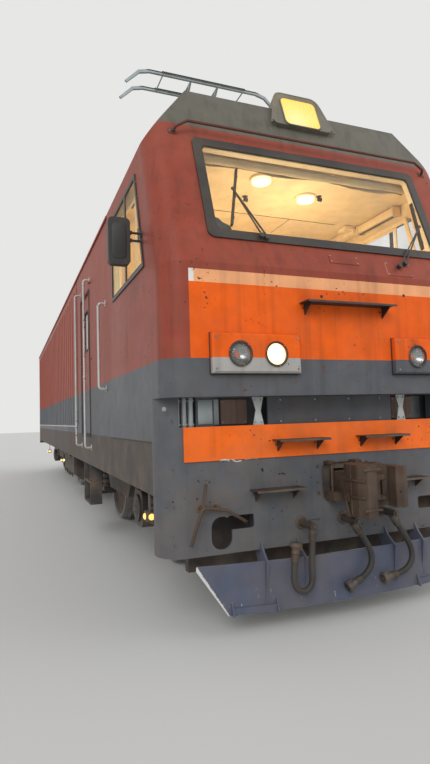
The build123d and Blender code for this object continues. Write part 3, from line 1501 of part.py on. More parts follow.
# Insulators under the pantograph
PAN_BASE_X = 560
PAN_BASE_Y = 560
INSULATOR_TOP = RAIL + 4760
INSULATOR_CORE = 48
INSULATOR_SHED = 82
INSULATOR_CAP = 24
INSULATOR_SHEDS = 4
shed_pitch = (INSULATOR_TOP - ROOF_TOP - 2 * INSULATOR_CAP) / INSULATOR_SHEDS
with BuildPart() as roof_insulators:
    for x in (-PAN_BASE_X, PAN_BASE_X):
        for y in (PAN_Y - PAN_BASE_Y, PAN_Y + PAN_BASE_Y):
            with BuildSketch(Plane.XZ.offset(-y)):
                with BuildLine():
                    outline = [(x, ROOF_TOP), (x + INSULATOR_SHED, ROOF_TOP)]
                    outline.append((x + INSULATOR_SHED, ROOF_TOP + INSULATOR_CAP))
                    for index in range(INSULATOR_SHEDS):
                        low = ROOF_TOP + INSULATOR_CAP + index * shed_pitch
                        outline.append((x + INSULATOR_CORE, low + 2))
                        outline.append((x + INSULATOR_SHED, low + shed_pitch * 0.45))
                        outline.append((x + INSULATOR_CORE, low + shed_pitch * 0.75))
                    outline.append((x + INSULATOR_CORE, INSULATOR_TOP))
                    outline.append((x, INSULATOR_TOP))
                    Polyline(*outline, close=True)
                make_face()
            revolve(axis=Axis((x, y, 0), (0, 0, 1)))
finish(roof_insulators, "roof_insulators")

BASE_BAR = 60
LIFT_SPRING_X = 330
LIFT_SPRING_RADIUS = 42
PAN_HEAD_PIVOT = PAN_STRIP_TOP - PAN_HEAD_RISE
PAN_ANGLE = math.degrees(math.asin((PAN_HEAD_PIVOT - PAN_PIVOT) / (2 * PAN_ARM)))
KNEE_Y = PAN_Y + PAN_ARM * math.cos(math.radians(PAN_ANGLE))
KNEE_Z = PAN_PIVOT + PAN_ARM * math.sin(math.radians(PAN_ANGLE))
ROD_X = 180
ROD_EYE_HALF = 15
ROD_EYE_RADIUS = 24
ROD_PIN = 12
CRANK_TURN = math.radians(186 - PAN_ANGLE)
CRANK = 110
ROD_START = (ROD_X, PAN_Y + 260, PAN_PIVOT - 25)
ROD_END = (ROD_X, KNEE_Y - CRANK * math.cos(CRANK_TURN), KNEE_Z - CRANK * math.sin(CRANK_TURN))
with BuildPart() as pantograph_base:
    with BuildSketch(Plane.XY.offset(INSULATOR_TOP)):
        with Locations((0, PAN_Y)):
            Rectangle(2 * PAN_BASE_X + 2 * BASE_BAR, 2 * PAN_BASE_Y + 2 * BASE_BAR)
            Rectangle(2 * PAN_BASE_X - BASE_BAR, 2 * PAN_BASE_Y - BASE_BAR, mode=Mode.SUBTRACT)
        with Locations((0, PAN_Y + 110)):
            Rectangle(2 * PAN_BASE_X, 380)
    extrude(amount=BASE_BAR)
    # Lifting springs on the base, between the cross bar and the rear bar
    for side in (-1, 1):
        with BuildSketch(Plane.XZ.offset(-PAN_Y - 200)):
            with Locations((side * LIFT_SPRING_X, INSULATOR_TOP + BASE_BAR + LIFT_SPRING_RADIUS - 6)):
                Circle(LIFT_SPRING_RADIUS)
        extrude(amount=-(PAN_BASE_Y - 230))
        with BuildSketch(Plane.XZ.offset(-PAN_Y - 190)):
            with Locations((side * LIFT_SPRING_X, INSULATOR_TOP + BASE_BAR + LIFT_SPRING_RADIUS - 6)):
                Circle(LIFT_SPRING_RADIUS / 2)
        extrude(amount=-(PAN_BASE_Y - 180))
    # Lug and pin of the thrust rod
    with BuildSketch(Plane.YZ.offset(ROD_X - ROD_EYE_HALF - 18)):
        with Locations((ROD_START[1], (INSULATOR_TOP + ROD_START[2]) / 2 + 30)):
            Rectangle(60, ROD_START[2] - INSULATOR_TOP)
        with Locations(ROD_START[1:]):
            Circle(30)
    extrude(amount=17.7)
    with BuildSketch(Plane.YZ.offset(ROD_X - ROD_EYE_HALF - 18)):
        with Locations(ROD_START[1:]):
            Circle(ROD_PIN)
    extrude(amount=2 * ROD_EYE_HALF + 26)
    for side in (-1, 1):
        with BuildSketch(Plane.YZ.offset(side * 130 - 12)):
            with Locations((PAN_Y, PAN_PIVOT - 20)):
                RectangleRounded(120, 150, 40)
            with Locations((PAN_Y, PAN_PIVOT)):
                Circle(25.3, mode=Mode.SUBTRACT)
        extrude(amount=24)
finish(pantograph_base, "pantograph_base")

ARM_RADIUS = 54
ARM_TIP_RADIUS = 44
ARM_PIVOT_RADIUS = 25
ARM_HUB = 70
LOWER_BEARING_HALF = 142
arm_taper = math.degrees(math.atan((ARM_RADIUS - ARM_TIP_RADIUS) / PAN_ARM))
with BuildPart() as pantograph_lower_arm:
    lower_dir = (0, math.cos(math.radians(PAN_ANGLE)), math.sin(math.radians(PAN_ANGLE)))
    with BuildSketch(Plane((0, PAN_Y, PAN_PIVOT), x_dir=(1, 0, 0), z_dir=lower_dir)):
        Circle(ARM_RADIUS)
    extrude(amount=PAN_ARM, taper=arm_taper)
    with BuildSketch(Plane.YZ.offset(-LOWER_BEARING_HALF)):
        with Locations((PAN_Y, PAN_PIVOT)):
            Circle(ARM_PIVOT_RADIUS)
    extrude(amount=2 * LOWER_BEARING_HALF)
    with BuildSketch(Plane.YZ.offset(-ARM_HUB - 40)):
        with Locations((PAN_Y, PAN_PIVOT)):
            Circle(ARM_HUB - 22)
    extrude(amount=2 * ARM_HUB + 80)
    with BuildSketch(Plane.YZ.offset(-ARM_HUB)):
        with Locations((KNEE_Y, KNEE_Z)):
            Circle(ARM_HUB - 10)
    extrude(amount=2 * ARM_HUB)
    with BuildSketch(Plane.YZ.offset(-ARM_HUB - 1)):
        with Locations((KNEE_Y, KNEE_Z)):
            Circle(ARM_PIVOT_RADIUS + 0.3)
    extrude(amount=2 * ARM_HUB + 2, mode=Mode.SUBTRACT)
finish(pantograph_lower_arm, "pantograph_lower_arm")

UPPER_X = 110
UPPER_TOP_X = 165
UPPER_RADIUS = 24
UPPER_TIP_RADIUS = 17
HEAD_PLATE_X = 200
# Shares of the upper arm's length where its rungs lie
RUNG_SHARES = (0.3, 0.62)
RUNG_RADIUS = 9
HEAD_PIN = 18
upper_run = math.hypot(PAN_ARM, UPPER_TOP_X - UPPER_X)
upper_taper = math.degrees(math.atan((UPPER_RADIUS - UPPER_TIP_RADIUS) / upper_run))
with BuildPart() as pantograph_upper_arm:
    for side in (-1, 1):
        upper_dir = (
            side * (UPPER_TOP_X - UPPER_X),
            -PAN_ARM * math.cos(math.radians(PAN_ANGLE)),
            PAN_ARM * math.sin(math.radians(PAN_ANGLE)),
        )
        with BuildSketch(Plane((side * UPPER_X, KNEE_Y, KNEE_Z), z_dir=upper_dir)):
            Circle(UPPER_RADIUS)
        extrude(amount=upper_run, taper=upper_taper)
    for share in RUNG_SHARES:
        rung_half = UPPER_X + share * (UPPER_TOP_X - UPPER_X)
        rung_y = KNEE_Y + share * (PAN_Y - KNEE_Y)
        rung_z = KNEE_Z + share * (PAN_HEAD_PIVOT - KNEE_Z)
        with BuildSketch(Plane.YZ.offset(-rung_half)):
            with Locations((rung_y, rung_z)):
                Circle(RUNG_RADIUS)
        extrude(amount=2 * rung_half)
    with BuildSketch(Plane.YZ.offset(-UPPER_X - 30)):
        with Locations((KNEE_Y, KNEE_Z)):
            Circle(ARM_PIVOT_RADIUS)
    extrude(amount=2 * UPPER_X + 60)
    for side in (-1, 1):
        with BuildSketch(Plane.YZ.offset(side * (ARM_HUB + 8))):
            with Locations((KNEE_Y, KNEE_Z)):
                Circle(ARM_PIVOT_RADIUS + 16)
        extrude(amount=side * (UPPER_X + 30 - ARM_HUB - 8))
    # Crank that the thrust rod turns
    with BuildSketch(Plane.YZ.offset(UPPER_X + 30)):
        with BuildLine():
            Line((KNEE_Y, KNEE_Z), ROD_END[1:])
        trace(line_width=50)
        with Locations((KNEE_Y, KNEE_Z)):
            Circle(40)
        with Locations(ROD_END[1:]):
            Circle(26)
    extrude(amount=16)
    with BuildSketch(Plane.YZ.offset(-HEAD_PLATE_X - 14)):
        with Locations((PAN_Y, PAN_HEAD_PIVOT)):
            Circle(HEAD_PIN)
    extrude(amount=2 * HEAD_PLATE_X + 28)
finish(pantograph_upper_arm, "pantograph_upper_arm")

ROD_RADIUS = 13
rod_dir = tuple(b - a for a, b in zip(ROD_START, ROD_END))
rod_length = math.dist(ROD_START, ROD_END)
with BuildPart() as pantograph_rod:
    with BuildSketch(Plane(ROD_START, x_dir=(1, 0, 0), z_dir=rod_dir)):
        Circle(ROD_RADIUS)
    extrude(amount=rod_length)
    with BuildSketch(Plane.YZ.offset(ROD_X - ROD_EYE_HALF)):
        with Locations(ROD_START[1:], ROD_END[1:]):
            Circle(ROD_EYE_RADIUS)
    extrude(amount=2 * ROD_EYE_HALF)
    with BuildSketch(Plane.YZ.offset(ROD_X - ROD_EYE_HALF)):
        with Locations(ROD_START[1:]):
            Circle(ROD_PIN + 0.3)
    extrude(amount=2 * ROD_EYE_HALF, mode=Mode.SUBTRACT)
finish(pantograph_rod, "pantograph_rod")

# Head: outline of a horn from the middle outwards, x and depth under the strips' top
HORN_TOP = ((800, 0), (950, 40), (PAN_HEAD_HALF, 220))
HORN_LOW = ((PAN_HEAD_HALF - 25, 240), (930, 75), (790, 40))
STRIP_Y = 190
BEAM_WIDTH = 34
STRIP_WIDTH = 60
STRIP_HALF = 620
STRIP_TALL = 22
with BuildPart() as pantograph_head:
    for y in (PAN_Y - STRIP_Y, PAN_Y + STRIP_Y):
        with BuildSketch(Plane.XZ.offset(-y - BEAM_WIDTH / 2)):
            with BuildLine():
                outline = [(x, PAN_STRIP_TOP - 4 - down) for x, down in HORN_TOP + HORN_LOW]
                mirrored = [(-x, z) for x, z in outline]
                Polyline(*outline, *reversed(mirrored), close=True)
            make_face()
        extrude(amount=BEAM_WIDTH)
        with BuildSketch(Plane.XY.offset(PAN_STRIP_TOP - STRIP_TALL)):
            with Locations((0, y)):
                Rectangle(2 * STRIP_HALF, STRIP_WIDTH)
        extrude(amount=STRIP_TALL)
    # Tie bars between the two beams
    for x in (-3 * HEAD_PLATE_X, 3 * HEAD_PLATE_X):
        with BuildSketch(Plane.XZ.offset(-PAN_Y - STRIP_Y)):
            with Locations((x, PAN_STRIP_TOP - 30)):
                Circle(9)
        extrude(amount=2 * STRIP_Y)
    for x in (-HEAD_PLATE_X, HEAD_PLATE_X):
        with BuildSketch(Plane.YZ.offset(x - 12)):
            with BuildLine():
                Polyline(
                    (PAN_Y - 45, PAN_HEAD_PIVOT - 45),
                    (PAN_Y - STRIP_Y - 10, PAN_STRIP_TOP - 40),
                    (PAN_Y + STRIP_Y + 10, PAN_STRIP_TOP - 40),
                    (PAN_Y + 45, PAN_HEAD_PIVOT - 45),
                    close=True,
                )
            make_face()
            with Locations((PAN_Y, PAN_HEAD_PIVOT)):
                Circle(HEAD_PIN + 0.3, mode=Mode.SUBTRACT)
            with Locations((PAN_Y, PAN_STRIP_TOP - 75)):
                Rectangle(170, 34, mode=Mode.SUBTRACT)
        extrude(amount=24)
finish(pantograph_head, "pantograph_head")


# Brake shoes of the outer side of each wheel, springs and dampers
SHOE_X = 802
SHOE_WIDTH = 76
SHOE_GAP = 7
SHOE_THICK = 60
SHOE_HALF_ANGLE = 20
BOX_SIDE = 400
BOX_NEAR = 930
BOX_FAR = 1220
COIL_RADIUS = 96
COIL_CORE = 74
COILS = 4
SIDE_COIL_RADIUS = 150
SIDE_COIL_CORE = 122
SIDE_COILS = 5
DAMPER_X = 1188
DAMPER_RADIUS = 27


def ribbed(x, y, low, high, radius, core, turns):
    """A coil spring as a turned solid with one ridge for each coil."""
    pitch = (high - low) / turns
    outline = [(x, low), (x + radius, low)]
    for index in range(turns):
        outline.append((x + radius, low + (index + 0.3) * pitch))
        outline.append((x + core, low + (index + 0.5) * pitch))
        outline.append((x + radius, low + (index + 0.7) * pitch))
    outline.append((x + radius, high))
    outline.append((x, high))
    with BuildPart() as coil:
        with BuildSketch(Plane.XZ.offset(-y)):
            with BuildLine():
                Polyline(*outline, close=True)
            make_face()
        revolve(axis=Axis((x, y, 0), (0, 0, 1)))
    return coil.part


def bogie_frame(centre):
    """Side beams, transoms, pivot socket and brake shoes of one bogie."""
    with BuildPart() as frame:
        for side in (-1, 1):
            with BuildSketch(Plane.YZ.offset(side * FRAME_X - FRAME_WIDTH / 2)):
                with BuildLine():
                    Polyline(
                        (centre - FRAME_REACH, FRAME_TOP),
                        (centre + FRAME_REACH, FRAME_TOP),
                        (centre + FRAME_REACH, FRAME_SHOULDER),
                        (centre + 880, FRAME_SHOULDER),
                        (centre + 640, FRAME_BELLY),
                        (centre - 640, FRAME_BELLY),
                        (centre - 880, FRAME_SHOULDER),
                        (centre - FRAME_REACH, FRAME_SHOULDER),
                        close=True,
                    )
                make_face()
                fillet(vertices().filter_by(lambda v: abs(v.Y - centre) < 1000), 90)
            extrude(amount=FRAME_WIDTH)
        with BuildSketch(Plane.XY.offset(FRAME_SHOULDER)):
            with Locations((0, centre - FRAME_REACH + 70), (0, centre + FRAME_REACH - 70)):
                Rectangle(2 * FRAME_X, 140)
        extrude(amount=FRAME_TOP - FRAME_SHOULDER)
        with BuildSketch(Plane.XY.offset(FRAME_BELLY + 40)):
            with Locations((0, centre)):
                Rectangle(2 * FRAME_X, 560)
                Circle(PIVOT_RADIUS + PIVOT_FIT, mode=Mode.SUBTRACT)
        extrude(amount=RAIL + 980 - FRAME_BELLY - 40)
        # Brake shoes hung from the end transoms
        inner = WHEEL_RADIUS + SHOE_GAP
        outer = inner + SHOE_THICK
        for end in (-1, 1):
            axle_y = centre + end * WHEELBASE / 2
            for side in (-1, 1):
                with BuildSketch(Plane.YZ.offset(side * SHOE_X - SHOE_WIDTH / 2)):
                    with Locations((axle_y, AXLE_HEIGHT)):
                        Circle(outer)
                        Circle(inner, mode=Mode.SUBTRACT)
                    wedge_z = outer * math.sin(math.radians(SHOE_HALF_ANGLE))
                    with Locations((axle_y + end * outer / 2, AXLE_HEIGHT)):
                        Rectangle(outer, 2 * wedge_z, mode=Mode.INTERSECT)
                extrude(amount=SHOE_WIDTH)
                with BuildSketch(Plane.YZ.offset(side * SHOE_X - 15)):
                    with BuildLine():
                        Polyline(
                            (axle_y + end * (outer - 12), AXLE_HEIGHT - 40),
                            (axle_y + end * (outer + 70), AXLE_HEIGHT - 40),
                            (centre + end * (FRAME_REACH - 20), FRAME_SHOULDER + 10),
                            (centre + end * (FRAME_REACH - 130), FRAME_SHOULDER + 10),
                            (axle_y + end * (outer - 12), AXLE_HEIGHT + 40),
                            close=True,
                        )
                    make_face()
                extrude(amount=30)
    return frame


def bogie_suspension(centre):
    """Axle boxes, coil springs, dampers and the body's side springs of one bogie."""
    with BuildPart() as gear:
        for side in (-1, 1):
            for y in (centre - WHEELBASE / 2, centre + WHEELBASE / 2):
                with BuildSketch(Plane.YZ.offset(side * BOX_NEAR)):
                    with Locations((y, AXLE_HEIGHT)):
                        RectangleRounded(BOX_SIDE, BOX_SIDE, 90)
                        Circle(JOURNAL_RADIUS + BOX_FIT, mode=Mode.SUBTRACT)
                extrude(amount=side * (BOX_FAR - BOX_NEAR))
                with BuildSketch(Plane.YZ.offset(side * BOX_FAR)):
                    with Locations((y, AXLE_HEIGHT)):
                        Circle(150)
                extrude(amount=side * 25)
                with BuildSketch(Plane.XY.offset(AXLE_HEIGHT - 110)):
                    with Locations((side * FRAME_X, y)):
                        Rectangle(200, 960)
                    with Locations((side * FRAME_X, y)):
                        Rectangle(301, 390, mode=Mode.SUBTRACT)
                extrude(amount=60)
                for offset_y in (-340, 340):
                    add(
                        ribbed(
                            side * FRAME_X,
                            y + offset_y,
                            AXLE_HEIGHT - 50,
                            FRAME_SHOULDER,
                            COIL_RADIUS,
                            COIL_CORE,
                            COILS,
                        )
                    )
                # Dampers stand on the axle box outside the frame
                with BuildSketch(Plane.XY.offset(AXLE_HEIGHT + BOX_SIDE / 2 - 40)):
                    with Locations((side * DAMPER_X, y - 90), (side * DAMPER_X, y + 90)):
                        Circle(DAMPER_RADIUS)
                extrude(amount=FRAME_TOP - 60 - AXLE_HEIGHT - BOX_SIDE / 2 + 40)
            for offset_y in (-420, 420):
                add(
                    ribbed(
                        side * FRAME_X,
                        centre + offset_y,
                        FRAME_TOP,
                        FLOOR_TOP - FLOOR_THICK - PAD_GAP,
                        SIDE_COIL_RADIUS,
                        SIDE_COIL_CORE,
                        SIDE_COILS,
                    )
                )
    return gear


def bogie_drives(centre):
    """Two traction motors with their gear cases."""
    with BuildPart() as drives:
        for end in (-1, 1):
            axle_y = centre + end * WHEELBASE / 2
            motor_y = centre + end * 800
            with BuildSketch(Plane.YZ.offset(-520)):
                with Locations((motor_y, AXLE_HEIGHT)):
                    RectangleRounded(620, 640, 160)
            extrude(amount=1000)
            with BuildSketch(Plane.YZ.offset(540)):
                with Locations((axle_y, AXLE_HEIGHT)):
                    Circle(410)
                with Locations((motor_y, AXLE_HEIGHT)):
                    Circle(250)
                with Locations(((axle_y + motor_y) / 2, AXLE_HEIGHT)):
                    Rectangle(700, 480)
                with Locations((axle_y, AXLE_HEIGHT)):
                    Circle(AXLE_RADIUS + 30, mode=Mode.SUBTRACT)
            extrude(amount=120)
            with BuildSketch(Plane.YZ.offset(480)):
                with Locations((motor_y, AXLE_HEIGHT)):
                    Circle(200)
            extrude(amount=60)
            # Nose that hangs the motor on the frame's middle beam
            with BuildSketch(Plane.YZ.offset(-200)):
                with Locations((centre + end * 390, AXLE_HEIGHT + 120)):
                    Rectangle(220, 120)
            extrude(amount=400)
    return drives


def wheelset(y):
    """Axle with its two flanged wheels, turned about the axle."""
    inner = TRACK_BACK / 2
    outer = inner + TREAD_WIDTH
    with BuildPart() as axle:
        with BuildSketch(Plane.XY.offset(AXLE_HEIGHT)):
            with BuildLine():
                Polyline(
                    (-JOURNAL_END, y),
                    (-JOURNAL_END, y + JOURNAL_RADIUS),
                    (-outer - 20, y + JOURNAL_RADIUS),
                    (-outer, y + 140),
                    (-outer + 40, y + 140),
                    (-outer + 60, y + 540),
                    (-outer, y + 560),
                    (-outer, y + WHEEL_RADIUS - 8),
                    (-inner - 34, y + WHEEL_RADIUS),
                    (-inner - 24, y + WHEEL_RADIUS + FLANGE_DROP - 4),
                    (-inner - 14, y + WHEEL_RADIUS + FLANGE_DROP),
                    (-inner, y + WHEEL_RADIUS + FLANGE_DROP - 12),
                    (-inner, y + 560),
                    (-inner - 40, y + 540),
                    (-inner - 50, y + 140),
                    (-inner, y + 140),
                    (-inner + 20, y + AXLE_RADIUS),
                    (inner - 20, y + AXLE_RADIUS),
                    (inner, y + 140),
                    (inner + 50, y + 140),
                    (inner + 40, y + 540),
                    (inner, y + 560),
                    (inner, y + WHEEL_RADIUS + FLANGE_DROP - 12),
                    (inner + 14, y + WHEEL_RADIUS + FLANGE_DROP),
                    (inner + 24, y + WHEEL_RADIUS + FLANGE_DROP - 4),
                    (inner + 34, y + WHEEL_RADIUS),
                    (outer, y + WHEEL_RADIUS - 8),
                    (outer, y + 560),
                    (outer - 60, y + 540),
                    (outer - 40, y + 140),
                    (outer, y + 140),
                    (outer + 20, y + JOURNAL_RADIUS),
                    (JOURNAL_END, y + JOURNAL_RADIUS),
                    (JOURNAL_END, y),
                    close=True,
                )
            make_face()
        revolve(axis=Axis((0, y, AXLE_HEIGHT), (1, 0, 0)))
    return axle


wheel_number = 0
for end, centre in BOGIES:
    finish(bogie_frame(centre), f"bogie_frame_{end}")
    finish(bogie_suspension(centre), f"bogie_suspension_{end}")
    finish(bogie_drives(centre), f"bogie_drives_{end}")
    for y in (centre - WHEELBASE / 2, centre + WHEELBASE / 2):
        wheel_number += 1
        finish(wheelset(y), f"wheelset_{wheel_number}")
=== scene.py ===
"""Looks of one section of an electric locomotive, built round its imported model."""

import json
import logging
import math
from dataclasses import dataclass, field
from enum import Enum
from typing import Any, Iterable, Sequence

import bmesh
import bpy
from mathutils import Matrix, Vector, noise
from mathutils.bvhtree import BVHTree

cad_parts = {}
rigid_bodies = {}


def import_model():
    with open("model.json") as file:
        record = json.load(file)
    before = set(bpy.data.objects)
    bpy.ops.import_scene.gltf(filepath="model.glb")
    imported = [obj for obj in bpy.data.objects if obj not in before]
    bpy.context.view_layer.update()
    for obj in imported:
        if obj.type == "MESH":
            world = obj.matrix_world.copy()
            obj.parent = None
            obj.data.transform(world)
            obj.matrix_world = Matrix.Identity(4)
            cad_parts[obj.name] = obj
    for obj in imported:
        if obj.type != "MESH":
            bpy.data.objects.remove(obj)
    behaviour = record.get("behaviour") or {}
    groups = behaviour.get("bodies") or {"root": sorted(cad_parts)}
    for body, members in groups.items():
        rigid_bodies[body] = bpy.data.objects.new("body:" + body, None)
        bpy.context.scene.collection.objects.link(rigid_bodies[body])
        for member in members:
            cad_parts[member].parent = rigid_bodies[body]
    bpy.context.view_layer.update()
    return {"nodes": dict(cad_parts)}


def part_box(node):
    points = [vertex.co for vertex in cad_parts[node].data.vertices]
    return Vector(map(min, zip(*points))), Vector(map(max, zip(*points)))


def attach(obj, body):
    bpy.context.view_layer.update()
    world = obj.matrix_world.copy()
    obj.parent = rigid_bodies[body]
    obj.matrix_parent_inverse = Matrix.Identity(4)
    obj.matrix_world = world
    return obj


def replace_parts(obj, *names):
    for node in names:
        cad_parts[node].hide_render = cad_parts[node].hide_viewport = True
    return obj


for stray in list(bpy.data.objects):
    bpy.data.objects.remove(stray)
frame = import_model()
log = logging.getLogger("locomotive")

Triple = tuple[float, float, float]
Span = tuple[float, float]
Outline = tuple[Span, ...]
Places = tuple[float, ...]
Slab = tuple[Triple, Triple, float, int]
WIDE: Span = (-100.0, 100.0)
AHEAD: Triple = (0, -1, 0)
BEHIND: Triple = (0, 1, 0)
DOWNWARDS: Triple = (0, 0, -1)
UPWARDS: Triple = (0, 0, 1)
SIDES = (-1, 1)


def tone(red: int, green: int, blue: int) -> Triple:
    """Linear colour of a screen colour whose parts go from 0 to 255."""
    parts = [part / 255 for part in (red, green, blue)]
    return tuple(p / 12.92 if p <= 0.04045 else ((p + 0.055) / 1.055) ** 2.4 for p in parts)


class Tone(Enum):
    """Every plain colour of the locomotive, as linear red, green and blue."""

    BODY_RED = tone(146, 66, 50)
    FADED_RED = tone(164, 88, 70)
    BODY_GREY = tone(90, 93, 99)
    # painted light: lower part of the left lamp box only, the side that the light washes pale
    LIT_BOX_GREY = tone(172, 170, 166)
    BAND_ORANGE = tone(238, 98, 16)
    PALE_ORANGE = tone(242, 172, 122)
    # lighter than BAND_ORANGE: painted light on the front plate's band, which lies in the shade of the
    # cab's overhang
    LOW_ORANGE_PAINTED_LIGHT = tone(250, 112, 30)
    FOIL_WHITE = tone(226, 224, 218)
    ROOF_GREY = tone(104, 102, 92)
    ROOF_DARK = tone(66, 66, 63)
    PLOW_GREY = tone(82, 89, 108)
    DUST = tone(126, 110, 92)
    SOOT = tone(38, 34, 31)
    RUST = tone(104, 62, 38)
    # paler than the rusty sheet's own colour: painted light lifting the sheet out of the recess's shade
    MAUVE_PAINTED_LIGHT = tone(156, 128, 116)
    PRIMER = tone(150, 142, 130)
    BARE_STEEL = tone(168, 166, 162)
    WORN_WHITE = tone(206, 204, 200)
    RIM_BLACK = tone(32, 29, 28)
    CREAM = tone(238, 214, 168)
    CREAM_SHADE = tone(206, 178, 132)
    WOOD = tone(186, 150, 100)
    WOOD_DARK = tone(138, 104, 66)
    DESK_GREY = tone(112, 112, 112)
    INSTRUMENT = tone(34, 35, 37)
    SEAT_BLUE = tone(52, 60, 82)
    SEAT_SHADE = tone(30, 34, 48)
    BLIND_BEIGE = tone(206, 184, 142)
    BLIND_SHADE = tone(158, 134, 96)
    GEAR_DARK = tone(62, 60, 59)
    GEAR_BLACK = tone(44, 43, 43)
    COUPLER_BROWN = tone(70, 52, 40)
    GREASE = tone(28, 24, 21)
    RUBBER = tone(38, 37, 37)
    RUBBER_DUST = tone(84, 78, 71)
    HOSE_METAL = tone(82, 78, 74)
    SILVER = tone(196, 196, 194)
    BAR_BROWN = tone(98, 58, 46)
    GALVANISED = tone(168, 178, 180)
    ZINC_WHITE = tone(204, 210, 206)
    GLAZE_BROWN = tone(112, 52, 34)
    PAN_RED = tone(158, 58, 44)
    CARBON = tone(46, 46, 48)
    COPPER = tone(176, 108, 70)
    LAMP_WHITE = tone(250, 244, 226)
    LAMP_WARM = tone(255, 226, 168)
    LAMP_AMBER = tone(255, 176, 70)
    SEARCH_AMBER = tone(250, 205, 92)
    REFLECTOR = tone(150, 152, 155)
    GLASS_TINT = tone(206, 220, 214)
    CABINET = tone(160, 164, 166)
    DOOR_GLASS = tone(36, 42, 44)


@dataclass(frozen=True)
class Region:
    """A box of the object's space that is painted in a colour of its own."""

    colour: Tone
    across: Span = WIDE
    off_centre: Span = WIDE
    along: Span = WIDE
    height: Span = WIDE
    wander: float = 0.0


class Blotch(Enum):
    """Every blotchy pattern: blotches a metre, detail, start and full levels, and stretch."""

    MOTTLED = (7.0, 4.0, 0.3, 0.7)
    RUN_DOWN = (1.0, 4.0, 0.52, 0.78, (13.0, 13.0, 0.55))
    DUST_COVER = (4.5, 6.0, 0.38, 0.68)
    CHIPPED = (2.3, 3.0, 0.48, 0.56)
    WANDERING = (9.0, 4.0, 0.3, 0.7)
    SPECKS = (60.0, 3.0, 0.62, 0.74)
    # broad blotches of painted shade, standing in for the folds of cloth
    FOLD_SHADE = (5.0, 5.0, 0.35, 0.72)
    WHEEL_RUST = (16.0, 6.0, 0.35, 0.65)
    SCREEN_FIELDS = (9.0, 1.0, 0.45, 0.6)
    SCREEN_SMEARS = (40.0, 2.0, 0.4, 0.7)
    SCRATCHES = (1.0, 3.0, 0.70, 0.73, (80.0, 80.0, 20.0))
    SCRATCH_FIELDS = (3.0, 2.0, 0.42, 0.55)
    RAGGED = (60.0, 4.0, 0.2, 0.8)


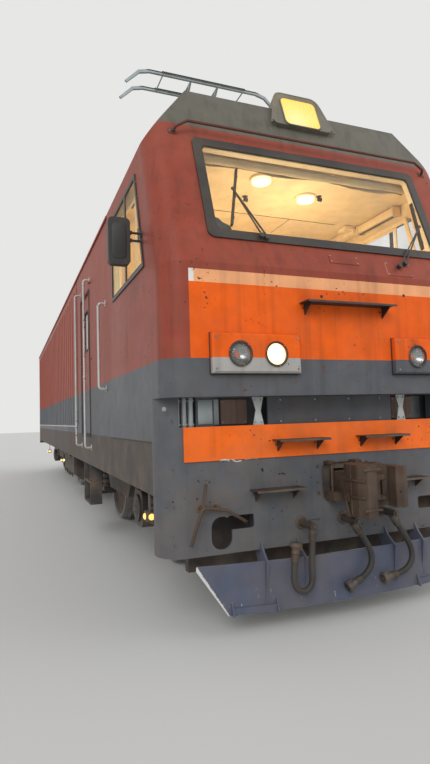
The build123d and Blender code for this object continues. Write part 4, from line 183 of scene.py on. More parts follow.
class Board:
    """The node tree of one material, with short calls for its nodes."""

    def __init__(self, name: str) -> None:
        """Starts a tree with a Principled shader and the object's coordinates."""
        self.material = bpy.data.materials.new(name)
        self.material.use_nodes = True
        self.tree = self.material.node_tree
        self.tree.nodes.clear()
        self.output = self.tree.nodes.new("ShaderNodeOutputMaterial")
        self.shader = self.tree.nodes.new("ShaderNodeBsdfPrincipled")
        self.tree.links.new(self.shader.outputs[0], self.output.inputs[0])
        self.place = self.tree.nodes.new("ShaderNodeTexCoord")
        self.here = self.place.outputs["Object"]
        self.normal: Any = None

    def node(self, kind: str, sockets: dict[Any, Any], **settings: Any) -> Any:
        """Adds a node.

        Args:
            kind: The node's type, without its ShaderNode prefix.
            sockets: Values or source sockets, by input name or number.
            settings: Attributes of the node itself.

        Returns:
            The new node.
        """
        made = self.tree.nodes.new("ShaderNode" + kind)
        for key, value in settings.items():
            setattr(made, key, value)
        for key, value in sockets.items():
            if isinstance(value, bpy.types.NodeSocket):
                self.tree.links.new(value, made.inputs[key])
            else:
                made.inputs[key].default_value = value
        return made

    def set(self, name: str, value: Any) -> None:
        """Gives the shader's own socket a value or a link."""
        if isinstance(value, bpy.types.NodeSocket):
            self.tree.links.new(value, self.shader.inputs[name])
        elif isinstance(value, tuple):
            self.shader.inputs[name].default_value = (*value, 1.0)
        else:
            self.shader.inputs[name].default_value = value

    def parts(self, source: Any = None) -> tuple[Any, Any, Any]:
        """The x, y and z of a vector, or of the point itself."""
        split = self.node("SeparateXYZ", {0: source or self.here})
        return split.outputs[0], split.outputs[1], split.outputs[2]

    def scaled(self, stretch: Triple) -> Any:
        """The point with each axis scaled."""
        return self.node("Mapping", {"Vector": self.here, "Scale": stretch}).outputs[0]

    def noise(self, scale: float, detail: float = 3.0, stretch: Triple = (1, 1, 1)) -> Any:
        """Cloudy noise from 0 to 1 with that many blotches a metre."""
        sockets = {"Vector": self.scaled(stretch), "Scale": scale, "Detail": detail}
        return self.node("TexNoise", sockets).outputs[0]

    def math(self, operation: str, *values: Any) -> Any:
        """A Math node on one, two or three values."""
        return self.node("Math", dict(enumerate(values)), operation=operation).outputs[0]

    def ramp(self, value: Any, low: float, high: float, start: float = 0, end: float = 1) -> Any:
        """A value that goes from start to end between low and high, and stays there."""
        sockets = {0: value, 1: low, 2: high, 3: start, 4: end}
        return self.node("MapRange", sockets, clamp=True).outputs[0]

    def blotches(self, kind: Blotch, start: float = 0, end: float = 1) -> Any:
        """A value that goes from start to end with a blotchy pattern."""
        scale, detail, low, high, *stretch = kind.value
        return self.ramp(self.noise(scale, detail, *stretch), low, high, start, end)

    def mix(self, factor: Any, first: Any, second: Any, blend: str = "MIX") -> Any:
        """Blends two colours.

        Args:
            factor: Share of the second colour.
            first: Colour or socket shown where the factor is 0.
            second: Colour or socket shown where the factor is 1.
            blend: How the two are put together.

        Returns:
            The colour socket.
        """
        pair = [(*c, 1.0) if isinstance(c, tuple) else c for c in (first, second)]
        sockets = {0: factor, 6: pair[0], 7: pair[1]}
        return self.node("Mix", sockets, data_type="RGBA", blend_type=blend).outputs[2]

    def between(self, value: Any, span: Span) -> Any:
        """1 where a value lies in a span, and 0 elsewhere."""
        above = self.math("GREATER_THAN", value, span[0])
        return self.math("MULTIPLY", above, self.math("LESS_THAN", value, span[1]))

    def inside(self, region: Region) -> Any:
        """1 in a region's box, and 0 elsewhere."""
        x, y, z = self.parts()
        if region.wander:
            drift = self.blotches(Blotch.WANDERING, -region.wander, region.wander)
            z = self.math("ADD", z, drift)
        aside = self.math("ABSOLUTE", x)
        pairs = ((x, region.across), (aside, region.off_centre), (y, region.along),
                 (z, region.height))
        found: Any = 1.0
        for value, span in pairs:
            if span != WIDE:
                found = self.math("MULTIPLY", found, self.between(value, span))
        return found

    def bump(self, height: Any, distance: float, strength: float = 1.0) -> None:
        """Raises the surface by a height map, on top of what is raised already."""
        sockets = {"Height": height, "Distance": distance, "Strength": strength}
        if self.normal is not None:
            sockets["Normal"] = self.normal
        self.normal = self.node("Bump", sockets).outputs[0]
        self.set("Normal", self.normal)


MADE: dict[str, bpy.types.Material] = {}


@dataclass(frozen=True)
class Finish:
    """What every finish has: a name and the record's slot that it belongs to."""

    name: str
    slot: str

    def lay(self, board: Board) -> None:
        """Wires the finish's nodes on a board."""
        raise NotImplementedError

    def material(self) -> bpy.types.Material:
        """The finish's material, made once and shared."""
        if self.name not in MADE:
            board = Board(self.name)
            self.lay(board)
            MADE[self.name] = board.material
        return MADE[self.name]


@dataclass(frozen=True)
class Coat(Finish):
    """Paint, plastic or plain metal with fading, streaks, dust, chips and grain."""

    colour: Tone
    regions: tuple[Region, ...] = ()
    metallic: float = 0.0
    rough: float = 0.45
    fade: Tone = Tone.DUST
    fading: float = 0.25
    streaks: float = 0.3
    streak: Tone = Tone.SOOT
    dust: float = 0.3
    dust_tone: Tone = Tone.DUST
    dust_low: float = 0.2
    dust_high: float = 2.6
    chips: float = 0.0
    chip: Tone = Tone.RUST
    chip_scale: float = 30.0
    ripple: float = 0.0
    grain: float = 0.0004
    grain_scale: float = 240.0
    coat: float = 0.0
    gloss: float = 0.5
    cloud: Span = (0.9, 5.0)
    fade_levels: Span = (0.42, 0.72)
    rough_levels: Span = (0.3, 0.7)
    chip_level: float = 0.70
    chip_edge: float = 0.015
    coat_rough: float = 0.18

    def lay(self, board: Board) -> None:
        """Wires the layers from the paint itself up to the dust on it."""
        _, _, z = board.parts()
        cloud = board.noise(*self.cloud)
        worn = board.ramp(cloud, *self.fade_levels, 0.0, self.fading)
        colour: Any = board.mix(worn, self.colour.value, self.fade.value)
        for region in self.regions:
            colour = board.mix(board.inside(region), colour, region.colour.value)
        mottle = board.blotches(Blotch.MOTTLED, 0.88, 1.06)
        shade = board.node("CombineColor", {0: mottle, 1: mottle, 2: mottle}).outputs[0]
        colour = board.mix(1.0, colour, shade, "MULTIPLY")
        if self.streaks:
            run = board.blotches(Blotch.RUN_DOWN, 0.0, self.streaks)
            colour = board.mix(run, colour, self.streak.value)
        low = board.ramp(z, self.dust_low, self.dust_high, 1.0, 0.25)
        cover = board.blotches(Blotch.DUST_COVER)
        dusty = board.math("MULTIPLY", board.math("MULTIPLY", low, cover), self.dust)
        colour = board.mix(dusty, colour, self.dust_tone.value)
        rough = board.math("MULTIPLY_ADD", dusty, 0.35, self.rough)
        rough = board.math("ADD", rough, board.ramp(cloud, *self.rough_levels, -0.05, 0.08))
        if self.chips:
            edge = self.chip_level - 0.10 * self.chips
            flake = board.ramp(board.noise(self.chip_scale, 6.0), edge, edge + self.chip_edge)
            flake = board.math("MULTIPLY", flake, board.blotches(Blotch.CHIPPED))
            colour = board.mix(flake, colour, self.chip.value)
            rough = board.math("MULTIPLY_ADD", flake, 0.2, rough)
            board.bump(flake, -0.0006, 0.6)
        board.set("Base Color", colour)
        board.set("Roughness", rough)
        board.set("Metallic", self.metallic)
        board.set("Specular IOR Level", self.gloss)
        if self.coat:
            board.set("Coat Weight", self.coat)
            board.set("Coat Roughness", self.coat_rough)
        if self.ripple:
            board.bump(board.noise(1.7, 2.0), self.ripple, 0.7)
        board.bump(board.noise(self.grain_scale, 2.0), self.grain, 0.5)


@dataclass(frozen=True)
class Pane(Finish):
    """Window or lamp glass: clear, with a film of dust."""

    tint: Tone = Tone.GLASS_TINT
    clear: float = 0.03
    film: float = 0.10
    rough: float = 0.04

    def lay(self, board: Board) -> None:
        """Wires the film of dust into the opacity and the roughness."""
        wiped = board.noise(2.2, 5.0, (1.0, 1.0, 0.6))
        film = board.ramp(wiped, 0.45, 0.75, self.clear, self.film)
        film = board.math("ADD", film, board.blotches(Blotch.SPECKS, 0.0, 0.10))
        colour = board.mix(board.ramp(wiped, 0.4, 0.8), self.tint.value, Tone.DUST.value)
        board.set("Base Color", colour)
        board.set("Alpha", film)
        board.set("Roughness", board.ramp(wiped, 0.4, 0.8, self.rough, self.rough + 0.12))
        board.set("Coat Weight", 0.6)
        board.set("Coat Roughness", 0.03)


@dataclass(frozen=True)
class Glow(Finish):
    """A lit lamp: its light fades from its middle to its rim."""

    light: Tone
    rim: Tone
    strength: float
    centre: Triple
    radius: float
    flutes: float = 0.0

    def lay(self, board: Board) -> None:
        """Wires the glow by the distance from the lamp's middle."""
        shifted = board.node("VectorMath", {0: board.here, 1: self.centre},
                             operation="SUBTRACT").outputs[0]
        away = board.node("VectorMath", {0: shifted}, operation="LENGTH").outputs["Value"]
        share = board.ramp(away, 0.15 * self.radius, self.radius)
        colour = board.mix(share, self.light.value, self.rim.value)
        if self.flutes:
            x = board.parts()[0]
            comb = board.math("SINE", board.math("MULTIPLY", x, self.flutes))
            colour = board.mix(board.ramp(comb, -1.0, 1.0, 0.0, 0.12), colour, self.rim.value)
            board.bump(comb, 0.0015, 0.6)
        board.set("Base Color", self.rim.value)
        board.set("Emission Color", colour)
        board.set("Emission Strength", self.strength)
        board.set("Roughness", 0.25)


@dataclass(frozen=True)
class Weave(Finish):
    """Woven cloth with threads both ways, soft folds of shade and a little sheen."""

    colour: Tone
    shade: Tone
    threads: float = 420.0
    on_map: bool = False
    soften: float = 0.0009

    def lay(self, board: Board) -> None:
        """Wires the two sets of threads and broad blotches of painted shade for the folds."""
        source = board.place.outputs["UV"] if self.on_map else board.here
        x, y, z = board.parts(source)
        turns = self.threads * math.tau / 6
        warp = board.math("SINE", board.math("MULTIPLY", x, turns))
        along = y if self.on_map else board.math("ADD", y, z)
        weft = board.math("SINE", board.math("MULTIPLY", along, turns))
        cloth = board.ramp(board.math("MULTIPLY", warp, weft), -1.0, 1.0)
        colour = board.mix(board.math("MULTIPLY", cloth, 0.35), self.colour.value, self.shade.value)
        # painted shade: broad blotches of the shade tone stand in for the folds of the cloth
        colour = board.mix(board.blotches(Blotch.FOLD_SHADE, 0.0, 0.55), colour, self.shade.value)
        board.set("Base Color", colour)
        board.set("Roughness", 0.85)
        board.set("Sheen Weight", 0.25)
        board.bump(cloth, self.soften, 0.7)
        board.bump(board.noise(30.0, 3.0), 0.002, 0.3)


@dataclass(frozen=True)
class WheelSteel(Finish):
    """Rolled wheel steel: bright tread, brown web and greasy hub."""

    bogie_middle: float = 4.2
    half_base: float = 1.5
    axle_height: float = 0.655
    tread: float = 0.606
    rim: float = 0.520
    hub: Span = (0.16, 0.30)
    rings: float = 900.0

    def lay(self, board: Board) -> None:
        """Wires the rings by the distance from the nearest axle."""
        _, y, z = board.parts()
        off_bogie = board.math("ABSOLUTE",
                               board.math("SUBTRACT", board.math("ABSOLUTE", y), self.bogie_middle))
        off_axle = board.math("SUBTRACT", off_bogie, self.half_base)
        up = board.math("SUBTRACT", z, self.axle_height)
        square = board.math("MULTIPLY_ADD", up, up, board.math("MULTIPLY", off_axle, off_axle))
        away = board.math("SQRT", square)
        colour = board.mix(board.blotches(Blotch.WHEEL_RUST), Tone.RUST.value, Tone.GEAR_DARK.value)
        ring = board.math("SINE", board.math("MULTIPLY", away, self.rings))
        colour = board.mix(board.ramp(ring, -1.0, 1.0, 0.0, 0.08), colour, Tone.BARE_STEEL.value)
        oily = board.ramp(away, *self.hub, 0.8, 0.0)
        colour = board.mix(oily, colour, Tone.GREASE.value)
        rim = board.between(away, (self.rim, self.tread))
        colour = board.mix(board.math("MULTIPLY", rim, 0.45), colour, Tone.BARE_STEEL.value)
        bright = board.ramp(away, self.tread, self.tread + 0.006)
        colour = board.mix(bright, colour, Tone.BARE_STEEL.value)
        board.set("Base Color", colour)
        board.set("Metallic", board.ramp(bright, 0.0, 1.0, 0.25, 1.0))
        board.set("Roughness", board.ramp(bright, 0.0, 1.0, 0.62, 0.22))
        board.bump(board.noise(120.0, 3.0), 0.0006, 0.5)


@dataclass(frozen=True)
class Screen(Finish):
    """A dark instrument screen under glass."""

    def lay(self, board: Board) -> None:
        """Wires a dark panel with a soft glow in broad fields."""
        fields = board.blotches(Blotch.SCREEN_FIELDS, 0.0, 0.5)
        board.set("Base Color", board.mix(fields, Tone.INSTRUMENT.value, Tone.DOOR_GLASS.value))
        board.set("Roughness", board.blotches(Blotch.SCREEN_SMEARS, 0.08, 0.2))
        board.set("Coat Weight", 1.0)


def baked(part: bmesh.types.BMesh, name: str) -> bpy.types.Mesh:
    """The mesh of a part under construction, which is freed."""
    mesh = bpy.data.meshes.new(name)
    part.to_mesh(mesh)
    part.free()
    return mesh


def stood(name: str, data: Any) -> bpy.types.Object:
    """A new object with that data, at the origin of the scene."""
    made = bpy.data.objects.new(name, data)
    bpy.context.scene.collection.objects.link(made)
    return made


def curve_through(name: str, kind: str, points: Sequence[Any], radius: float,
                  sides: int) -> bpy.types.Curve:
    """A round bar along a curve.

    Args:
        name: The curve's name.
        kind: Type of its spline.
        points: The spline's points.
        radius: The bar's radius.
        sides: Resolution of its round section.

    Returns:
        The curve, closed at both ends.
    """
    curve = bpy.data.curves.new(name, "CURVE")
    curve.dimensions = "3D"
    curve.bevel_depth = radius
    curve.bevel_resolution = sides
    curve.use_fill_caps = True
    line = curve.splines.new(kind)
    line.points.add(len(points) - 1)
    for point, place in zip(line.points, points):
        point.co = (*place, 1.0)
    return curve


def outlined(part: bmesh.types.BMesh, outline: Sequence[Span]) -> bmesh.types.BMFace:
    """A flat face of a part, with that outline at height 0."""
    return part.faces.new([part.verts.new((x, y, 0.0)) for x, y in outline])


def thickened(part: bmesh.types.BMesh, faces: list[Any], thick: float) -> None:
    """Makes a closed plate of a part's flat faces."""
    grown = bmesh.ops.extrude_face_region(part, geom=faces)
    top = [v for v in grown["geom"] if isinstance(v, bmesh.types.BMVert)]
    bmesh.ops.translate(part, vec=(0, 0, thick), verts=top)
    bmesh.ops.recalc_face_normals(part, faces=part.faces)


class Bolt(Enum):
    """Radius and height of every kind of hexagon head."""

    LAMP_SCREW = (0.0035, 0.003)
    SCREW = (0.004, 0.003)
    FLANGE_BOLT = (0.0045, 0.004)
    CLIP_BOLT = (0.005, 0.004)
    FOOT_BOLT = (0.006, 0.005)
    BOX_BOLT = (0.007, 0.005)
    BRACKET_BOLT = (0.007, 0.006)
    BEARING_BOLT = (0.008, 0.007)
    PLOW_BOLT = (0.009, 0.007)
    FRAME_BOLT = (0.010, 0.008)
    CASTING_BOLT = (0.010, 0.009)
    RIVET = (0.012, 0.006)
    HOOD_BOLT = (0.012, 0.010)
    WHEEL_BOLT = (0.016, 0.014)


class Shape:
    """A mesh that grows from bmesh operators, in metres, in the object's frame."""

    def __init__(self) -> None:
        """Starts with nothing."""
        self.mesh = bmesh.new()

    def copies(self, part: bmesh.types.BMesh, places: Iterable[Matrix], slot: int = 0) -> None:
        """Adds one part at each of many places, and frees it.

        Args:
            part: The part, closed or open, in its own place.
            places: The frames that its copies are set in.
            slot: Number of the piece's finish that they take.
        """
        for face in part.faces:
            face.material_index = slot
        scratch = baked(part, "scratch")
        for place in places:
            copy = scratch.copy()
            copy.transform(place)
            if place.determinant() < 0:
                copy.flip_normals()
            self.mesh.from_mesh(copy)
            bpy.data.meshes.remove(copy)
        bpy.data.meshes.remove(scratch)

    def take(self, part: bmesh.types.BMesh, on: Matrix = Matrix(), slot: int = 0) -> None:
        """Adds one part in a frame, and frees it."""
        self.copies(part, [on], slot)

    def block(self, size: Triple, centre: Triple, on: Matrix = Matrix(), edge: float = 0.0,
              slot: int = 0) -> None:
        """Adds a box with softened edges.

        Args:
            size: The box's three sides.
            centre: Its middle.
            on: The frame that both are given in.
            edge: Width of the bevel, or 0.
            slot: Number of the finish.
        """
        part = bmesh.new()
        bmesh.ops.create_cube(part, size=1.0)
        bmesh.ops.scale(part, vec=Vector(size), verts=part.verts)
        if edge:
            soften(part, list(part.edges), edge)
        bmesh.ops.translate(part, vec=Vector(centre), verts=part.verts)
        self.take(part, on, slot)

    def slabs(self, table: Iterable[Slab], side: int = 1) -> None:
        """Adds boxes from a table, set on that side of the locomotive."""
        for size, (x, y, z), edge, slot in table:
            self.block(size, (side * x, y, z), edge=edge, slot=slot)

    def rod(self, start: Triple, end: Triple, radius: float, sides: int = 14,
            tip: float | None = None,
            on: Matrix = Matrix(), slot: int = 0, edge: float = 0.0) -> None:
        """Adds a round bar or cone between two points.

        Args:
            start: Middle of its first end.
            end: Middle of its other end.
            radius: Radius at the first end.
            sides: Number of flats.
            tip: Radius at the other end, where it differs.
            on: The frame that the points are given in.
            slot: Number of the finish.
            edge: Bevel at both ends, or 0.
        """
        part = bmesh.new()
        run = Vector(end) - Vector(start)
        bmesh.ops.create_cone(
            part, cap_ends=True, segments=sides, radius1=radius,
            radius2=radius if tip is None else tip, depth=run.length,
        )
        if edge:
            rims = [e for e in part.edges if any(len(f.verts) > 4 for f in e.link_faces)]
            soften(part, rims, edge)
        turn = run.to_track_quat("Z", "Y").to_matrix().to_4x4()
        middle = Matrix.Translation((Vector(start) + Vector(end)) / 2)
        self.take(part, on @ middle @ turn, slot)

    def plate(self, outline: Sequence[Span], thick: float, on: Matrix, edge: float = 0.0,
              slot: int = 0) -> None:
        """Adds a flat plate of any outline.

        Args:
            outline: Points of the outline in the frame's x and y.
            thick: Thickness along the frame's z.
            on: The frame.
            edge: Bevel of the outer rim, or 0.
            slot: Number of the finish.
        """
        part = bmesh.new()
        thickened(part, [outlined(part, outline)], thick)
        if edge:
            rims = [e for e in part.edges if all(v.co.z > thick * 0.9 for v in e.verts)]
            soften(part, rims, edge)
        self.take(part, on, slot)

    def border(self, outline: Sequence[Span], width: float, thick: float, on: Matrix,
               edge: float = 0.0, slot: int = 0) -> None:
        """Adds a flat frame inside an outline.

        Args:
            outline: Points of its outer edge in the frame's x and y.
            width: Width of the frame, inwards.
            thick: Thickness along the frame's z.
            on: The frame that it lies on.
            edge: Bevel of the upper edges, or 0.
            slot: Number of the finish.
        """
        part = bmesh.new()
        face = outlined(part, outline)
        face.normal_update()
        bmesh.ops.inset_region(part, faces=[face], thickness=width, use_even_offset=True,
                               use_boundary=True)
        bmesh.ops.delete(part, geom=[face], context="FACES_ONLY")
        thickened(part, list(part.faces), thick)
        if edge:
            rims = [e for e in part.edges if all(v.co.z > thick * 0.9 for v in e.verts)
                    and e.calc_face_angle(0.0) > 0.8]
            soften(part, rims, edge)
        self.take(part, on, slot)

    def lathe(self, profile: Sequence[Span], on: Matrix, steps: int = 24, slot: int = 0) -> None:
        """Adds a turned part.

        Args:
            profile: Closed outline as pairs of radius and height, none of radius below 0.
            on: The frame whose z is the axis.
            steps: Number of steps round it.
            slot: Number of the finish.
        """
        part = bmesh.new()
        ring = [part.verts.new((max(radius, 0.0), 0.0, height)) for radius, height in profile]
        edges = [part.edges.new(pair) for pair in zip(ring, ring[1:] + ring[:1])]
        bmesh.ops.spin(
            part, geom=ring + edges, cent=(0, 0, 0), axis=UPWARDS, angle=math.tau,
            steps=steps, use_merge=True,
        )
        bmesh.ops.remove_doubles(part, verts=part.verts, dist=1e-6)
        bmesh.ops.dissolve_degenerate(part, dist=1e-6, edges=part.edges)
        bmesh.ops.recalc_face_normals(part, faces=part.faces)
        self.take(part, on, slot)

    def bolts(self, places: Iterable[Matrix], kind: Bolt, slot: int = 0) -> None:
        """Adds hexagon heads on washers.

        Args:
            places: The frames that they stand on, along z.
            kind: Their size.
            slot: Number of the finish.
        """
        radius, tall = kind.value
        part = bmesh.new()
        washer = Matrix.Translation((0, 0, tall * 0.15))
        bmesh.ops.create_cone(
            part, cap_ends=True, segments=12, radius1=radius * 1.45, radius2=radius * 1.4,
            depth=tall * 0.3, matrix=washer,
        )
        head = bmesh.ops.create_cone(
            part, cap_ends=True, segments=6, radius1=radius, radius2=radius * 0.94, depth=tall,
            matrix=Matrix.Translation((0, 0, tall * 0.5 + tall * 0.28)),
        )
        bmesh.ops.rotate(part, cent=(0, 0, 0), matrix=Matrix.Rotation(0.3, 3, "Z"),
                         verts=head["verts"])
        self.copies(part, places, slot)

    def pipe(self, points: Sequence[Triple], radius: float, slot: int = 0, bend: float = 0.05,
             sides: int = 3) -> None:
        """Adds a rigid pipe along a bent line.

        Args:
            points: Corners of the line.
            radius: The pipe's radius.
            slot: Number of the finish.
            bend: How far from a corner its bend starts.
            sides: Resolution of the round section.
        """
        path: list[Vector] = [Vector(points[0])]
        for before, corner, after in zip(points, points[1:], points[2:]):
            here, back, ahead = Vector(corner), Vector(before), Vector(after)
            reach = min(bend, (back - here).length * 0.45, (ahead - here).length * 0.45)
            first = here + (back - here).normalized() * reach
            last = here + (ahead - here).normalized() * reach
            path += [first, first.lerp(here, 0.62).lerp(here.lerp(last, 0.38), 0.5), last]
        path.append(Vector(points[-1]))
        curve = curve_through("scratch", "POLY", path, radius, sides)
        holder = bpy.data.objects.new("scratch", curve)
        mesh = bpy.data.meshes.new_from_object(holder)
        part = bmesh.new()
        part.from_mesh(mesh)
        bmesh.ops.recalc_face_normals(part, faces=part.faces)
        bpy.data.objects.remove(holder)
        bpy.data.curves.remove(curve)
        bpy.data.meshes.remove(mesh)
        self.take(part, Matrix(), slot)

    def done(self, name: str, body: str, *finishes: Finish,
             sharp: float = 35.0) -> bpy.types.Object:
        """Makes the piece, dresses it and lets it ride on its body.

        Args:
            name: The piece's name.
            body: The body that it moves with.
            finishes: Its finishes, in the order of their numbers.
            sharp: Angle in degrees from which an edge stays sharp.

        Returns:
            The piece.
        """
        for face in self.mesh.faces:
            face.smooth = True
        for edge in self.mesh.edges:
            if edge.is_manifold and edge.calc_face_angle() > math.radians(sharp):
                edge.smooth = False
        return dress(stood(name, baked(self.mesh, name)), body, *finishes)


def soften(part: bmesh.types.BMesh, edges: list[Any], width: float, segments: int = 2) -> None:
    """Bevels some edges of a part under construction."""
    bmesh.ops.bevel(
        part, geom=edges, offset=width, offset_type="OFFSET", segments=segments,
        profile=0.5, affect="EDGES", material=-1, clamp_overlap=True,
    )


def dress(piece: bpy.types.Object, body: str, *finishes: Finish) -> bpy.types.Object:
    """Gives a piece its finishes and its body.

    Args:
        piece: The piece, in place.
        body: The body that it moves with.
        finishes: Its finishes, in the order of their numbers.

    Returns:
        The piece.
    """
    for finish in finishes:
        piece.data.materials.append(finish.material())
    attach(piece, body)
    log.info("made %s on %s", piece.name, body)
    return piece


def seat(origin: Triple, normal: Triple, up: Triple = UPWARDS) -> Matrix:
    """A frame on a surface.

    Args:
        origin: The frame's origin.
        normal: Direction of its z, away from the surface.
        up: Direction that its y comes nearest to.

    Returns:
        The frame as a matrix.
    """
    z = Vector(normal).normalized()
    side = Vector(up).cross(z)
    x = side.normalized() if side.length > 1e-6 else Vector((1, 0, 0))
    y = z.cross(x)
    turn = Matrix((x, y, z)).transposed().to_4x4()
    return Matrix.Translation(Vector(origin)) @ turn


def row(start: float, end: float, count: int) -> list[float]:
    """Evenly spaced numbers from start to end, both among them."""
    return [start + (end - start) * index / (count - 1) for index in range(count)]


def rounded(width: float, height: float, radius: float, steps: int = 3,
            middle: Span = (0, 0)) -> list[Span]:
    """Outline of a rectangle with rounded corners.

    Args:
        width: The rectangle's width.
        height: Its height.
        radius: Radius of its corners.
        steps: Number of steps round each corner.
        middle: The rectangle's middle.

    Returns:
        The outline's points, anticlockwise.
    """
    points = []
    for x, y, start in ((1, 1, 0), (-1, 1, 90), (-1, -1, 180), (1, -1, 270)):
        corner = middle[0] + x * (width / 2 - radius), middle[1] + y * (height / 2 - radius)
        for step in range(steps + 1):
            turn = math.radians(start + 90 * step / steps)
            points.append((corner[0] + radius * math.cos(turn),
                           corner[1] + radius * math.sin(turn)))
    return points


def upright(x: float, lead: float) -> Matrix:
    """A frame on an upright plane along the locomotive.

    Args:
        x: Place of the plane across.
        lead: 1 or -1, the way of x that the frame's z points.

    Returns:
        The frame, whose x is the locomotive's y and whose y is its height.
    """
    return Matrix(((0, 0, lead, x), (1, 0, 0, 0), (0, 1, 0, 0), (0, 0, 0, 1)))


def outward(side: int, out: float, y: float, z: float) -> Matrix:
    """A frame on one side, its z outwards and its y up."""
    return seat((side * out, y, z), (side, 0, 0))


def facing_back(y: float) -> Matrix:
    """A frame at that place along the locomotive, its z to the rear and its y up."""
    return Matrix(((1, 0, 0, 0), (0, 0, 1, y), (0, 1, 0, 0), (0, 0, 0, 1)))


def midpoints(outline: Sequence[Span], pitch: float) -> list[Span]:
    """Points along a closed outline, about that far apart."""
    points = []
    for (x, y), (u, v) in zip(outline, [*outline[1:], outline[0]]):
        count = max(1, round(math.hypot(u - x, v - y) / pitch))
        points += [(x + (u - x) * (k + 0.5) / count, y + (v - y) * (k + 0.5) / count)
                   for k in range(count)]
    return points


def around(on: Matrix, degrees: Iterable[float], radius: float, up: float = 0.0) -> list[Matrix]:
    """Frames on a circle.

    Args:
        on: The frame whose z is the circle's axis.
        degrees: Their places round it.
        radius: The circle's radius.
        up: Their height over the frame.

    Returns:
        The frames, each turned with its place.
    """
    arm = Matrix.Translation((radius, 0, up))
    return [on @ Matrix.Rotation(math.radians(turn), 4, "Z") @ arm for turn in degrees]


def pattern(on: Matrix, xs: Iterable[float], ys: Sequence[float] = (0.0,),
            up: float = 0.0) -> list[Matrix]:
    """Frames at every pair of an x and a y.

    Args:
        on: The frame that they stand on.
        xs: Their places along its x.
        ys: Their places along its y.
        up: Their height over it.

    Returns:
        The frames.
    """
    return [on @ Matrix.Translation((x, y, up)) for x in xs for y in ys]


def on_node(node: str, place: Triple, up: Triple = UPWARDS) -> Matrix:
    """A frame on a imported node's surface.

    Args:
        node: The node's name.
        place: The frame stands at the surface's nearest point to this.
        up: Direction that its y comes nearest to.

    Returns:
        The frame, its z away from the surface.
    """
    _, spot, normal, _ = frame["nodes"][node].closest_point_on_mesh(Vector(place))
    return seat(tuple(spot), tuple(normal), up)


CEILING_LAMPS: Outline = ((-0.31, -7.25), (0.33, -7.0))
GREY_TOP = 2.085
ROOF_EDGE = 4.128
FRONT_ROOF_EDGE = 3.968
FOIL_LOW = 2.655
BAND_TOP = 2.752
BAND_HALF: Span = (-1.0, 1.352)
NOSE: Span = (-9.0, -7.9)
PLATE_FACE: Span = (-9.0, -7.87)
STRIP_TOP = 1.3155
LIVERY = (
    Region(Tone.BODY_GREY, height=(-1.0, GREY_TOP), wander=0.002),
    Region(Tone.ROOF_GREY, height=(ROOF_EDGE, 9.0), wander=0.002),
    Region(Tone.ROOF_GREY, along=(-7.36, 9.0), height=(FRONT_ROOF_EDGE, 9.0)),
    Region(Tone.BAND_ORANGE, off_centre=BAND_HALF, along=NOSE, height=(GREY_TOP, BAND_TOP)),
    Region(Tone.PALE_ORANGE, off_centre=BAND_HALF, along=NOSE, height=(FOIL_LOW, BAND_TOP)),
    Region(Tone.FOIL_WHITE, across=(-1.352, -1.312), along=NOSE, height=(FOIL_LOW, BAND_TOP)),
    # painted light: the left lamp box's lower part is painted pale grey where the right box stays dark
    # grey
    Region(Tone.LIT_BOX_GREY, across=(-1.21, -0.45), along=(-8.2, -8.052), height=(1.965, GREY_TOP)),
)
PLATE_MARKS = (
    # the plate's band gets a lighter orange: painted light against the shade of the cab's overhang
    Region(Tone.LOW_ORANGE_PAINTED_LIGHT, off_centre=(-1.0, 1.3705), along=(-9.0, -7.879),
           height=(STRIP_TOP, 1.578)),
    Region(Tone.WORN_WHITE, across=(-1.08, -1.00), along=PLATE_FACE, height=(1.300, STRIP_TOP),
           wander=0.012),
    Region(Tone.WORN_WHITE, across=(-0.985, -0.90), along=PLATE_FACE, height=(1.306, STRIP_TOP),
           wander=0.014),
    Region(Tone.WORN_WHITE, across=(-0.87, -0.76), along=PLATE_FACE, height=(1.312, STRIP_TOP),
           wander=0.012),
)


@dataclass(frozen=True)
class ScrapedPaint(Coat):
    """Paint of the plow: upright scratches low down and edges worn bright."""

    foot: float = 0.16
    foot_half: float = 1.06
    flare: float = 0.622
    scratched: Span = (0.20, 0.42)

    def lay(self, board: Board) -> None:
        """Wires the scratches and the worn slanting edges over the paint."""
        super().lay(board)
        painted = board.shader.inputs["Base Color"].links[0].from_socket
        x, y, z = board.parts()
        low = board.ramp(z, *self.scratched, 1.0, 0.0)
        dash = board.math("MULTIPLY", board.blotches(Blotch.SCRATCHES), low)
        dash = board.math("MULTIPLY", dash, board.blotches(Blotch.SCRATCH_FIELDS))
        edge_x = board.math("MULTIPLY_ADD", board.math("SUBTRACT", z, self.foot), self.flare,
                            self.foot_half)
        inset = board.math("SUBTRACT", edge_x, board.math("ABSOLUTE", x))
        ragged = board.math("ADD", inset, board.blotches(Blotch.RAGGED, -0.006, 0.006))
        worn = board.math("MULTIPLY", board.ramp(ragged, 0.006, 0.012, 1.0, 0.0),
                          board.ramp(y, -7.4, -7.45))
        bright = board.math("MAXIMUM", dash, worn)
        board.set("Base Color", board.mix(bright, painted, Tone.WORN_WHITE.value))


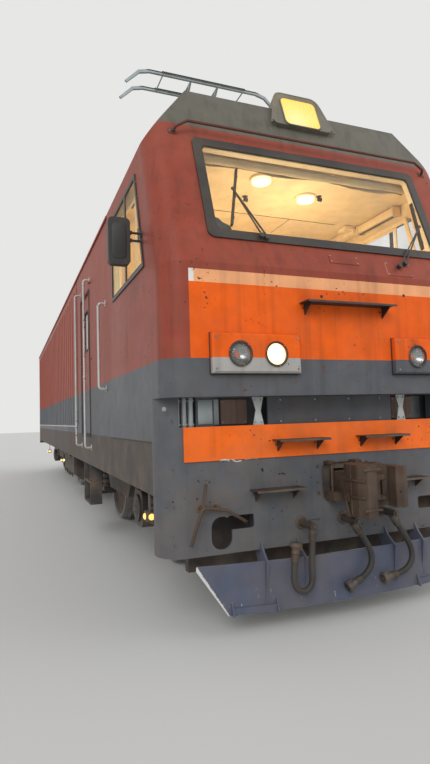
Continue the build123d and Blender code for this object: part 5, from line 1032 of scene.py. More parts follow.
class Paint:
    """The finishes of the locomotive, by what they cover."""

    body = Coat("body_paint", "body_red", Tone.BODY_RED, LIVERY, fade=Tone.FADED_RED, fading=0.45,
                streaks=0.30, dust=0.26, chips=0.35, ripple=0.004, rough=0.45, gloss=0.2)
    plate = Coat("plate_paint", "body_grey", Tone.BODY_GREY, PLATE_MARKS, streaks=0.20, dust=0.30,
                 fading=0.15, chips=0.2, chip=Tone.SOOT, ripple=0.003, gloss=0.2)
    roof = Coat("roof_paint", "roof_grey", Tone.ROOF_GREY, streaks=0.5, dust=0.5, dust_low=3.0,
                dust_high=9.0, fade=Tone.ROOF_DARK, fading=0.6, chips=0.4, ripple=0.004, rough=0.6)
    hood_top = Coat("hood_paint", "roof_grey", Tone.ROOF_GREY, streaks=0.35, fade=Tone.CREAM_SHADE,
                    fading=0.2, dust=0.3, rough=0.5)
    lining = Coat("cab_lining", "cab_cream", Tone.CREAM, streaks=0.0, dust=0.0,
                  fade=Tone.CREAM_SHADE, fading=0.5, rough=0.55, grain=0.0006)
    panel = Coat("cab_panel", "cab_wood", Tone.WOOD, streaks=0.35, streak=Tone.WOOD_DARK, dust=0.0,
                 fade=Tone.WOOD_DARK, fading=0.4, rough=0.5)
    linoleum = Coat("floor_covering", "cab_wood", Tone.WOOD_DARK, streaks=0.0, dust=0.6, fading=0.3,
                    rough=0.6)
    primer = Coat("inner_primer", "cab_cream", Tone.PRIMER, streaks=0.2, dust=0.3, rough=0.6)
    plow = ScrapedPaint("plow_paint", "plow_grey", Tone.PLOW_GREY, streaks=0.12, dust=0.22,
                        rough=0.48, ripple=0.003, gloss=0.3)
    gear = Coat("gear_paint", "steel_dark", Tone.GEAR_DARK, streaks=0.3, dust=0.75, chips=0.5,
                rough=0.62, fade=Tone.RUST, fading=0.25, grain=0.0010, grain_scale=110.0)
    black = Coat("black_paint", "steel_black", Tone.GEAR_BLACK, streaks=0.1, dust=0.5, chips=0.4,
                 rough=0.5)
    cast = Coat("coupler_casting", "coupler_rust", Tone.COUPLER_BROWN, streaks=0.4,
                streak=Tone.GREASE, dust=0.5, fade=Tone.SOOT, fading=0.6, chips=0.5,
                chip=Tone.GREASE, rough=0.62, grain=0.0016, grain_scale=90.0, metallic=0.15)
    fitting = Coat("hose_casting", "hose_metal", Tone.HOSE_METAL, streaks=0.2, dust=0.4,
                   fade=Tone.RUST, fading=0.5, metallic=0.4, rough=0.5, grain=0.0010,
                   grain_scale=140.0)
    rail = Coat("rail_silver_paint", "rail_silver", Tone.SILVER,
                (Region(Tone.BAR_BROWN, along=(-9.0, -7.4)),), streaks=0.25, dust=0.35, chips=0.8,
                chip=Tone.GEAR_DARK, metallic=0.25, rough=0.42)
    zinc = Coat("galvanised_steel", "galvanised", Tone.GALVANISED, streaks=0.45, streak=Tone.PRIMER,
                dust=0.3, fade=Tone.ZINC_WHITE, fading=0.8, metallic=0.55, rough=0.42)
    bracket = Coat("bracket_paint", "galvanised", Tone.ZINC_WHITE, streaks=0.3, dust=0.3, chips=0.9,
                   chip=Tone.PRIMER, rough=0.5)
    bolt = Coat("bolt_steel", "galvanised", Tone.BARE_STEEL, streaks=0.0, dust=0.5, fade=Tone.RUST,
                fading=0.7, metallic=0.7, rough=0.45)
    rim = Coat("window_rim", "window_black", Tone.RIM_BLACK, streaks=0.1, dust=0.35, rough=0.42)
    seal = Coat("rubber_seal", "window_black", Tone.RUBBER, streaks=0.0, dust=0.35,
                dust_tone=Tone.RUBBER_DUST, rough=0.7, grain=0.0006)
    hose = Coat("hose_cover", "hose_rubber", Tone.RUBBER, streaks=0.15, dust=0.35,
                dust_tone=Tone.RUBBER_DUST, rough=0.62, grain=0.0008, grain_scale=160.0)
    bellows = Coat("bellows_cloth", "bellows_rubber", Tone.RUBBER, streaks=0.25, dust=0.6,
                   dust_tone=Tone.RUBBER_DUST, rough=0.72, grain=0.0010, grain_scale=300.0,
                   ripple=0.006)
    desk = Coat("desk_moulding", "desk_grey", Tone.DESK_GREY, streaks=0.0, dust=0.15, rough=0.5,
                grain=0.0007)
    knob = Coat("knob_plastic", "steel_black", Tone.INSTRUMENT, streaks=0.0, dust=0.1, rough=0.35)
    cabinet = Coat("cabinet_paint", "equipment_grey", Tone.CABINET, streaks=0.15, dust=0.2,
                   rough=0.45)
    glaze = Coat("insulator_glaze", "insulator_brown", Tone.GLAZE_BROWN, streaks=0.25, dust=0.25,
                 dust_low=4.0, dust_high=6.0, rough=0.22, coat=0.8)
    pan = Coat("pantograph_paint", "pantograph_red", Tone.PAN_RED, streaks=0.3, dust=0.25,
               dust_low=4.0, dust_high=8.0, chips=0.5, rough=0.45)
    head = Coat("pantograph_head_metal", "strip_carbon", Tone.GALVANISED,
                (Region(Tone.CARBON, height=(6.3485, 9.0)),), streaks=0.3, streak=Tone.HOSE_METAL,
                dust=0.1, metallic=0.3, rough=0.5)
    copper = Coat("copper_braid", "strip_carbon", Tone.COPPER, streaks=0.0, dust=0.2, dust_low=4.0,
                  dust_high=8.0, metallic=0.7, rough=0.45, grain=0.0012, grain_scale=420.0)
    reflector = Coat("lamp_reflector", "lamp_clear", Tone.REFLECTOR, streaks=0.0, dust=0.0,
                     metallic=0.9, rough=0.18)
    mirror = Coat("mirror_silver", "window_clear", Tone.REFLECTOR, streaks=0.0, dust=0.15,
                  metallic=1.0, rough=0.06, grain=0.0)
    door_glass = Coat("door_glass", "window_clear", Tone.DOOR_GLASS, streaks=0.2, dust=0.35,
                      rough=0.10, coat=1.0, grain=0.0)
    glass = Pane("windshield_glass", "window_clear")
    lens = Pane("lamp_lens", "lamp_clear", clear=0.10, film=0.20)
    seat = Weave("seat_cloth", "seat_fabric", Tone.SEAT_BLUE, Tone.SEAT_SHADE, threads=1500.0)
    blind = Weave("blind_cloth_weave", "blind_fabric", Tone.BLIND_BEIGE, Tone.BLIND_SHADE,
                  threads=1400.0, on_map=True)
    lever = Coat("lever_paint", "steel_dark", Tone.GEAR_BLACK, streaks=0.2, dust=0.35,
                 fade=Tone.RUST, fading=0.35, chips=0.4, rough=0.5, gloss=0.3)
    # the rust is real; its pale mauve ground is painted light against the shade of the recess
    rusty = Coat("rusty_sheet_painted_light", "steel_dark", Tone.MAUVE_PAINTED_LIGHT, streaks=0.5, dust=0.4,
                 fade=Tone.RUST, fading=0.6, rough=0.7, gloss=0.3)
    piping = Coat("seat_piping", "seat_fabric", Tone.SEAT_SHADE, streaks=0.0, dust=0.1, rough=0.8)
    trim = Coat("cab_trim", "cab_cream", Tone.CREAM, streaks=0.0, dust=0.0, fade=Tone.CREAM_SHADE,
                fading=0.3, rough=0.4)
    dial = Coat("dial_face", "lamp_white", Tone.WORN_WHITE, streaks=0.0, dust=0.0, fading=0.1,
                rough=0.3)
    grease = Coat("greasy_casting", "coupler_rust", Tone.GREASE, streaks=0.2, dust=0.2,
                  fade=Tone.RUST, fading=0.3, metallic=0.3, rough=0.3)
    board = Coat("walk_board", "roof_grey", Tone.PRIMER, streaks=0.4, dust=0.4, dust_low=3.0,
                 dust_high=9.0, fade=Tone.WOOD_DARK, fading=0.5, rough=0.75, grain=0.0012,
                 grain_scale=120.0)
    wheel = WheelSteel("wheel_steel", "wheel_steel")
    screen = Screen("instrument_screen", "desk_grey")


@dataclass
class PackedNodes:
    """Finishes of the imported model's own nodes."""

    cab_middle: Triple = (0.0, -6.9, 3.05)
    lamp_z: float = 3.885
    lamp_radius: float = 0.10
    lamp_strength: float = 1.7
    post_out: float = 1.245
    bracket_middle: float = 0.715
    bracket_half: float = 0.06
    bracket_front: float = -7.825
    plain: dict[str, Finish] = field(default_factory=lambda: {
        "underframe": Paint.gear, "window_frames": Paint.rim, "window_glass": Paint.glass,
        "cab_floor": Paint.linoleum, "cab_ceiling": Paint.lining, "cab_bulkhead": Paint.lining,
        "cab_door": Paint.panel, "room_bulkhead": Paint.primer, "rear_wall": Paint.body,
        "front_plate": Paint.plate, "recess_fittings": Paint.plate,
        "searchlight_hood": Paint.hood_top, "lamp_boxes": Paint.body, "front_steps": Paint.lever,
        "plow": Paint.plow, "couplers": Paint.cast, "hose_cocks": Paint.fitting,
        "uncoupling_lever": Paint.lever, "handrails": Paint.rail, "mirrors": Paint.black,
        "wipers": Paint.black, "desk": Paint.desk, "seat_frames": Paint.black,
        "equipment_block": Paint.cabinet, "underfloor_equipment": Paint.gear,
        "roof_hoods": Paint.roof, "roof_insulators": Paint.glaze, "pantograph_base": Paint.pan,
        "gangway_door": Paint.body, "pantograph_lower_arm": Paint.pan,
        "pantograph_upper_arm": Paint.pan, "pantograph_rod": Paint.zinc,
        "pantograph_head": Paint.head, "bogie_frame_front": Paint.gear,
        "bogie_frame_rear": Paint.gear, "bogie_suspension_front": Paint.black,
        "bogie_suspension_rear": Paint.black, "bogie_drives_front": Paint.gear,
        "bogie_drives_rear": Paint.gear, "wheelset_1": Paint.wheel, "wheelset_2": Paint.wheel,
        "wheelset_3": Paint.wheel, "wheelset_4": Paint.wheel,
    })

    def clothe(self, node: str, *finishes: Finish) -> bpy.types.Object:
        """Gives a node its finishes in place of the plain ones, and returns it."""
        piece = frame["nodes"][node]
        piece.data.materials.clear()
        for finish in finishes:
            piece.data.materials.append(finish.material())
        for face in piece.data.polygons:
            face.material_index = 0
        return piece

    def faces_inwards(self, face: bpy.types.MeshPolygon) -> bool:
        """Whether a face of a wall looks towards the middle of the cab."""
        return face.normal.dot(Vector(self.cab_middle) - face.center) > 0.0

    def shells(self) -> None:
        """Lines the hollow walls with their inner finish."""
        for face in self.clothe("cab_shell", Paint.body, Paint.lining).data.polygons:
            face.material_index = int(self.faces_inwards(face))
        for name, side in (("left", -1), ("right", 1)):
            for node in (f"side_wall_{name}", f"door_{name}"):
                for face in self.clothe(node, Paint.body, Paint.primer).data.polygons:
                    face.material_index = int(face.normal.x * side < -0.5)
        for face in self.clothe("machine_roof", Paint.roof, Paint.primer).data.polygons:
            face.material_index = int(face.normal.z < -0.1)

    def fittings(self) -> None:
        """Picks out the galvanised posts and the pale brackets in the recess."""
        piece = self.clothe("recess_fittings", Paint.plate, Paint.zinc, Paint.bracket)
        for face in piece.data.polygons:
            away = abs(face.center.x)
            if away > self.post_out:
                face.material_index = 1
            elif (abs(away - self.bracket_middle) < self.bracket_half
                  and face.center.y < self.bracket_front):
                face.material_index = 2

    def ceiling(self) -> None:
        """Lights the two ceiling lamps."""
        glows = [
            Glow(f"ceiling_light_{index}", "lamp_white", Tone.LAMP_WHITE, Tone.LAMP_WARM,
                 self.lamp_strength, (x, y, self.lamp_z), self.lamp_radius)
            for index, (x, y) in enumerate(CEILING_LAMPS)
        ]
        for face in self.clothe("ceiling_lamps", *glows).data.polygons:
            face.material_index = int(face.center.x > 0)

    def build(self) -> None:
        """Dresses every node."""
        for node, finish in self.plain.items():
            self.clothe(node, finish)
        self.shells()
        self.fittings()
        self.ceiling()


@dataclass
class LeaningFace:
    """The cab's front, which leans back above its break."""

    break_y: float = -8.05
    break_z: float = 2.81
    lean: float = math.atan2(0.47, 1.32)

    def frame(self, x: float, up: float, proud: float = 0.0) -> Matrix:
        """A frame on the leaning face.

        Args:
            x: Distance from the centre line.
            up: Distance up the face from its break.
            proud: Distance out from the face.

        Returns:
            The frame, its y up the face and its z outwards.
        """
        normal = Vector((0, -math.cos(self.lean), math.sin(self.lean)))
        along = Vector((0, math.sin(self.lean), math.cos(self.lean)))
        origin = Vector((x, self.break_y, self.break_z)) + along * up + normal * proud
        return seat(tuple(origin), tuple(normal), tuple(along))

    def up(self, height: float) -> float:
        """Distance up the face of a point at that height."""
        return (height - self.break_z) / math.cos(self.lean)


@dataclass
class BrakeHoses:
    """Three brake hoses that hang from their cocks under the coupler."""

    radius: float = 0.024
    y: float = -8.05
    head_radius: float = 0.034
    head_long: float = 0.09
    routes: dict[str, tuple[float, float, tuple[Triple, ...]]] = field(default_factory=lambda: {
        "left": (-0.391, 0.730, (
            (0, 0, 0), (-0.008, 0, -0.090), (-0.016, -0.003, -0.180), (-0.020, -0.006, -0.270),
            (-0.022, -0.008, -0.355), (-0.045, -0.008, -0.410), (-0.100, -0.006, -0.433),
            (-0.155, -0.003, -0.410), (-0.178, 0, -0.355), (-0.176, 0.003, -0.285),
            (-0.166, 0.006, -0.215), (-0.156, 0.008, -0.150))),
        "middle": (0.012, 0.730, (
            (0, 0, 0), (0.058, 0.004, -0.070), (0.112, 0.004, -0.150), (0.143, -0.002, -0.235),
            (0.125, -0.008, -0.320), (0.058, -0.010, -0.385), (-0.030, -0.010, -0.421))),
        "right": (0.400, 0.755, (
            (0, 0, 0), (0.055, 0.004, -0.075), (0.110, 0.004, -0.155), (0.155, -0.002, -0.240),
            (0.160, -0.008, -0.330), (0.108, -0.010, -0.400), (0.024, -0.010, -0.435),
            (-0.065, -0.008, -0.446))),
    })
    lengths: dict[str, float] = field(default_factory=lambda: {"left": 0.80, "middle": 0.55,
                                                               "right": 0.63})

    def route(self, name: str) -> list[Triple]:
        """Points of a hose's route in the object's frame."""
        x, top, steps = self.routes[name]
        return [(x + dx, self.y + dy, top + dz) for dx, dy, dz in steps]

    def tube(self, name: str) -> bpy.types.Object:
        """The hose itself, a smooth spline along its route."""
        curve = curve_through(f"hose_{name}_rubber", "NURBS", self.route(name), self.radius, 5)
        curve.resolution_u = 14
        curve.splines[0].order_u = 3
        curve.splines[0].use_endpoint_u = True
        return dress(stood(f"hose_{name}_rubber", curve), "carbody", Paint.hose)

    def ferrule(self, shape: Shape, end: Vector, along: Vector) -> None:
        """Adds a ribbed clamp on the hose's end, which leads along."""
        on = seat(tuple(end - along * 0.052), tuple(along), (0.3, 1, 0.1))
        grip = self.radius + 0.004
        outline = [(self.radius - 0.004, 0.0), (grip, 0.0)]
        for index in range(4):
            low = 0.006 + index * 0.012
            outline += [(grip, low), (grip + 0.004, low + 0.002), (grip + 0.004, low + 0.006),
                        (grip, low + 0.008)]
        outline += [(grip, 0.054), (self.radius - 0.004, 0.054)]
        shape.lathe(outline, on, steps=20)
        shape.block((0.022, 0.014, 0.016), (0.0, grip + 0.006, 0.027), on, edge=0.002)

    def head(self, name: str) -> bpy.types.Object:
        """The coupling head on the hose's free end."""
        points = [Vector(p) for p in self.route(name)]
        last, along = points[-1], (points[-1] - points[-2]).normalized()
        shape = Shape()
        on = seat(tuple(last), tuple(along), (0, -1, 0.2))
        r, long = self.head_radius, self.head_long
        profile = [(0.0, 0.0), (r - 0.008, 0.0), (r, 0.012), (r - 0.004, 0.030), (r + 0.002, 0.050),
                   (r + 0.011, 0.060), (r + 0.012, long - 0.004), (r + 0.008, long), (0.022, long),
                   (0.020, long - 0.012), (0.0, long - 0.012)]
        shape.lathe(profile, on, steps=28)
        shape.block((0.026, 0.034, 0.030), (0.036, 0.0, 0.070), on, edge=0.004)
        shape.block((0.018, 0.022, 0.044), (-0.036, 0.012, 0.060), on, edge=0.004)
        ring = [(0.021, long - 0.006), (0.028, long - 0.006), (0.028, long + 0.001),
                (0.021, long + 0.001)]
        shape.lathe(ring, on, steps=20, slot=1)
        self.ferrule(shape, last, along)
        return shape.done(f"hose_{name}_head", "carbody", Paint.fitting, Paint.seal)

    def build(self) -> None:
        """Makes the hoses with their heads and upper clamps."""
        clamps = Shape()
        heads = []
        for name in self.routes:
            points = [Vector(p) for p in self.route(name)]
            hose = self.tube(name)
            head = self.head(name)
            heads.append(head)
            self.ferrule(clamps, points[0] + (points[1] - points[0]).normalized() * 0.052,
                         (points[1] - points[0]).normalized())
            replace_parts(hose, f"hose_{name}")
        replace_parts(heads[0], "hose_heads")
        clamps.done("hose_upper_clamps", "carbody", Paint.fitting)


@dataclass
class Lamps:
    """Buffer lamps under clear domes, and the searchlight in its hood."""

    face_y: float = -8.05
    depth: float = 0.06
    height: float = 2.115
    offsets: tuple[float, float] = (0.68, 0.98)
    radius: float = 0.085
    set_back: float = 0.010
    dome: float = 0.032
    dome_wall: float = 0.0035
    lit: float = -0.68
    search_width: float = 0.374
    search_height: float = 0.335
    search_middle: float = 1.7675
    search_low: float = 4.31
    search_high: float = 4.70
    hood_proud: float = 0.045
    box_xs: Span = (0.49, 1.17)
    box_zs: Span = (2.002, 2.238)
    box_seal: tuple[Slab, ...] = (
        ((0.752, 0.012, 0.006), (0.83, -8.055, 2.274), 0.002, 0),
        ((0.752, 0.012, 0.010), (0.83, -8.055, 1.964), 0.002, 0),
        ((0.006, 0.012, 0.312), (0.456, -8.055, 2.12), 0.002, 0),
        ((0.006, 0.012, 0.312), (1.204, -8.055, 2.12), 0.002, 0),
    )
    face: LeaningFace = field(default_factory=LeaningFace)
    bulb: Outline = (
        (0.0, -0.055), (0.009, -0.055), (0.009, -0.038), (0.013, -0.028), (0.013, -0.020),
        (0.008, -0.011), (0.0, -0.009),
    )

    def spots(self) -> list[float]:
        """Distances of the four lamps from the centre line."""
        return [side * off for side in SIDES for off in self.offsets]

    def lens_frame(self, x: float) -> Matrix:
        """Frame at the middle of a lamp's rim, its z to the front."""
        return seat((x, self.face_y - self.depth + self.set_back, self.height), AHEAD)

    def dome_outline(self) -> list[Span]:
        """Outline of a dome's shell, as pairs of radius and height."""
        sphere = (self.radius ** 2 + self.dome ** 2) / (2 * self.dome)
        outer = [(sphere * math.sin(a), sphere * math.cos(a) - sphere + self.dome)
                 for a in row(0.0, math.asin(self.radius / sphere), 9)]
        wall = self.dome_wall
        return outer + [(max(r - wall, 0.0), h - wall) for r, h in reversed(outer)]

    def domes(self) -> None:
        """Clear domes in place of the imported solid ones, but for the lit one."""
        shape = Shape()
        for x in self.spots():
            if x != self.lit:
                shape.lathe(self.dome_outline(), self.lens_frame(x), steps=36)
        piece = shape.done("lamp_domes", "carbody", Paint.lens)
        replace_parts(piece, "lamp_glasses")

    def lit_dome(self) -> None:
        """The one lit lamp, its dome fluted and glowing."""
        shape = Shape()
        shape.lathe(self.dome_outline(), self.lens_frame(self.lit), steps=36)
        glow = Glow("lit_lamp_glass", "lamp_clear", Tone.LAMP_WHITE, Tone.LAMP_WARM, 1.5,
                    (self.lit, self.face_y - self.depth - 0.02, self.height), self.radius, 420.0)
        shape.done("lit_lamp_dome", "carbody", glow)

    def bowls(self) -> None:
        """Polished bowls and bulbs behind the clear domes."""
        shape = Shape()
        for x in self.spots():
            on = self.lens_frame(x)
            deep = [(self.radius * 0.97 * s, -0.055 + 0.052 * s * s) for s in row(0.12, 1.0, 8)]
            back = [(r + 0.002, h - 0.002) for r, h in reversed(deep)]
            shape.lathe(deep + back, on, steps=32)
            shape.lathe(self.bulb, on, steps=16, slot=1)
        shape.done("lamp_bowls", "carbody", Paint.reflector, Paint.lens)

    def rims(self) -> None:
        """Turned rings round the lamps, with their screws, and screws on the boxes."""
        shape = Shape()
        for x in self.spots():
            on = seat((x, self.face_y - self.depth - 0.008, self.height), AHEAD)
            r = self.radius
            ring = [(r - 0.003, -0.004), (r - 0.003, 0.003), (r + 0.001, 0.005), (r + 0.010, 0.005),
                    (r + 0.0135, 0.002), (r + 0.0135, -0.004)]
            shape.lathe(ring, on, steps=40)
            turns = [math.radians(a) for a in (45, 165, 285)]
            screws = [on @ Matrix.Translation((math.cos(a) * (r + 0.006), math.sin(a) * (r + 0.006),
                                               0.0045))
                      for a in turns]
            shape.bolts(screws, Bolt.LAMP_SCREW, slot=1)
        corners = [(side * x, z) for side in SIDES for x in self.box_xs for z in self.box_zs]
        shape.bolts([seat((x, self.face_y - self.depth, z), AHEAD) for x, z in corners],
                    Bolt.BOX_BOLT, slot=1)
        shape.done("lamp_rims", "carbody", Paint.rim, Paint.bolt)

    def box_seams(self) -> None:
        """Dark seals between the lamp boxes and the face."""
        shape = Shape()
        for side in SIDES:
            shape.slabs(self.box_seal, side)
        shape.done("lamp_box_seals", "carbody", Paint.seal)

    def searchlight(self) -> None:
        """The searchlight's lens and bezel, and the bead round its hood."""
        on = self.face.frame(0.0, self.search_middle, self.hood_proud)
        lens = Shape()
        lens.plate(rounded(self.search_width, self.search_height, 0.050, 6), 0.008, on, edge=0.002)
        spot = on @ Vector((-0.07, -0.11, 0.01))
        glow = Glow("searchlight_glass", "lamp_clear", Tone.LAMP_WHITE, Tone.SEARCH_AMBER, 0.38,
                    tuple(spot), 0.22, 160.0)
        lens.done("searchlight_lens", "carbody", glow)
        trim = Shape()
        rim = rounded(self.search_width + 0.020, self.search_height + 0.020, 0.060, 6)
        trim.border(rim, 0.012, 0.011, on, edge=0.003)
        trim.done("searchlight_bezel", "carbody", Paint.hood_top)
        edge = Shape()
        low, top = self.face.up(self.search_low), self.face.up(self.search_high)
        rim = self.face.frame(0.0, 0.0, self.hood_proud)
        half = [(0.335, low), (0.242, top - 0.06), (0.19, top)]
        corners = [(-x, y) for x, y in half] + half[::-1]
        points = [tuple(rim @ Vector((x, y, -0.004))) for x, y in corners]
        edge.pipe(points, 0.009, bend=0.05)
        edge.done("searchlight_hood_bead", "carbody", Paint.hood_top)

    def build(self) -> None:
        """Makes all lamps."""
        self.domes()
        self.lit_dome()
        self.bowls()
        self.rims()
        self.box_seams()
        self.searchlight()


@dataclass
class SunBlind:
    """The roller blind at the top of the windshield, its cloth gathered on the tube."""

    half: float = 1.16
    y: float = -7.527
    z: float = 3.885
    tube: float = 0.017
    roll: float = 0.036
    steps: int = 96
    rings: int = 22
    sags: tuple[tuple[float, float], ...] = (
        (-1.16, 0.020), (-0.77, 0.016), (-0.51, 0.006), (-0.27, 0.034), (0.15, 0.004),
        (0.37, 0.014), (0.58, 0.030), (0.83, 0.040), (1.08, 0.012), (1.16, 0.018),
    )

    def sag(self, x: float) -> float:
        """How far the cloth's free edge hangs under the roll at a place across."""
        for (left, low), (right, high) in zip(self.sags, self.sags[1:]):
            if x <= right:
                share = (x - left) / (right - left)
                smooth = share * share * (3 - 2 * share)
                return low + (high - low) * smooth
        return self.sags[-1][1]

    def place(self, x: float, share: float) -> Vector:
        """A point of the cloth.

        Args:
            x: Place across, in metres.
            share: 0 at the inner end of the last turn, 1 at the free edge.

        Returns:
            The point in the object's frame.
        """
        crease = noise.noise(Vector((x * 3.1, share * 2.2, 0.4))) * 0.008
        crease += noise.noise(Vector((x * 9.0 + share * 4.0, share * 5.0, 2.7))) * 0.003
        radius = self.roll + crease * min(1.0, 4.0 * share)
        wrap = 0.80
        if share <= wrap:
            turn = math.radians(-60 + 300 * share / wrap)
            return Vector((x, self.y - radius * math.sin(turn), self.z + radius * math.cos(turn)))
        turn = math.radians(240)
        start = Vector((x, self.y - radius * math.sin(turn), self.z + radius * math.cos(turn)))
        drop = (share - wrap) / (1 - wrap)
        fall = self.sag(x) + 0.008
        swing = 0.004 * math.sin(x * 11.0) * drop
        return start + Vector((0, -0.012 * drop + swing, -fall * drop))

    def cloth(self) -> bpy.types.Object:
        """The cloth as one curved sheet with a map of its threads."""
        shape = bmesh.new()
        uv = shape.loops.layers.uv.new("threads")
        bmesh.ops.create_grid(shape, x_segments=self.steps, y_segments=self.rings, size=0.5)
        spots = {v: (v.co.x + 0.5, v.co.y + 0.5) for v in shape.verts}
        for vert, (across, down) in spots.items():
            vert.co = self.place((across * 2 - 1) * self.half, down)
        for face in shape.faces:
            for loop in face.loops:
                across, down = spots[loop.vert]
                loop[uv].uv = (across * 2 * self.half, down * 0.22)
            face.smooth = True
        return dress(stood("blind_cloth", baked(shape, "blind_cloth")), "carbody", Paint.blind)

    def length(self) -> float:
        """Mean length of the cloth from its last turn to its free edge."""
        total = 0.0
        samples = row(-self.half, self.half, 25)
        for x in samples:
            line = [self.place(x, share) for share in row(0.0, 1.0, 60)]
            total += sum((b - a).length for a, b in zip(line, line[1:]))
        return total / len(samples)

    def roller(self) -> bpy.types.Object:
        """The tube with its end brackets and its end caps."""
        shape = Shape()
        shape.rod((-self.half - 0.012, self.y, self.z), (self.half + 0.012, self.y, self.z),
                  self.tube, edge=0.002)
        for side in SIDES:
            end = side * (self.half + 0.014)
            shape.rod((end - side * 0.010, self.y, self.z), (end, self.y, self.z), 0.030, sides=24,
                      edge=0.002)
            shape.block((0.006, 0.044, 0.070), (side * (self.half + 0.017), self.y, self.z + 0.010),
                        edge=0.002)
            shape.bolts([seat((side * (self.half + 0.014), self.y + dy, self.z + 0.030), (-side, 0, 0))
                         for dy in (-0.012, 0.012)], Bolt.SCREW)
        return shape.done("blind_roller", "carbody", Paint.rail)

    def build(self) -> None:
        """Makes the roller and its cloth."""
        cloth = self.cloth()
        roller = self.roller()
        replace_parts(cloth, "sunblind")
        long = round(self.length(), 3)
        log.info("blind cloth %.3f by %.3f m", 2 * self.half, long)


@dataclass
class Cushion:
    """A stuffed pad: a rounded block blown up by a cloth simulation, with seams and piping."""

    name: str
    low: Triple
    high: Triple
    rest: Triple
    channels: Places
    channel_axis: int
    voxel: float = 0.009
    cap: float = 0.014
    shrink: float = 0.012
    piping: float = 0.0045
    pressure: float = 4.0
    frames: int = 20
    rim_steps: int = 96

    def block(self) -> bpy.types.Object:
        """The rounded block that the pad is blown up from."""
        part = bmesh.new()
        bmesh.ops.create_cube(part, size=1.0)
        middle = (Vector(self.low) + Vector(self.high)) / 2
        shrunk = Vector((self.shrink, self.shrink, self.shrink)) * 2
        size = Vector(self.high) - Vector(self.low) - shrunk
        bmesh.ops.scale(part, vec=size, verts=part.verts)
        soften(part, list(part.edges), min(size) * 0.36, segments=4)
        bmesh.ops.subdivide_edges(part, edges=part.edges, cuts=2, use_grid_fill=True)
        bmesh.ops.translate(part, vec=middle, verts=part.verts)
        return stood(self.name, baked(part, self.name))

    def settle(self, piece: bpy.types.Object) -> None:
        """Replaces the piece's mesh by its evaluated one and drops its modifiers."""
        graph = bpy.context.evaluated_depsgraph_get()
        mesh = bpy.data.meshes.new_from_object(piece.evaluated_get(graph))
        piece.modifiers.clear()
        piece.data = mesh

    def inflate(self, piece: bpy.types.Object) -> None:
        """Blows the block up, held where it rests, and limits how far it swells."""
        remesh = piece.modifiers.new("remesh", "REMESH")
        remesh.mode = "VOXEL"
        remesh.voxel_size = self.voxel
        self.settle(piece)
        start = [v.co.copy() for v in piece.data.vertices]
        toward = Vector(self.rest)
        reach = max(co.dot(toward) for co in start)
        held = piece.vertex_groups.new(name="held")
        held.add([i for i, co in enumerate(start) if co.dot(toward) > reach - 0.004], 1.0,
                 "REPLACE")
        cloth = piece.modifiers.new("cloth", "CLOTH")
        cloth.settings.use_pressure = True
        cloth.settings.uniform_pressure_force = self.pressure
        cloth.settings.effector_weights.gravity = 0.0
        cloth.settings.vertex_group_mass = "held"
        cloth.settings.quality = 4
        cloth.settings.mass = 0.3
        cloth.point_cache.frame_start = 1
        cloth.point_cache.frame_end = self.frames
        for step in range(1, self.frames + 1):
            bpy.context.scene.frame_set(step)
        self.settle(piece)
        bpy.context.scene.frame_set(1)
        for vert, before in zip(piece.data.vertices, start):
            move = vert.co - before
            if move.length > self.cap:
                vert.co = before + move.normalized() * self.cap
        piece.vertex_groups.clear()

    def press(self, piece: bpy.types.Object) -> None:
        """Presses the sewn channels in, and keeps every point in the pad's own space."""
        axis = self.channel_axis
        toward = Vector(self.rest)
        for vert in piece.data.vertices:
            pull = sum(math.exp(-((vert.co[axis] - line) / 0.007) ** 2) for line in self.channels)
            face = max(0.0, -vert.normal.dot(toward))
            vert.co += toward * (0.008 * min(pull, 1.0) * face)
            for side in range(3):
                vert.co[side] = min(max(vert.co[side], self.low[side]), self.high[side])

    def seam(self, piece: bpy.types.Object) -> bpy.types.Object:
        """The piping round the pad's upper rim, laid on its surface."""
        tree = BVHTree.FromPolygons(
            [v.co for v in piece.data.vertices], [tuple(f.vertices) for f in piece.data.polygons]
        )
        toward = Vector(self.rest)
        depth = max(range(3), key=lambda side: abs(toward[side]))
        flat = [side for side in range(3) if side != depth]
        middle = (Vector(self.low) + Vector(self.high)) / 2
        half = (Vector(self.high) - Vector(self.low)) / 2
        level = middle[depth] - toward[depth] * half[depth] * 0.42
        line = []
        for step in range(self.rim_steps + 1):
            turn = math.tau * step / self.rim_steps
            aim = Vector((0, 0, 0))
            for side, wave in zip(flat, (math.cos(turn), math.sin(turn))):
                aim[side] = middle[side] + math.copysign(abs(wave) ** 0.35, wave) * half[side] * 1.1
            aim[depth] = level
            line.append(tuple(tree.find_nearest(aim)[0]))
        shape = Shape()
        shape.pipe(line, self.piping, bend=0.002)
        return shape.done(f"{self.name}_piping", "carbody", Paint.piping)

    def build(self) -> bpy.types.Object:
        """Makes the pad and its piping, and returns the pad dressed."""
        piece = self.block()
        self.inflate(piece)
        self.press(piece)
        for face in piece.data.polygons:
            face.use_smooth = True
        finer = piece.modifiers.new("finer", "SUBSURF")
        finer.levels = 1
        finer.render_levels = 1
        dress(piece, "carbody", Paint.seat)
        self.seam(piece)
        return piece


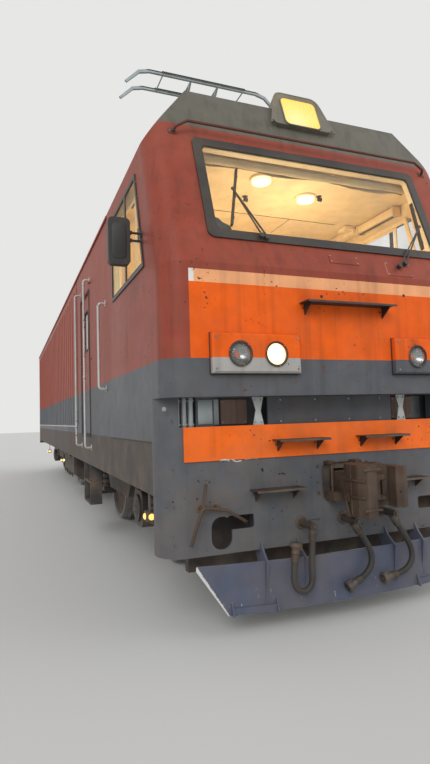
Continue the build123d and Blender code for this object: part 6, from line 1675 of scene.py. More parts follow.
@dataclass
class DriverSeats:
    """Pads and backs of the two seats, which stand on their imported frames."""

    offset: float = 0.72
    pad_low: Triple = (-0.23, -6.89, 2.38)
    pad_high: Triple = (0.23, -6.41, 2.49)
    back_low: Triple = (-0.23, -6.52, 2.50)
    back_high: Triple = (0.23, -6.41, 3.11)

    def moved(self, corner: Triple, side: int) -> Triple:
        """A corner of a pad on that side's seat."""
        return corner[0] + side * self.offset, corner[1], corner[2]

    def build(self) -> None:
        """Makes the four cushions."""
        made = []
        for name, side in (("left", -1), ("right", 1)):
            x = side * self.offset
            pad = Cushion(f"seat_pad_{name}", self.moved(self.pad_low, side),
                          self.moved(self.pad_high, side), DOWNWARDS, (x - 0.11, x + 0.11), 0)
            back = Cushion(f"seat_back_{name}", self.moved(self.back_low, side),
                           self.moved(self.back_high, side), BEHIND, (2.66, 2.80, 2.94), 2)
            made += [pad.build(), back.build()]
        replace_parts(made[0], "seat_cushions")


@dataclass
class Bellows:
    """The rubber gangway at the rear, pleated between its two end frames."""

    start: float = 8.05
    pleats: int = 5
    pitch: float = 0.08
    half: float = 0.56
    low: float = 1.41
    high: float = 3.72
    deep: float = 0.046
    wall: float = 0.014
    corner: float = 0.12
    around: int = 96

    def loop(self, share: float, out: float, y: float) -> Vector:
        """A point of the gangway's section.

        Args:
            share: Share of the way round.
            out: Distance outwards from the inner line.
            y: Place along the locomotive.

        Returns:
            The point.
        """
        wide, tall = self.half, (self.high - self.low) / 2
        r = self.corner
        runs = [2 * (tall - r), math.pi * r / 2, 2 * (wide - r), math.pi * r / 2] * 2
        left = share % 1.0 * sum(runs)
        corners = ((wide, r - tall), (wide - r, tall - r), (wide - r, tall), (r - wide, tall - r),
                   (-wide, tall - r), (r - wide, r - tall), (r - wide, -tall), (wide - r, r - tall))
        ahead = ((0, 1), 0, (-1, 0), 90, (0, -1), 180, (1, 0), 270)
        index = 0
        while left > runs[index] and index < 7:
            left -= runs[index]
            index += 1
        here, way = corners[index], ahead[index]
        if isinstance(way, tuple):
            x, z = here[0] + way[0] * left, here[1] + way[1] * left
            normal = (way[1], -way[0])
        else:
            turn = math.radians(way) + left / r
            normal = (math.cos(turn), math.sin(turn))
            x, z = here[0] + normal[0] * r, here[1] + normal[1] * r
        return Vector((x + normal[0] * out, y, (self.low + self.high) / 2 + z + normal[1] * out))

    def skin(self, shape: Shape) -> None:
        """Adds the pleated wall: its outer skin and back along its inner one, both ends closed."""
        part = bmesh.new()
        rings = self.pleats * 12
        rows = 2 * rings + 2
        bmesh.ops.create_grid(part, x_segments=self.around, y_segments=rows, size=0.5)
        for vert in part.verts:
            share, step = vert.co.x + 0.5, round((vert.co.y + 0.5) * rows) % rows
            inner = step > rings
            along = (rows - 1 - step if inner else step) / rings
            wave = abs(math.sin(math.pi * self.pleats * along)) ** 0.6
            sag = 0.004 * noise.noise(Vector((share % 1.0 * 9.0, along * 6.0, 1.0)))
            out = self.deep * wave + sag - (self.wall if inner else 0.0)
            vert.co = self.loop(share, out, self.start + along * self.pleats * self.pitch)
        bmesh.ops.remove_doubles(part, verts=part.verts, dist=1e-5)
        bmesh.ops.recalc_face_normals(part, faces=part.faces)
        shape.take(part)

    def build(self) -> None:
        """Makes the gangway with its end frames and their bolts."""
        shape = Shape()
        self.skin(shape)
        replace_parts(shape.done("gangway_pleats", "carbody", Paint.bellows, sharp=70.0),
                    "gangway_bellows")
        frames = Shape()
        end = self.start + self.pleats * self.pitch
        for y in (self.start + 0.009, end - 0.009):
            points = [tuple(self.loop(step / 48, 0.006, y)) for step in range(49)]
            frames.pipe(points, 0.011, bend=0.01)
        spots = [self.loop(step / 40, 0.024, end - 0.009) for step in range(40)]
        middle = Vector((0.0, end - 0.009, (self.low + self.high) / 2))
        frames.bolts([seat(tuple(p - (p - middle).normalized() * 0.008), tuple(p - middle), BEHIND)
                      for p in spots], Bolt.FOOT_BOLT, slot=1)
        frames.done("gangway_frames", "carbody", Paint.black, Paint.bolt)


@dataclass
class CabRoom:
    """Fittings inside the cab: ceiling, side windows, walls and desk."""

    ceiling_z: float = 3.93
    wall_x: float = 1.478
    fixtures: Outline = ((-0.287, -6.824), (0.459, -7.056))
    screw_xs: Places = (-1.0, -0.2, 0.2, 0.9)
    screw_ys: Span = (-6.47, -6.39)
    window: Outline = ((-7.44, 2.915), (-7.20, 3.765), (-6.165, 3.765), (-6.165, 2.915))
    sash: Outline = ((-7.02, 2.955), (-7.02, 3.725), (-6.20, 3.725), (-6.20, 2.955))
    screens: Places = (-0.62, 0.0, 0.62)
    screen_place: Span = (-7.735, 2.885)
    levers: Places = (-1.0, -0.44, 0.44, 1.0)
    wall_joints: Places = (-1.02, -0.52, 0.52, 1.02)
    wall_rails: Span = (1.98, 3.88)
    coat_rail: Span = (0.62, 0.95)
    coat_rail_z: float = 3.30
    hooks: Triple = (0.70, 0.78, 0.86)
    gauges: Places = (-0.98, -0.31, 0.31, 0.98)
    gauge_shifts: Span = (-0.055, 0.055)
    gauge_ticks: int = 9
    keys: Places = (-0.78, -0.62, 0.62, 0.78)
    key_rows: Triple = (-7.50, -7.44, -7.30)
    menu_keys: int = 8
    housings: tuple[Slab, ...] = (
        ((0.024, 0.030, 0.13), (1.472, -6.99, 3.34), 0.005, 1),
        ((0.10, 0.62, 0.095), (1.425, -6.78, 3.865), 0.018, 0),
        ((0.11, 0.018, 0.108), (1.422, -7.10, 3.865), 0.006, 0),
        ((0.11, 0.018, 0.108), (1.422, -6.46, 3.865), 0.006, 0),
    )
    boxes: tuple[Slab, ...] = (
        ((0.11, 0.52, 0.075), (1.40, -6.16, 3.885), 0.010, 0),
        ((0.15, 0.16, 0.050), (1.30, -6.36, 3.900), 0.008, 0),
        ((0.09, 0.12, 0.070), (1.36, -6.02, 3.825), 0.008, 0),
    )
    joints: tuple[Slab, ...] = (
        ((0.006, 0.48, 0.003), (-0.60, -6.155, 3.9285), 0.001, 2),
        ((0.006, 0.48, 0.003), (0.48, -6.155, 3.9285), 0.001, 2),
        ((2.2, 0.007, 0.004), (0.0, -6.40, 3.928), 0.0012, 2),
    )
    bezel: Outline = (
        (0.0915, 0.0), (0.114, 0.0), (0.116, 0.006), (0.108, 0.015), (0.095, 0.018),
        (0.0915, 0.012),
    )
    lamp_foot: Outline = (
        (0.0, 0.0), (0.030, 0.0), (0.028, 0.006), (0.008, 0.010), (0.008, 0.024), (0.0, 0.024),
    )
    knob: Outline = (
        (0.0, -0.030), (0.018, -0.026), (0.026, -0.006), (0.024, 0.014), (0.012, 0.026),
        (0.0, 0.028),
    )
    key: Outline = ((0.0, 0.0), (0.017, 0.0), (0.017, 0.006), (0.011, 0.007), (0.010, 0.013),
                    (0.0, 0.014))

    def ceiling(self) -> None:
        """Bezels of the lamps, small reading lamps beside them, and panel joints."""
        shape = Shape()
        for x, y in CEILING_LAMPS:
            on = seat((x, y, self.ceiling_z), DOWNWARDS)
            shape.lathe(self.bezel, on, steps=36)
            shape.bolts(around(on, (30, 150, 270), 0.103, 0.013), Bolt.SCREW, slot=1)
        for x, y in self.fixtures:
            on = seat((x, y, self.ceiling_z), DOWNWARDS)
            shape.lathe(self.lamp_foot, on, steps=20, slot=2)
            shape.rod((-0.020, 0, 0.034), (0.026, 0.008, 0.040), 0.017, 16, 0.022, on, slot=2,
                      edge=0.003)
        shape.slabs(self.joints)
        screws = [seat((x, y, self.ceiling_z), DOWNWARDS) for x in self.screw_xs
                  for y in self.screw_ys]
        shape.bolts(screws, Bolt.SCREW, slot=1)
        shape.done("ceiling_fittings", "carbody", Paint.trim, Paint.bolt, Paint.knob)

    def windows(self) -> None:
        """Pale inner frames of the side windows, their sliding sashes, and blind housings."""
        shape = Shape()
        for side in SIDES:
            wall = upright(side * self.wall_x, -side)
            shape.border(self.window, 0.050, 0.016, wall, edge=0.003)
            shape.border(self.sash, 0.032, 0.014, upright(side * (self.wall_x + 0.016), -side),
                         edge=0.003)
            shape.slabs(self.housings, side)
            shape.rod((side * 1.40, -7.08, 3.806), (side * 1.40, -6.48, 3.806), 0.009, edge=0.002,
                      slot=1)
        shape.slabs(self.boxes)
        shape.done("side_window_trim", "carbody", Paint.trim, Paint.knob)

    def wall(self) -> None:
        """Joints of the rear wall's panels with their trim strips, and a coat rail."""
        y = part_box("cab_bulkhead")[0][1]
        shape = Shape()
        for x in self.wall_joints:
            shape.block((0.030, 0.006, 1.85), (x, y - 0.003, 2.93), edge=0.002)
        for z in self.wall_rails:
            for side in (1, -1):
                shape.block((0.90, 0.008, 0.040), (side * 0.93, y - 0.004, z), edge=0.002)
        (left, right), z = self.coat_rail, self.coat_rail_z
        shape.pipe([(left, y, z), (left, y - 0.05, z), (right, y - 0.05, z), (right, y, z)], 0.008,
                   slot=1)
        for x in self.hooks:
            shape.pipe([(x, y - 0.05, 3.296), (x, y - 0.056, 3.26), (x, y - 0.085, 3.25),
                        (x, y - 0.09, 3.28)],
                       0.004, slot=1, bend=0.012)
        shape.done("cab_wall_trim", "carbody", Paint.trim, Paint.rail)

    def dial(self, shape: Shape, on: Matrix, radius: float) -> None:
        """Adds a round gauge with its rim, face, ticks and hand."""
        r = radius
        rim = [(r - 0.006, 0.0), (r, 0.0), (r, 0.014), (r - 0.004, 0.018), (r - 0.007, 0.014)]
        shape.lathe(rim, on, 28, slot=1)
        shape.lathe([(0.0, 0.0), (r - 0.005, 0.0), (r - 0.005, 0.006), (0.0, 0.006)], on, 28,
                    slot=3)
        for step in range(self.gauge_ticks):
            turn = Matrix.Rotation(math.radians(-120 + 30 * step), 4, "Z")
            shape.block((0.0016, 0.007, 0.001), (0, r - 0.012, 0.0066), on @ turn, slot=1)
        hand = Matrix.Rotation(math.radians(70), 4, "Z")
        shape.block((0.0022, r * 0.72, 0.0012), (0, r * 0.26, 0.0085), on @ hand, slot=1)
        shape.rod((0, 0, 0.006), (0, 0, 0.011), 0.005, 12, on=on, slot=1)

    def desk(self) -> None:
        """Screens, gauges, keys and lever knobs of the desk."""
        shape = Shape()
        y, z = self.screen_place
        for x in self.screens:
            on = on_node("desk", (x, y, z))
            shape.border(rounded(0.430, 0.140, 0.012), 0.016, 0.010, on, edge=0.002, slot=1)
            shape.plate(rounded(0.400, 0.110, 0.004), 0.004, on, slot=2)
            for step in range(self.menu_keys):
                shape.block((0.020, 0.009, 0.004), (-0.147 + 0.042 * step, -0.062, 0.010), on,
                            edge=0.0015)
        for x in self.gauges:
            for shift in self.gauge_shifts:
                self.dial(shape, on_node("desk", (x + shift, y, z)), 0.044)
        for x in self.levers:
            found = on_node("desk", (x, -7.37, 3.2))
            shape.lathe(self.knob, Matrix.Translation(found.translation), 20, slot=1)
        for x in self.keys:
            for row_y in self.key_rows:
                on = on_node("desk", (x, row_y, 2.9))
                shape.lathe(self.key, on, 16, slot=1)
        shape.pipe([(-0.30, -7.30, 2.83), (-0.30, -7.30, 2.90), (-0.22, -7.22, 2.92)], 0.006,
                   slot=1, bend=0.03)
        shape.done("desk_fittings", "carbody", Paint.trim, Paint.knob, Paint.screen, Paint.dial)

    def build(self) -> None:
        """Makes all fittings of the cab."""
        self.ceiling()
        self.windows()
        self.wall()
        self.desk()


@dataclass
class FrontFace:
    """Seals, covers, steps, wipers and rails on the cab's front."""

    face: LeaningFace = field(default_factory=LeaningFace)
    glass_half: float = 1.075
    glass_low: float = 3.105
    glass_high: float = 3.925
    screw_out: float = 0.042
    covers: tuple[tuple[float, float, float, float], ...] = (
        (0.050, 0.135, 0.290, 0.085), (0.610, 0.085, 0.270, 0.140),
    )
    steps: tuple[tuple[float, float, float, float], ...] = (
        (0.85, 0.0, 2.53, -8.05), (0.46, -0.40, 1.45, -7.89), (0.46, 0.40, 1.45, -7.89),
        (0.43, -0.62, 1.07, -7.88), (0.43, 0.62, 1.07, -7.88),
    )
    reach: float = 0.14
    pivots: Outline = ((-0.660, 0.262), (-0.705, 0.276), (0.605, 0.105), (0.680, 0.140))
    blades: tuple[tuple[Span, Span], ...] = (((-0.798, 0.960), (-0.944, 0.356)),
                                             ((1.012, 0.862), (0.955, 0.330)))
    clip_shares: Triple = (0.14, 0.5, 0.86)
    lift: float = 0.034
    bar_half: float = 1.31
    bar_height: float = 4.03
    holes: Outline = ((0.622, 2.654), (-0.215, 2.60))
    ribs: int = 8
    rib_pitch: float = 0.015
    corner: Outline = (
        (-1.072, -0.42), (-0.925, -0.42), (-0.940, -0.365), (-1.000, -0.335), (-1.030, -0.300),
        (-1.072, -0.290),
    )
    hole_rim: Outline = ((0.006, 0.0), (0.013, 0.0), (0.012, 0.003), (0.006, 0.002))
    hole: Outline = ((0.0, 0.0), (0.0065, 0.0), (0.0065, 0.001), (0.0, 0.001))

    def seal(self) -> None:
        """Rubber bead and screws round the windshield, and the dark plate in its corner."""
        low, high = self.face.up(self.glass_low), self.face.up(self.glass_high)
        on = self.face.frame(0.0, (low + high) / 2, 0.004)
        ring = rounded(2 * self.glass_half + 0.006, high - low + 0.006, 0.055, 5)
        shape = Shape()
        points = [tuple(on @ Vector((x, y, 0.0))) for x, y in [*ring, ring[0]]]
        shape.pipe(points, 0.009, bend=0.004)
        above, aside = (high - low) / 2 + self.screw_out, self.glass_half + self.screw_out
        screws = pattern(on, row(-1.04, 1.04, 14), (-above, above), 0.009)
        for y in row(-0.32, 0.32, 5):
            screws += pattern(on, (-aside, aside), (y,), 0.009)
        shape.bolts(screws, Bolt.SCREW, slot=1)
        shape.plate(self.corner, 0.020, on @ Matrix.Translation((0, 0, -0.045)), slot=1)
        shape.done("windshield_seal", "carbody", Paint.seal, Paint.rim)

    def cover_plates(self) -> None:
        """Screws of the covers under the windshield, and two small round holes."""
        shape = Shape()
        for x, up, wide, tall in self.covers:
            on = self.face.frame(x, up, 0.0042)
            aside, above = wide / 2 - 0.014, tall / 2 - 0.014
            shape.bolts(pattern(on, (-aside, aside), (-above, above)), Bolt.CLIP_BOLT, slot=1)
        for x, z in self.holes:
            on = seat((x, self.face.break_y, z), AHEAD)
            shape.lathe(self.hole_rim, on, 16, slot=2)
            shape.lathe(self.hole, on, 16, slot=2)
        shape.done("front_cover_screws", "carbody", Paint.body, Paint.bolt, Paint.seal)

    def treads(self) -> None:
        """Raised ribs and folded front edges of the steps."""
        shape = Shape()
        for wide, x, z, y in self.steps:
            for step in range(self.ribs):
                along = y - 0.016 - self.rib_pitch * step
                shape.block((wide - 0.03, 0.005, 0.004), (x, along, z + 0.0055), edge=0.0012)
            shape.block((wide, 0.005, 0.016), (x, y - self.reach - 0.001, z - 0.002), edge=0.0015,
                        slot=1)
            for side in SIDES:
                at = x + side * (wide / 2 - 0.05)
                foot = seat((at, y - 0.001, z - 0.035), AHEAD)
                shape.bolts(pattern(foot, (-0.018, 0.018)), Bolt.FOOT_BOLT, slot=1)
        shape.done("step_treads", "carbody", Paint.lever, Paint.gear)

    def wipers(self) -> None:
        """Pivot caps, clips and rubber blades of the wipers."""
        shape = Shape()
        for x, up in self.pivots:
            on = self.face.frame(x, up, 0.0)
            shape.lathe([(0.0, 0.0), (0.022, 0.0), (0.021, 0.010), (0.014, 0.016),
                         (0.012, self.lift + 0.006), (0.008, self.lift + 0.010),
                         (0.0, self.lift + 0.011)], on, 20)
        for (xa, ua), (xb, ub) in self.blades:
            for share in self.clip_shares:
                x, up = xa + (xb - xa) * share, ua + (ub - ua) * share
                on = self.face.frame(x, up, self.lift)
                shape.block((0.020, 0.044, 0.012), (0, 0, -0.004), on, edge=0.003)
            ends = [self.face.frame(x, up, self.lift - 0.016).translation
                    for x, up in ((xa, ua), (xb, ub))]
            shape.pipe([tuple(p) for p in ends], 0.0045, slot=1)
        shape.done("wiper_parts", "carbody", Paint.black, Paint.seal)

    def bar(self) -> None:
        """Foot plates and bolts of the bar over the windshield."""
        shape = Shape()
        up = self.face.up(self.bar_height)
        for side in SIDES:
            on = self.face.frame(side * self.bar_half, up, 0.0)
            shape.plate(rounded(0.075, 0.055, 0.012), 0.006, on, edge=0.0015)
            shape.bolts(pattern(on, (-0.026, 0.026), up=0.006), Bolt.FOOT_BOLT, slot=1)
        shape.done("bar_feet", "carbody", Paint.rail, Paint.bolt)

    def build(self) -> None:
        """Makes everything on the face."""
        self.seal()
        self.cover_plates()
        self.treads()
        self.wipers()
        self.bar()


@dataclass
class FrontPlate:
    """Fastenings of the front plate, its recess, the plow and the uncoupling lever."""

    y: float = -7.88
    brackets: Places = (-0.715, 0.715)
    bracket_y: float = -7.8305
    bracket_zs: Span = (1.600, 1.778)
    posts: Triple = (1.39, 1.335, 1.28)
    post_y: float = -7.79
    clip_zs: Span = (1.595, 1.780)
    zinc_plate: Slab = ((0.120, 0.006, 0.190), (1.165, -7.813, 1.690), 0.002, 0)
    narrow_x: float = 1.04
    rusty_x: float = 0.86
    cover_bolts: Places = (-0.50, -0.17, 0.17, 0.50)
    arms: Places = (0.430, 0.755)
    plow_y: float = -7.86
    plow_bow: float = 0.13
    plow_half: float = 1.29
    lever_eyes: Places = (-1.251, -1.130)
    lever_z: float = 0.971
    frame_bolts: Outline = ((0.215, 1.00), (0.215, 1.22))
    edge_bolts: Outline = ((1.46, 0.72), (1.46, 1.00), (1.46, 1.27), (1.46, 1.63))
    rivet: Span = (-1.514, 1.719)
    hose_x: tuple[tuple[float, float], ...] = ((-0.391, 0.78), (0.012, 0.78), (0.400, 0.805))
    clip: Outline = ((0.0245, -0.008), (0.030, -0.008), (0.031, 0.0), (0.030, 0.008),
                     (0.0245, 0.008))
    flange: Outline = ((0.031, 0.0), (0.052, 0.0), (0.052, 0.008), (0.046, 0.011), (0.031, 0.011))

    def recess(self) -> None:
        """Bolts, clips, zinc plates and rusty sheets among the posts and brackets."""
        shape = Shape()
        for x in self.brackets:
            for z in self.bracket_zs:
                shape.bolts(pattern(seat((x, self.bracket_y, z), AHEAD), (-0.028, 0.028)),
                            Bolt.BRACKET_BOLT)
        for side in SIDES:
            for x in self.posts:
                for z in self.clip_zs:
                    shape.lathe(self.clip, Matrix.Translation((side * x, self.post_y, z)), 20)
            shape.slabs((self.zinc_plate,), side)
            zinc = seat((side * self.zinc_plate[1][0], -7.816, 1.690), AHEAD)
            shape.bolts(pattern(zinc, (-0.05, 0.05), (-0.075, 0.075)), Bolt.CLIP_BOLT)
            shape.plate(rounded(0.105, 0.205, 0.006), 0.004,
                        seat((side * self.narrow_x, -7.648, 1.69), AHEAD))
            rusty = seat((side * self.rusty_x, -7.650, 1.688), AHEAD)
            shape.plate(rounded(0.235, 0.200, 0.008), 0.020, rusty, slot=1)
            foot = seat((side * self.rusty_x, -7.670, 1.605), AHEAD)
            shape.bolts(pattern(foot, (-0.10, 0.10), (0.0, 0.165)), Bolt.CLIP_BOLT)
        for x in self.cover_bolts:
            shape.bolts(pattern(seat((x, -7.810, 1.60), AHEAD), (0.0,), (0.0, 0.175)),
                        Bolt.CLIP_BOLT)
        shape.done("recess_bolts", "carbody", Paint.zinc, Paint.rusty)

    def plate(self) -> None:
        """Weld beads, cock flanges, feet of the uncoupling lever's bearings and a bright rivet."""
        shape = Shape()
        for x, z in self.hose_x:
            on = seat((x, self.y, z), AHEAD)
            shape.lathe(self.flange, on, 28, slot=1)
            shape.bolts(around(on, (45, 135, 225, 315), 0.042, 0.010), Bolt.FLANGE_BOLT, slot=1)
            shape.rod((x, -8.075, z), (x, -8.092, z), 0.018, 6, slot=1, edge=0.002)
        for x in self.lever_eyes:
            on = seat((x, self.y, self.lever_z), AHEAD)
            shape.plate(rounded(0.075, 0.055, 0.010), 0.006, on, edge=0.0015)
            shape.bolts(pattern(on, (-0.026, 0.026), up=0.006), Bolt.FOOT_BOLT)
        opening = rounded(0.352, 0.312, 0.050, 4, (0.0, 1.09))
        ring = [(x, self.y - 0.002, z) for x, z in [*opening, opening[0]]]
        shape.pipe(ring, 0.006, slot=0, bend=0.004)
        for side in SIDES:
            shape.bolts([seat((side * x, self.y, z), AHEAD) for x, z in self.frame_bolts],
                        Bolt.FRAME_BOLT)
            edge = [seat((side * x, self.y + 0.003, z), AHEAD) for x, z in self.edge_bolts]
            shape.bolts(edge, Bolt.FOOT_BOLT, slot=2)
        shape.bolts([seat((self.rivet[0], self.y, self.rivet[1]), AHEAD)], Bolt.RIVET, slot=3)
        shape.done("plate_fittings", "carbody", Paint.gear, Paint.fitting, Paint.plate, Paint.zinc)

    def bow(self, x: float) -> float:
        """Place along the locomotive of the plow's front at a place across."""
        return self.plow_y - self.plow_bow * (1 - (x / self.plow_half) ** 2)

    def plow(self) -> None:
        """Weld beads along the plow's arms and fins, and bolts at their roots."""
        shape = Shape()
        for side in SIDES:
            for x in self.arms:
                bow = self.bow(x) - 0.008
                for dx in (-0.011, 0.011):
                    shape.pipe([(side * x + dx, bow, 0.52), (side * x + dx, bow, 0.235)], 0.0035)
                shape.bolts([seat((side * x + 0.008 * s, -7.80, z), (s, 0, 0)) for z in (0.66, 0.74)
                             for s in SIDES], Bolt.PLOW_BOLT, slot=1)
        shape.pipe([(x, self.bow(x), 0.5305) for x in row(-1.285, 1.285, 33)], 0.0085, bend=0.004)
        shape.done("plow_welds", "carbody", Paint.plow, Paint.bolt)

    def build(self) -> None:
        """Makes everything on the plate."""
        self.recess()
        self.plate()
        self.plow()


@dataclass
class CouplerCasting:
    """Cast detail of both automatic couplers, the rear one turned half round."""

    face: float = -8.5
    height: float = 1.09
    left: Outline = ((-0.120, -8.115), (-0.168, -8.175), (-0.212, -8.262), (-0.219, -8.410),
                     (-0.196, -8.480))
    right: Outline = ((0.105, -8.13), (0.150, -8.186), (0.194, -8.244), (0.217, -8.375),
                      (0.200, -8.440))
    seams: Span = (-0.060, 0.060)
    ridges: tuple[Triple, ...] = ((-0.213, 0.895, 1.255), (-0.187, 0.900, 1.258))
    ridge_y: float = -8.33
    arm_turn: float = 0.35
    strap_x: float = 0.125
    strap_y: float = -7.95
    hub: Outline = (
        (0.0, 0.0), (0.045, 0.0), (0.045, 0.012), (0.034, 0.018), (0.020, 0.020), (0.018, 0.034),
        (0.0, 0.036),
    )
    arm_pin: Outline = ((0.0, 0.018), (0.016, 0.018), (0.016, 0.036), (0.0, 0.036))
    pin_head: Outline = ((0.0, 0.0), (0.034, 0.0), (0.034, 0.016), (0.026, 0.022), (0.0, 0.022))
    nut: Outline = ((0.0, -0.018), (0.022, -0.018), (0.022, 0.0), (0.0, 0.0))

    def end(self, rigid: Shape, on: Matrix) -> None:
        """Adds one coupler's detail.

        Args:
            rigid: The shape that grows.
            on: Turn that takes the front coupler to this end.
        """
        for up in self.seams:
            for line, radius in ((self.left, 0.010), (self.right, 0.008)):
                rigid.pipe([tuple(on @ Vector((x, y, self.height + up))) for x, y in line], radius,
                           bend=0.03)
        for x, low, high in self.ridges:
            rigid.pipe([tuple(on @ Vector((x, self.ridge_y, z))) for z in (low, high)], 0.007)
        hub = on @ seat((-0.206, -8.27, 1.015), (-1, 0.06, 0))
        rigid.lathe(self.hub, hub, 24)
        arm = hub @ Matrix.Rotation(self.arm_turn, 4, "Z")
        rigid.block((0.026, 0.150, 0.014), (0.0, -0.066, 0.026), arm, edge=0.004)
        rigid.lathe(self.arm_pin, arm @ Matrix.Translation((0, -0.128, 0)), 14)
        rigid.block((0.050, 0.028, 0.110), (0.010, self.face + 0.078, self.height), on, edge=0.010,
                    slot=1)
        for z in (self.height - 0.145, self.height + 0.145):
            rigid.block((0.150, 0.012, 0.020), (-0.148, self.face - 0.001, z), on, edge=0.004)
        for x in (-0.075, 0.075):
            for y in (-8.255, -8.145):
                rigid.bolts([on @ seat((x, y, self.height + 0.164), UPWARDS)], Bolt.CASTING_BOLT)
        pin = on @ Matrix.Translation((0.0, -8.03, self.height + 0.080))
        rigid.lathe(self.pin_head, pin, 22)
        for side in SIDES:
            x, y = side * self.strap_x, self.strap_y
            rigid.rod((x, y, 0.940), (x, y, 1.235), 0.013, on=on, edge=0.002)
            rigid.block((0.070, 0.085, 0.026), (x, y + 0.025, 1.248), on, edge=0.005)
            rigid.lathe(self.nut, on @ Matrix.Translation((x, y, 0.945)), 6)

    def build(self) -> None:
        """Makes the detail at both ends."""
        rigid = Shape()
        self.end(rigid, Matrix())
        self.end(rigid, Matrix.Rotation(math.pi, 4, "Z"))
        rigid.done("coupler_castings", "carbody", Paint.cast, Paint.grease)


@dataclass
class SideDress:
    """Trim of the two side walls, their doors, windows and mirrors."""

    wall_x: float = 1.538
    door_span: Span = (-4.30, -3.46)
    door_low: float = 1.47
    door_high: float = 3.45
    door_x: float = 1.523
    pane_middle: Span = (-3.88, 2.95)
    glass: Outline = ((-7.480, 2.930), (-7.245, 3.750), (-6.180, 3.750), (-6.180, 2.930))
    rails: tuple[tuple[float, float, float], ...] = ((-4.36, 1.29, 3.59), (-3.40, 1.29, 3.59),
                                                     (-5.59, 2.01, 3.00))
    trims: tuple[Slab, ...] = (
        ((0.022, 13.85, 0.016), (1.542, 1.12, 3.944), 0.005, 0),
        ((0.010, 13.85, 0.030), (1.550, 1.12, 3.948), 0.003, 0),
        ((0.005, 10.9, 0.022), (1.5402, 2.56, 1.572), 0.001, 2),
        ((0.005, 0.012, 1.84), (1.540, -5.86, 3.01), 0.0015, 0),
        ((0.005, 0.012, 1.84), (1.540, -2.94, 3.01), 0.0015, 0),
    )
    hinges: tuple[Slab, ...] = (
        ((0.030, 0.050, 0.020), (1.552, -4.42, 3.54), 0.004, 0),
        ((0.030, 0.050, 0.020), (1.552, -4.42, 2.50), 0.004, 0),
    )
    keyhole: Outline = ((0.006, 0.0), (0.014, 0.0), (0.013, 0.006), (0.006, 0.006))
    clamp: Outline = ((0.0105, 0.0), (0.026, 0.0), (0.024, 0.008), (0.0105, 0.010))

    def door_outline(self) -> list[Span]:
        """The door opening's outline in the wall's plane."""
        middle = sum(self.door_span) / 2, (self.door_low + self.door_high) / 2
        wide, tall = self.door_span[1] - self.door_span[0], self.door_high - self.door_low
        return rounded(wide + 0.004, tall + 0.004, 0.042, 4, middle)

    def walls(self, side: int, name: str) -> None:
        """Gutter, marking strip, seals and rail feet of one side."""
        shape = Shape()
        out = upright(side * self.wall_x, side)
        wide = [(y + (0.034 if y > -3.88 else -0.034), z + (0.034 if z > 2.4 else -0.034))
                for y, z in self.door_outline()]
        shape.border(wide, 0.034, 0.009, out, edge=0.003, slot=1)
        shape.slabs(self.trims, side)
        glass = [(y + (0.030 if y > -6.5 else -0.030), z + (0.030 if z > 3.3 else -0.030))
                 for y, z in self.glass]
        shape.border(self.glass, 0.014, 0.006, upright(side * 1.5505, side), edge=0.002, slot=1)
        screws = [outward(side, 1.5500, y, z) for y, z in midpoints(glass, 0.16)]
        shape.bolts(screws, Bolt.SCREW, slot=2)
        for y, low, high in self.rails:
            for z in (low, high):
                foot = outward(side, self.wall_x, y, z)
                shape.plate(rounded(0.052, 0.082, 0.014), 0.006, foot, edge=0.0015, slot=2)
                shape.bolts(pattern(foot, (0.0,), (-0.030, 0.030), 0.006), Bolt.FOOT_BOLT, slot=3)
        shape.slabs(self.hinges, side)
        shape.done(f"side_trim_{name}", "carbody", Paint.body, Paint.seal, Paint.rail, Paint.bolt)

    def door(self, side: int, name: str) -> None:
        """Glass, rubber, lock and edge trim of one side door."""
        shape = Shape()
        y, z = self.pane_middle
        plane = upright(side * self.door_x, side)
        shape.plate(rounded(0.416, 0.556, 0.058, 5, (y, z)), 0.004,
                    upright(side * (self.door_x - 0.0175), side))
        shape.border(rounded(0.460, 0.600, 0.080, 5, (y, z)), 0.030, 0.005, plane, edge=0.002,
                     slot=1)
        shape.plate(rounded(0.060, 0.140, 0.012, 3, (-3.545, 2.33)), 0.005, plane, edge=0.0015,
                    slot=2)
        on = outward(side, self.door_x + 0.005, -3.545, 2.305)
        shape.lathe(self.keyhole, on, 16, slot=2)
        screws = [outward(side, self.door_x + 0.005, -3.545 + dy, 2.33 + dz)
                  for dy in (-0.020, 0.020) for dz in (-0.058, 0.058)]
        shape.bolts(screws, Bolt.SCREW, slot=2)
        for low in (1.56, 2.02):
            panel = rounded(0.62, 0.36, 0.030, 3, (-3.88, low + 0.20))
            shape.border(panel, 0.016, 0.003, plane, edge=0.0012, slot=3)
        finishes = (Paint.door_glass, Paint.seal, Paint.rail, Paint.body)
        shape.done(f"door_trim_{name}", f"side_door_{name}", *finishes)

    def mirrors(self) -> None:
        """Glass and rubber rims of the mirrors, and clamps of their brackets."""
        shape = Shape()
        for side in SIDES:
            on = seat((side * 1.745, -7.430, 3.10), BEHIND)
            shape.plate(rounded(0.152, 0.352, 0.030), 0.0035, on)
            shape.border(rounded(0.176, 0.376, 0.040), 0.014, 0.006, on, edge=0.002, slot=1)
            back = seat((side * 1.745, -7.500, 3.10), AHEAD)
            shape.plate(rounded(0.120, 0.300, 0.040), 0.004, back, edge=0.003, slot=1)
            for z in (3.120, 3.185):
                shape.block((0.040, 0.034, 0.030), (side * 1.655, -7.465, z), edge=0.005, slot=1)
                shape.lathe(self.clamp, outward(side, 1.550, -7.465, z), 18, slot=1)
        shape.done("mirror_parts", "carbody", Paint.mirror, Paint.black)

    def build(self) -> None:
        """Makes both sides."""
        for side, name in ((-1, "left"), (1, "right")):
            self.walls(side, name)
            self.door(side, name)
        self.mirrors()


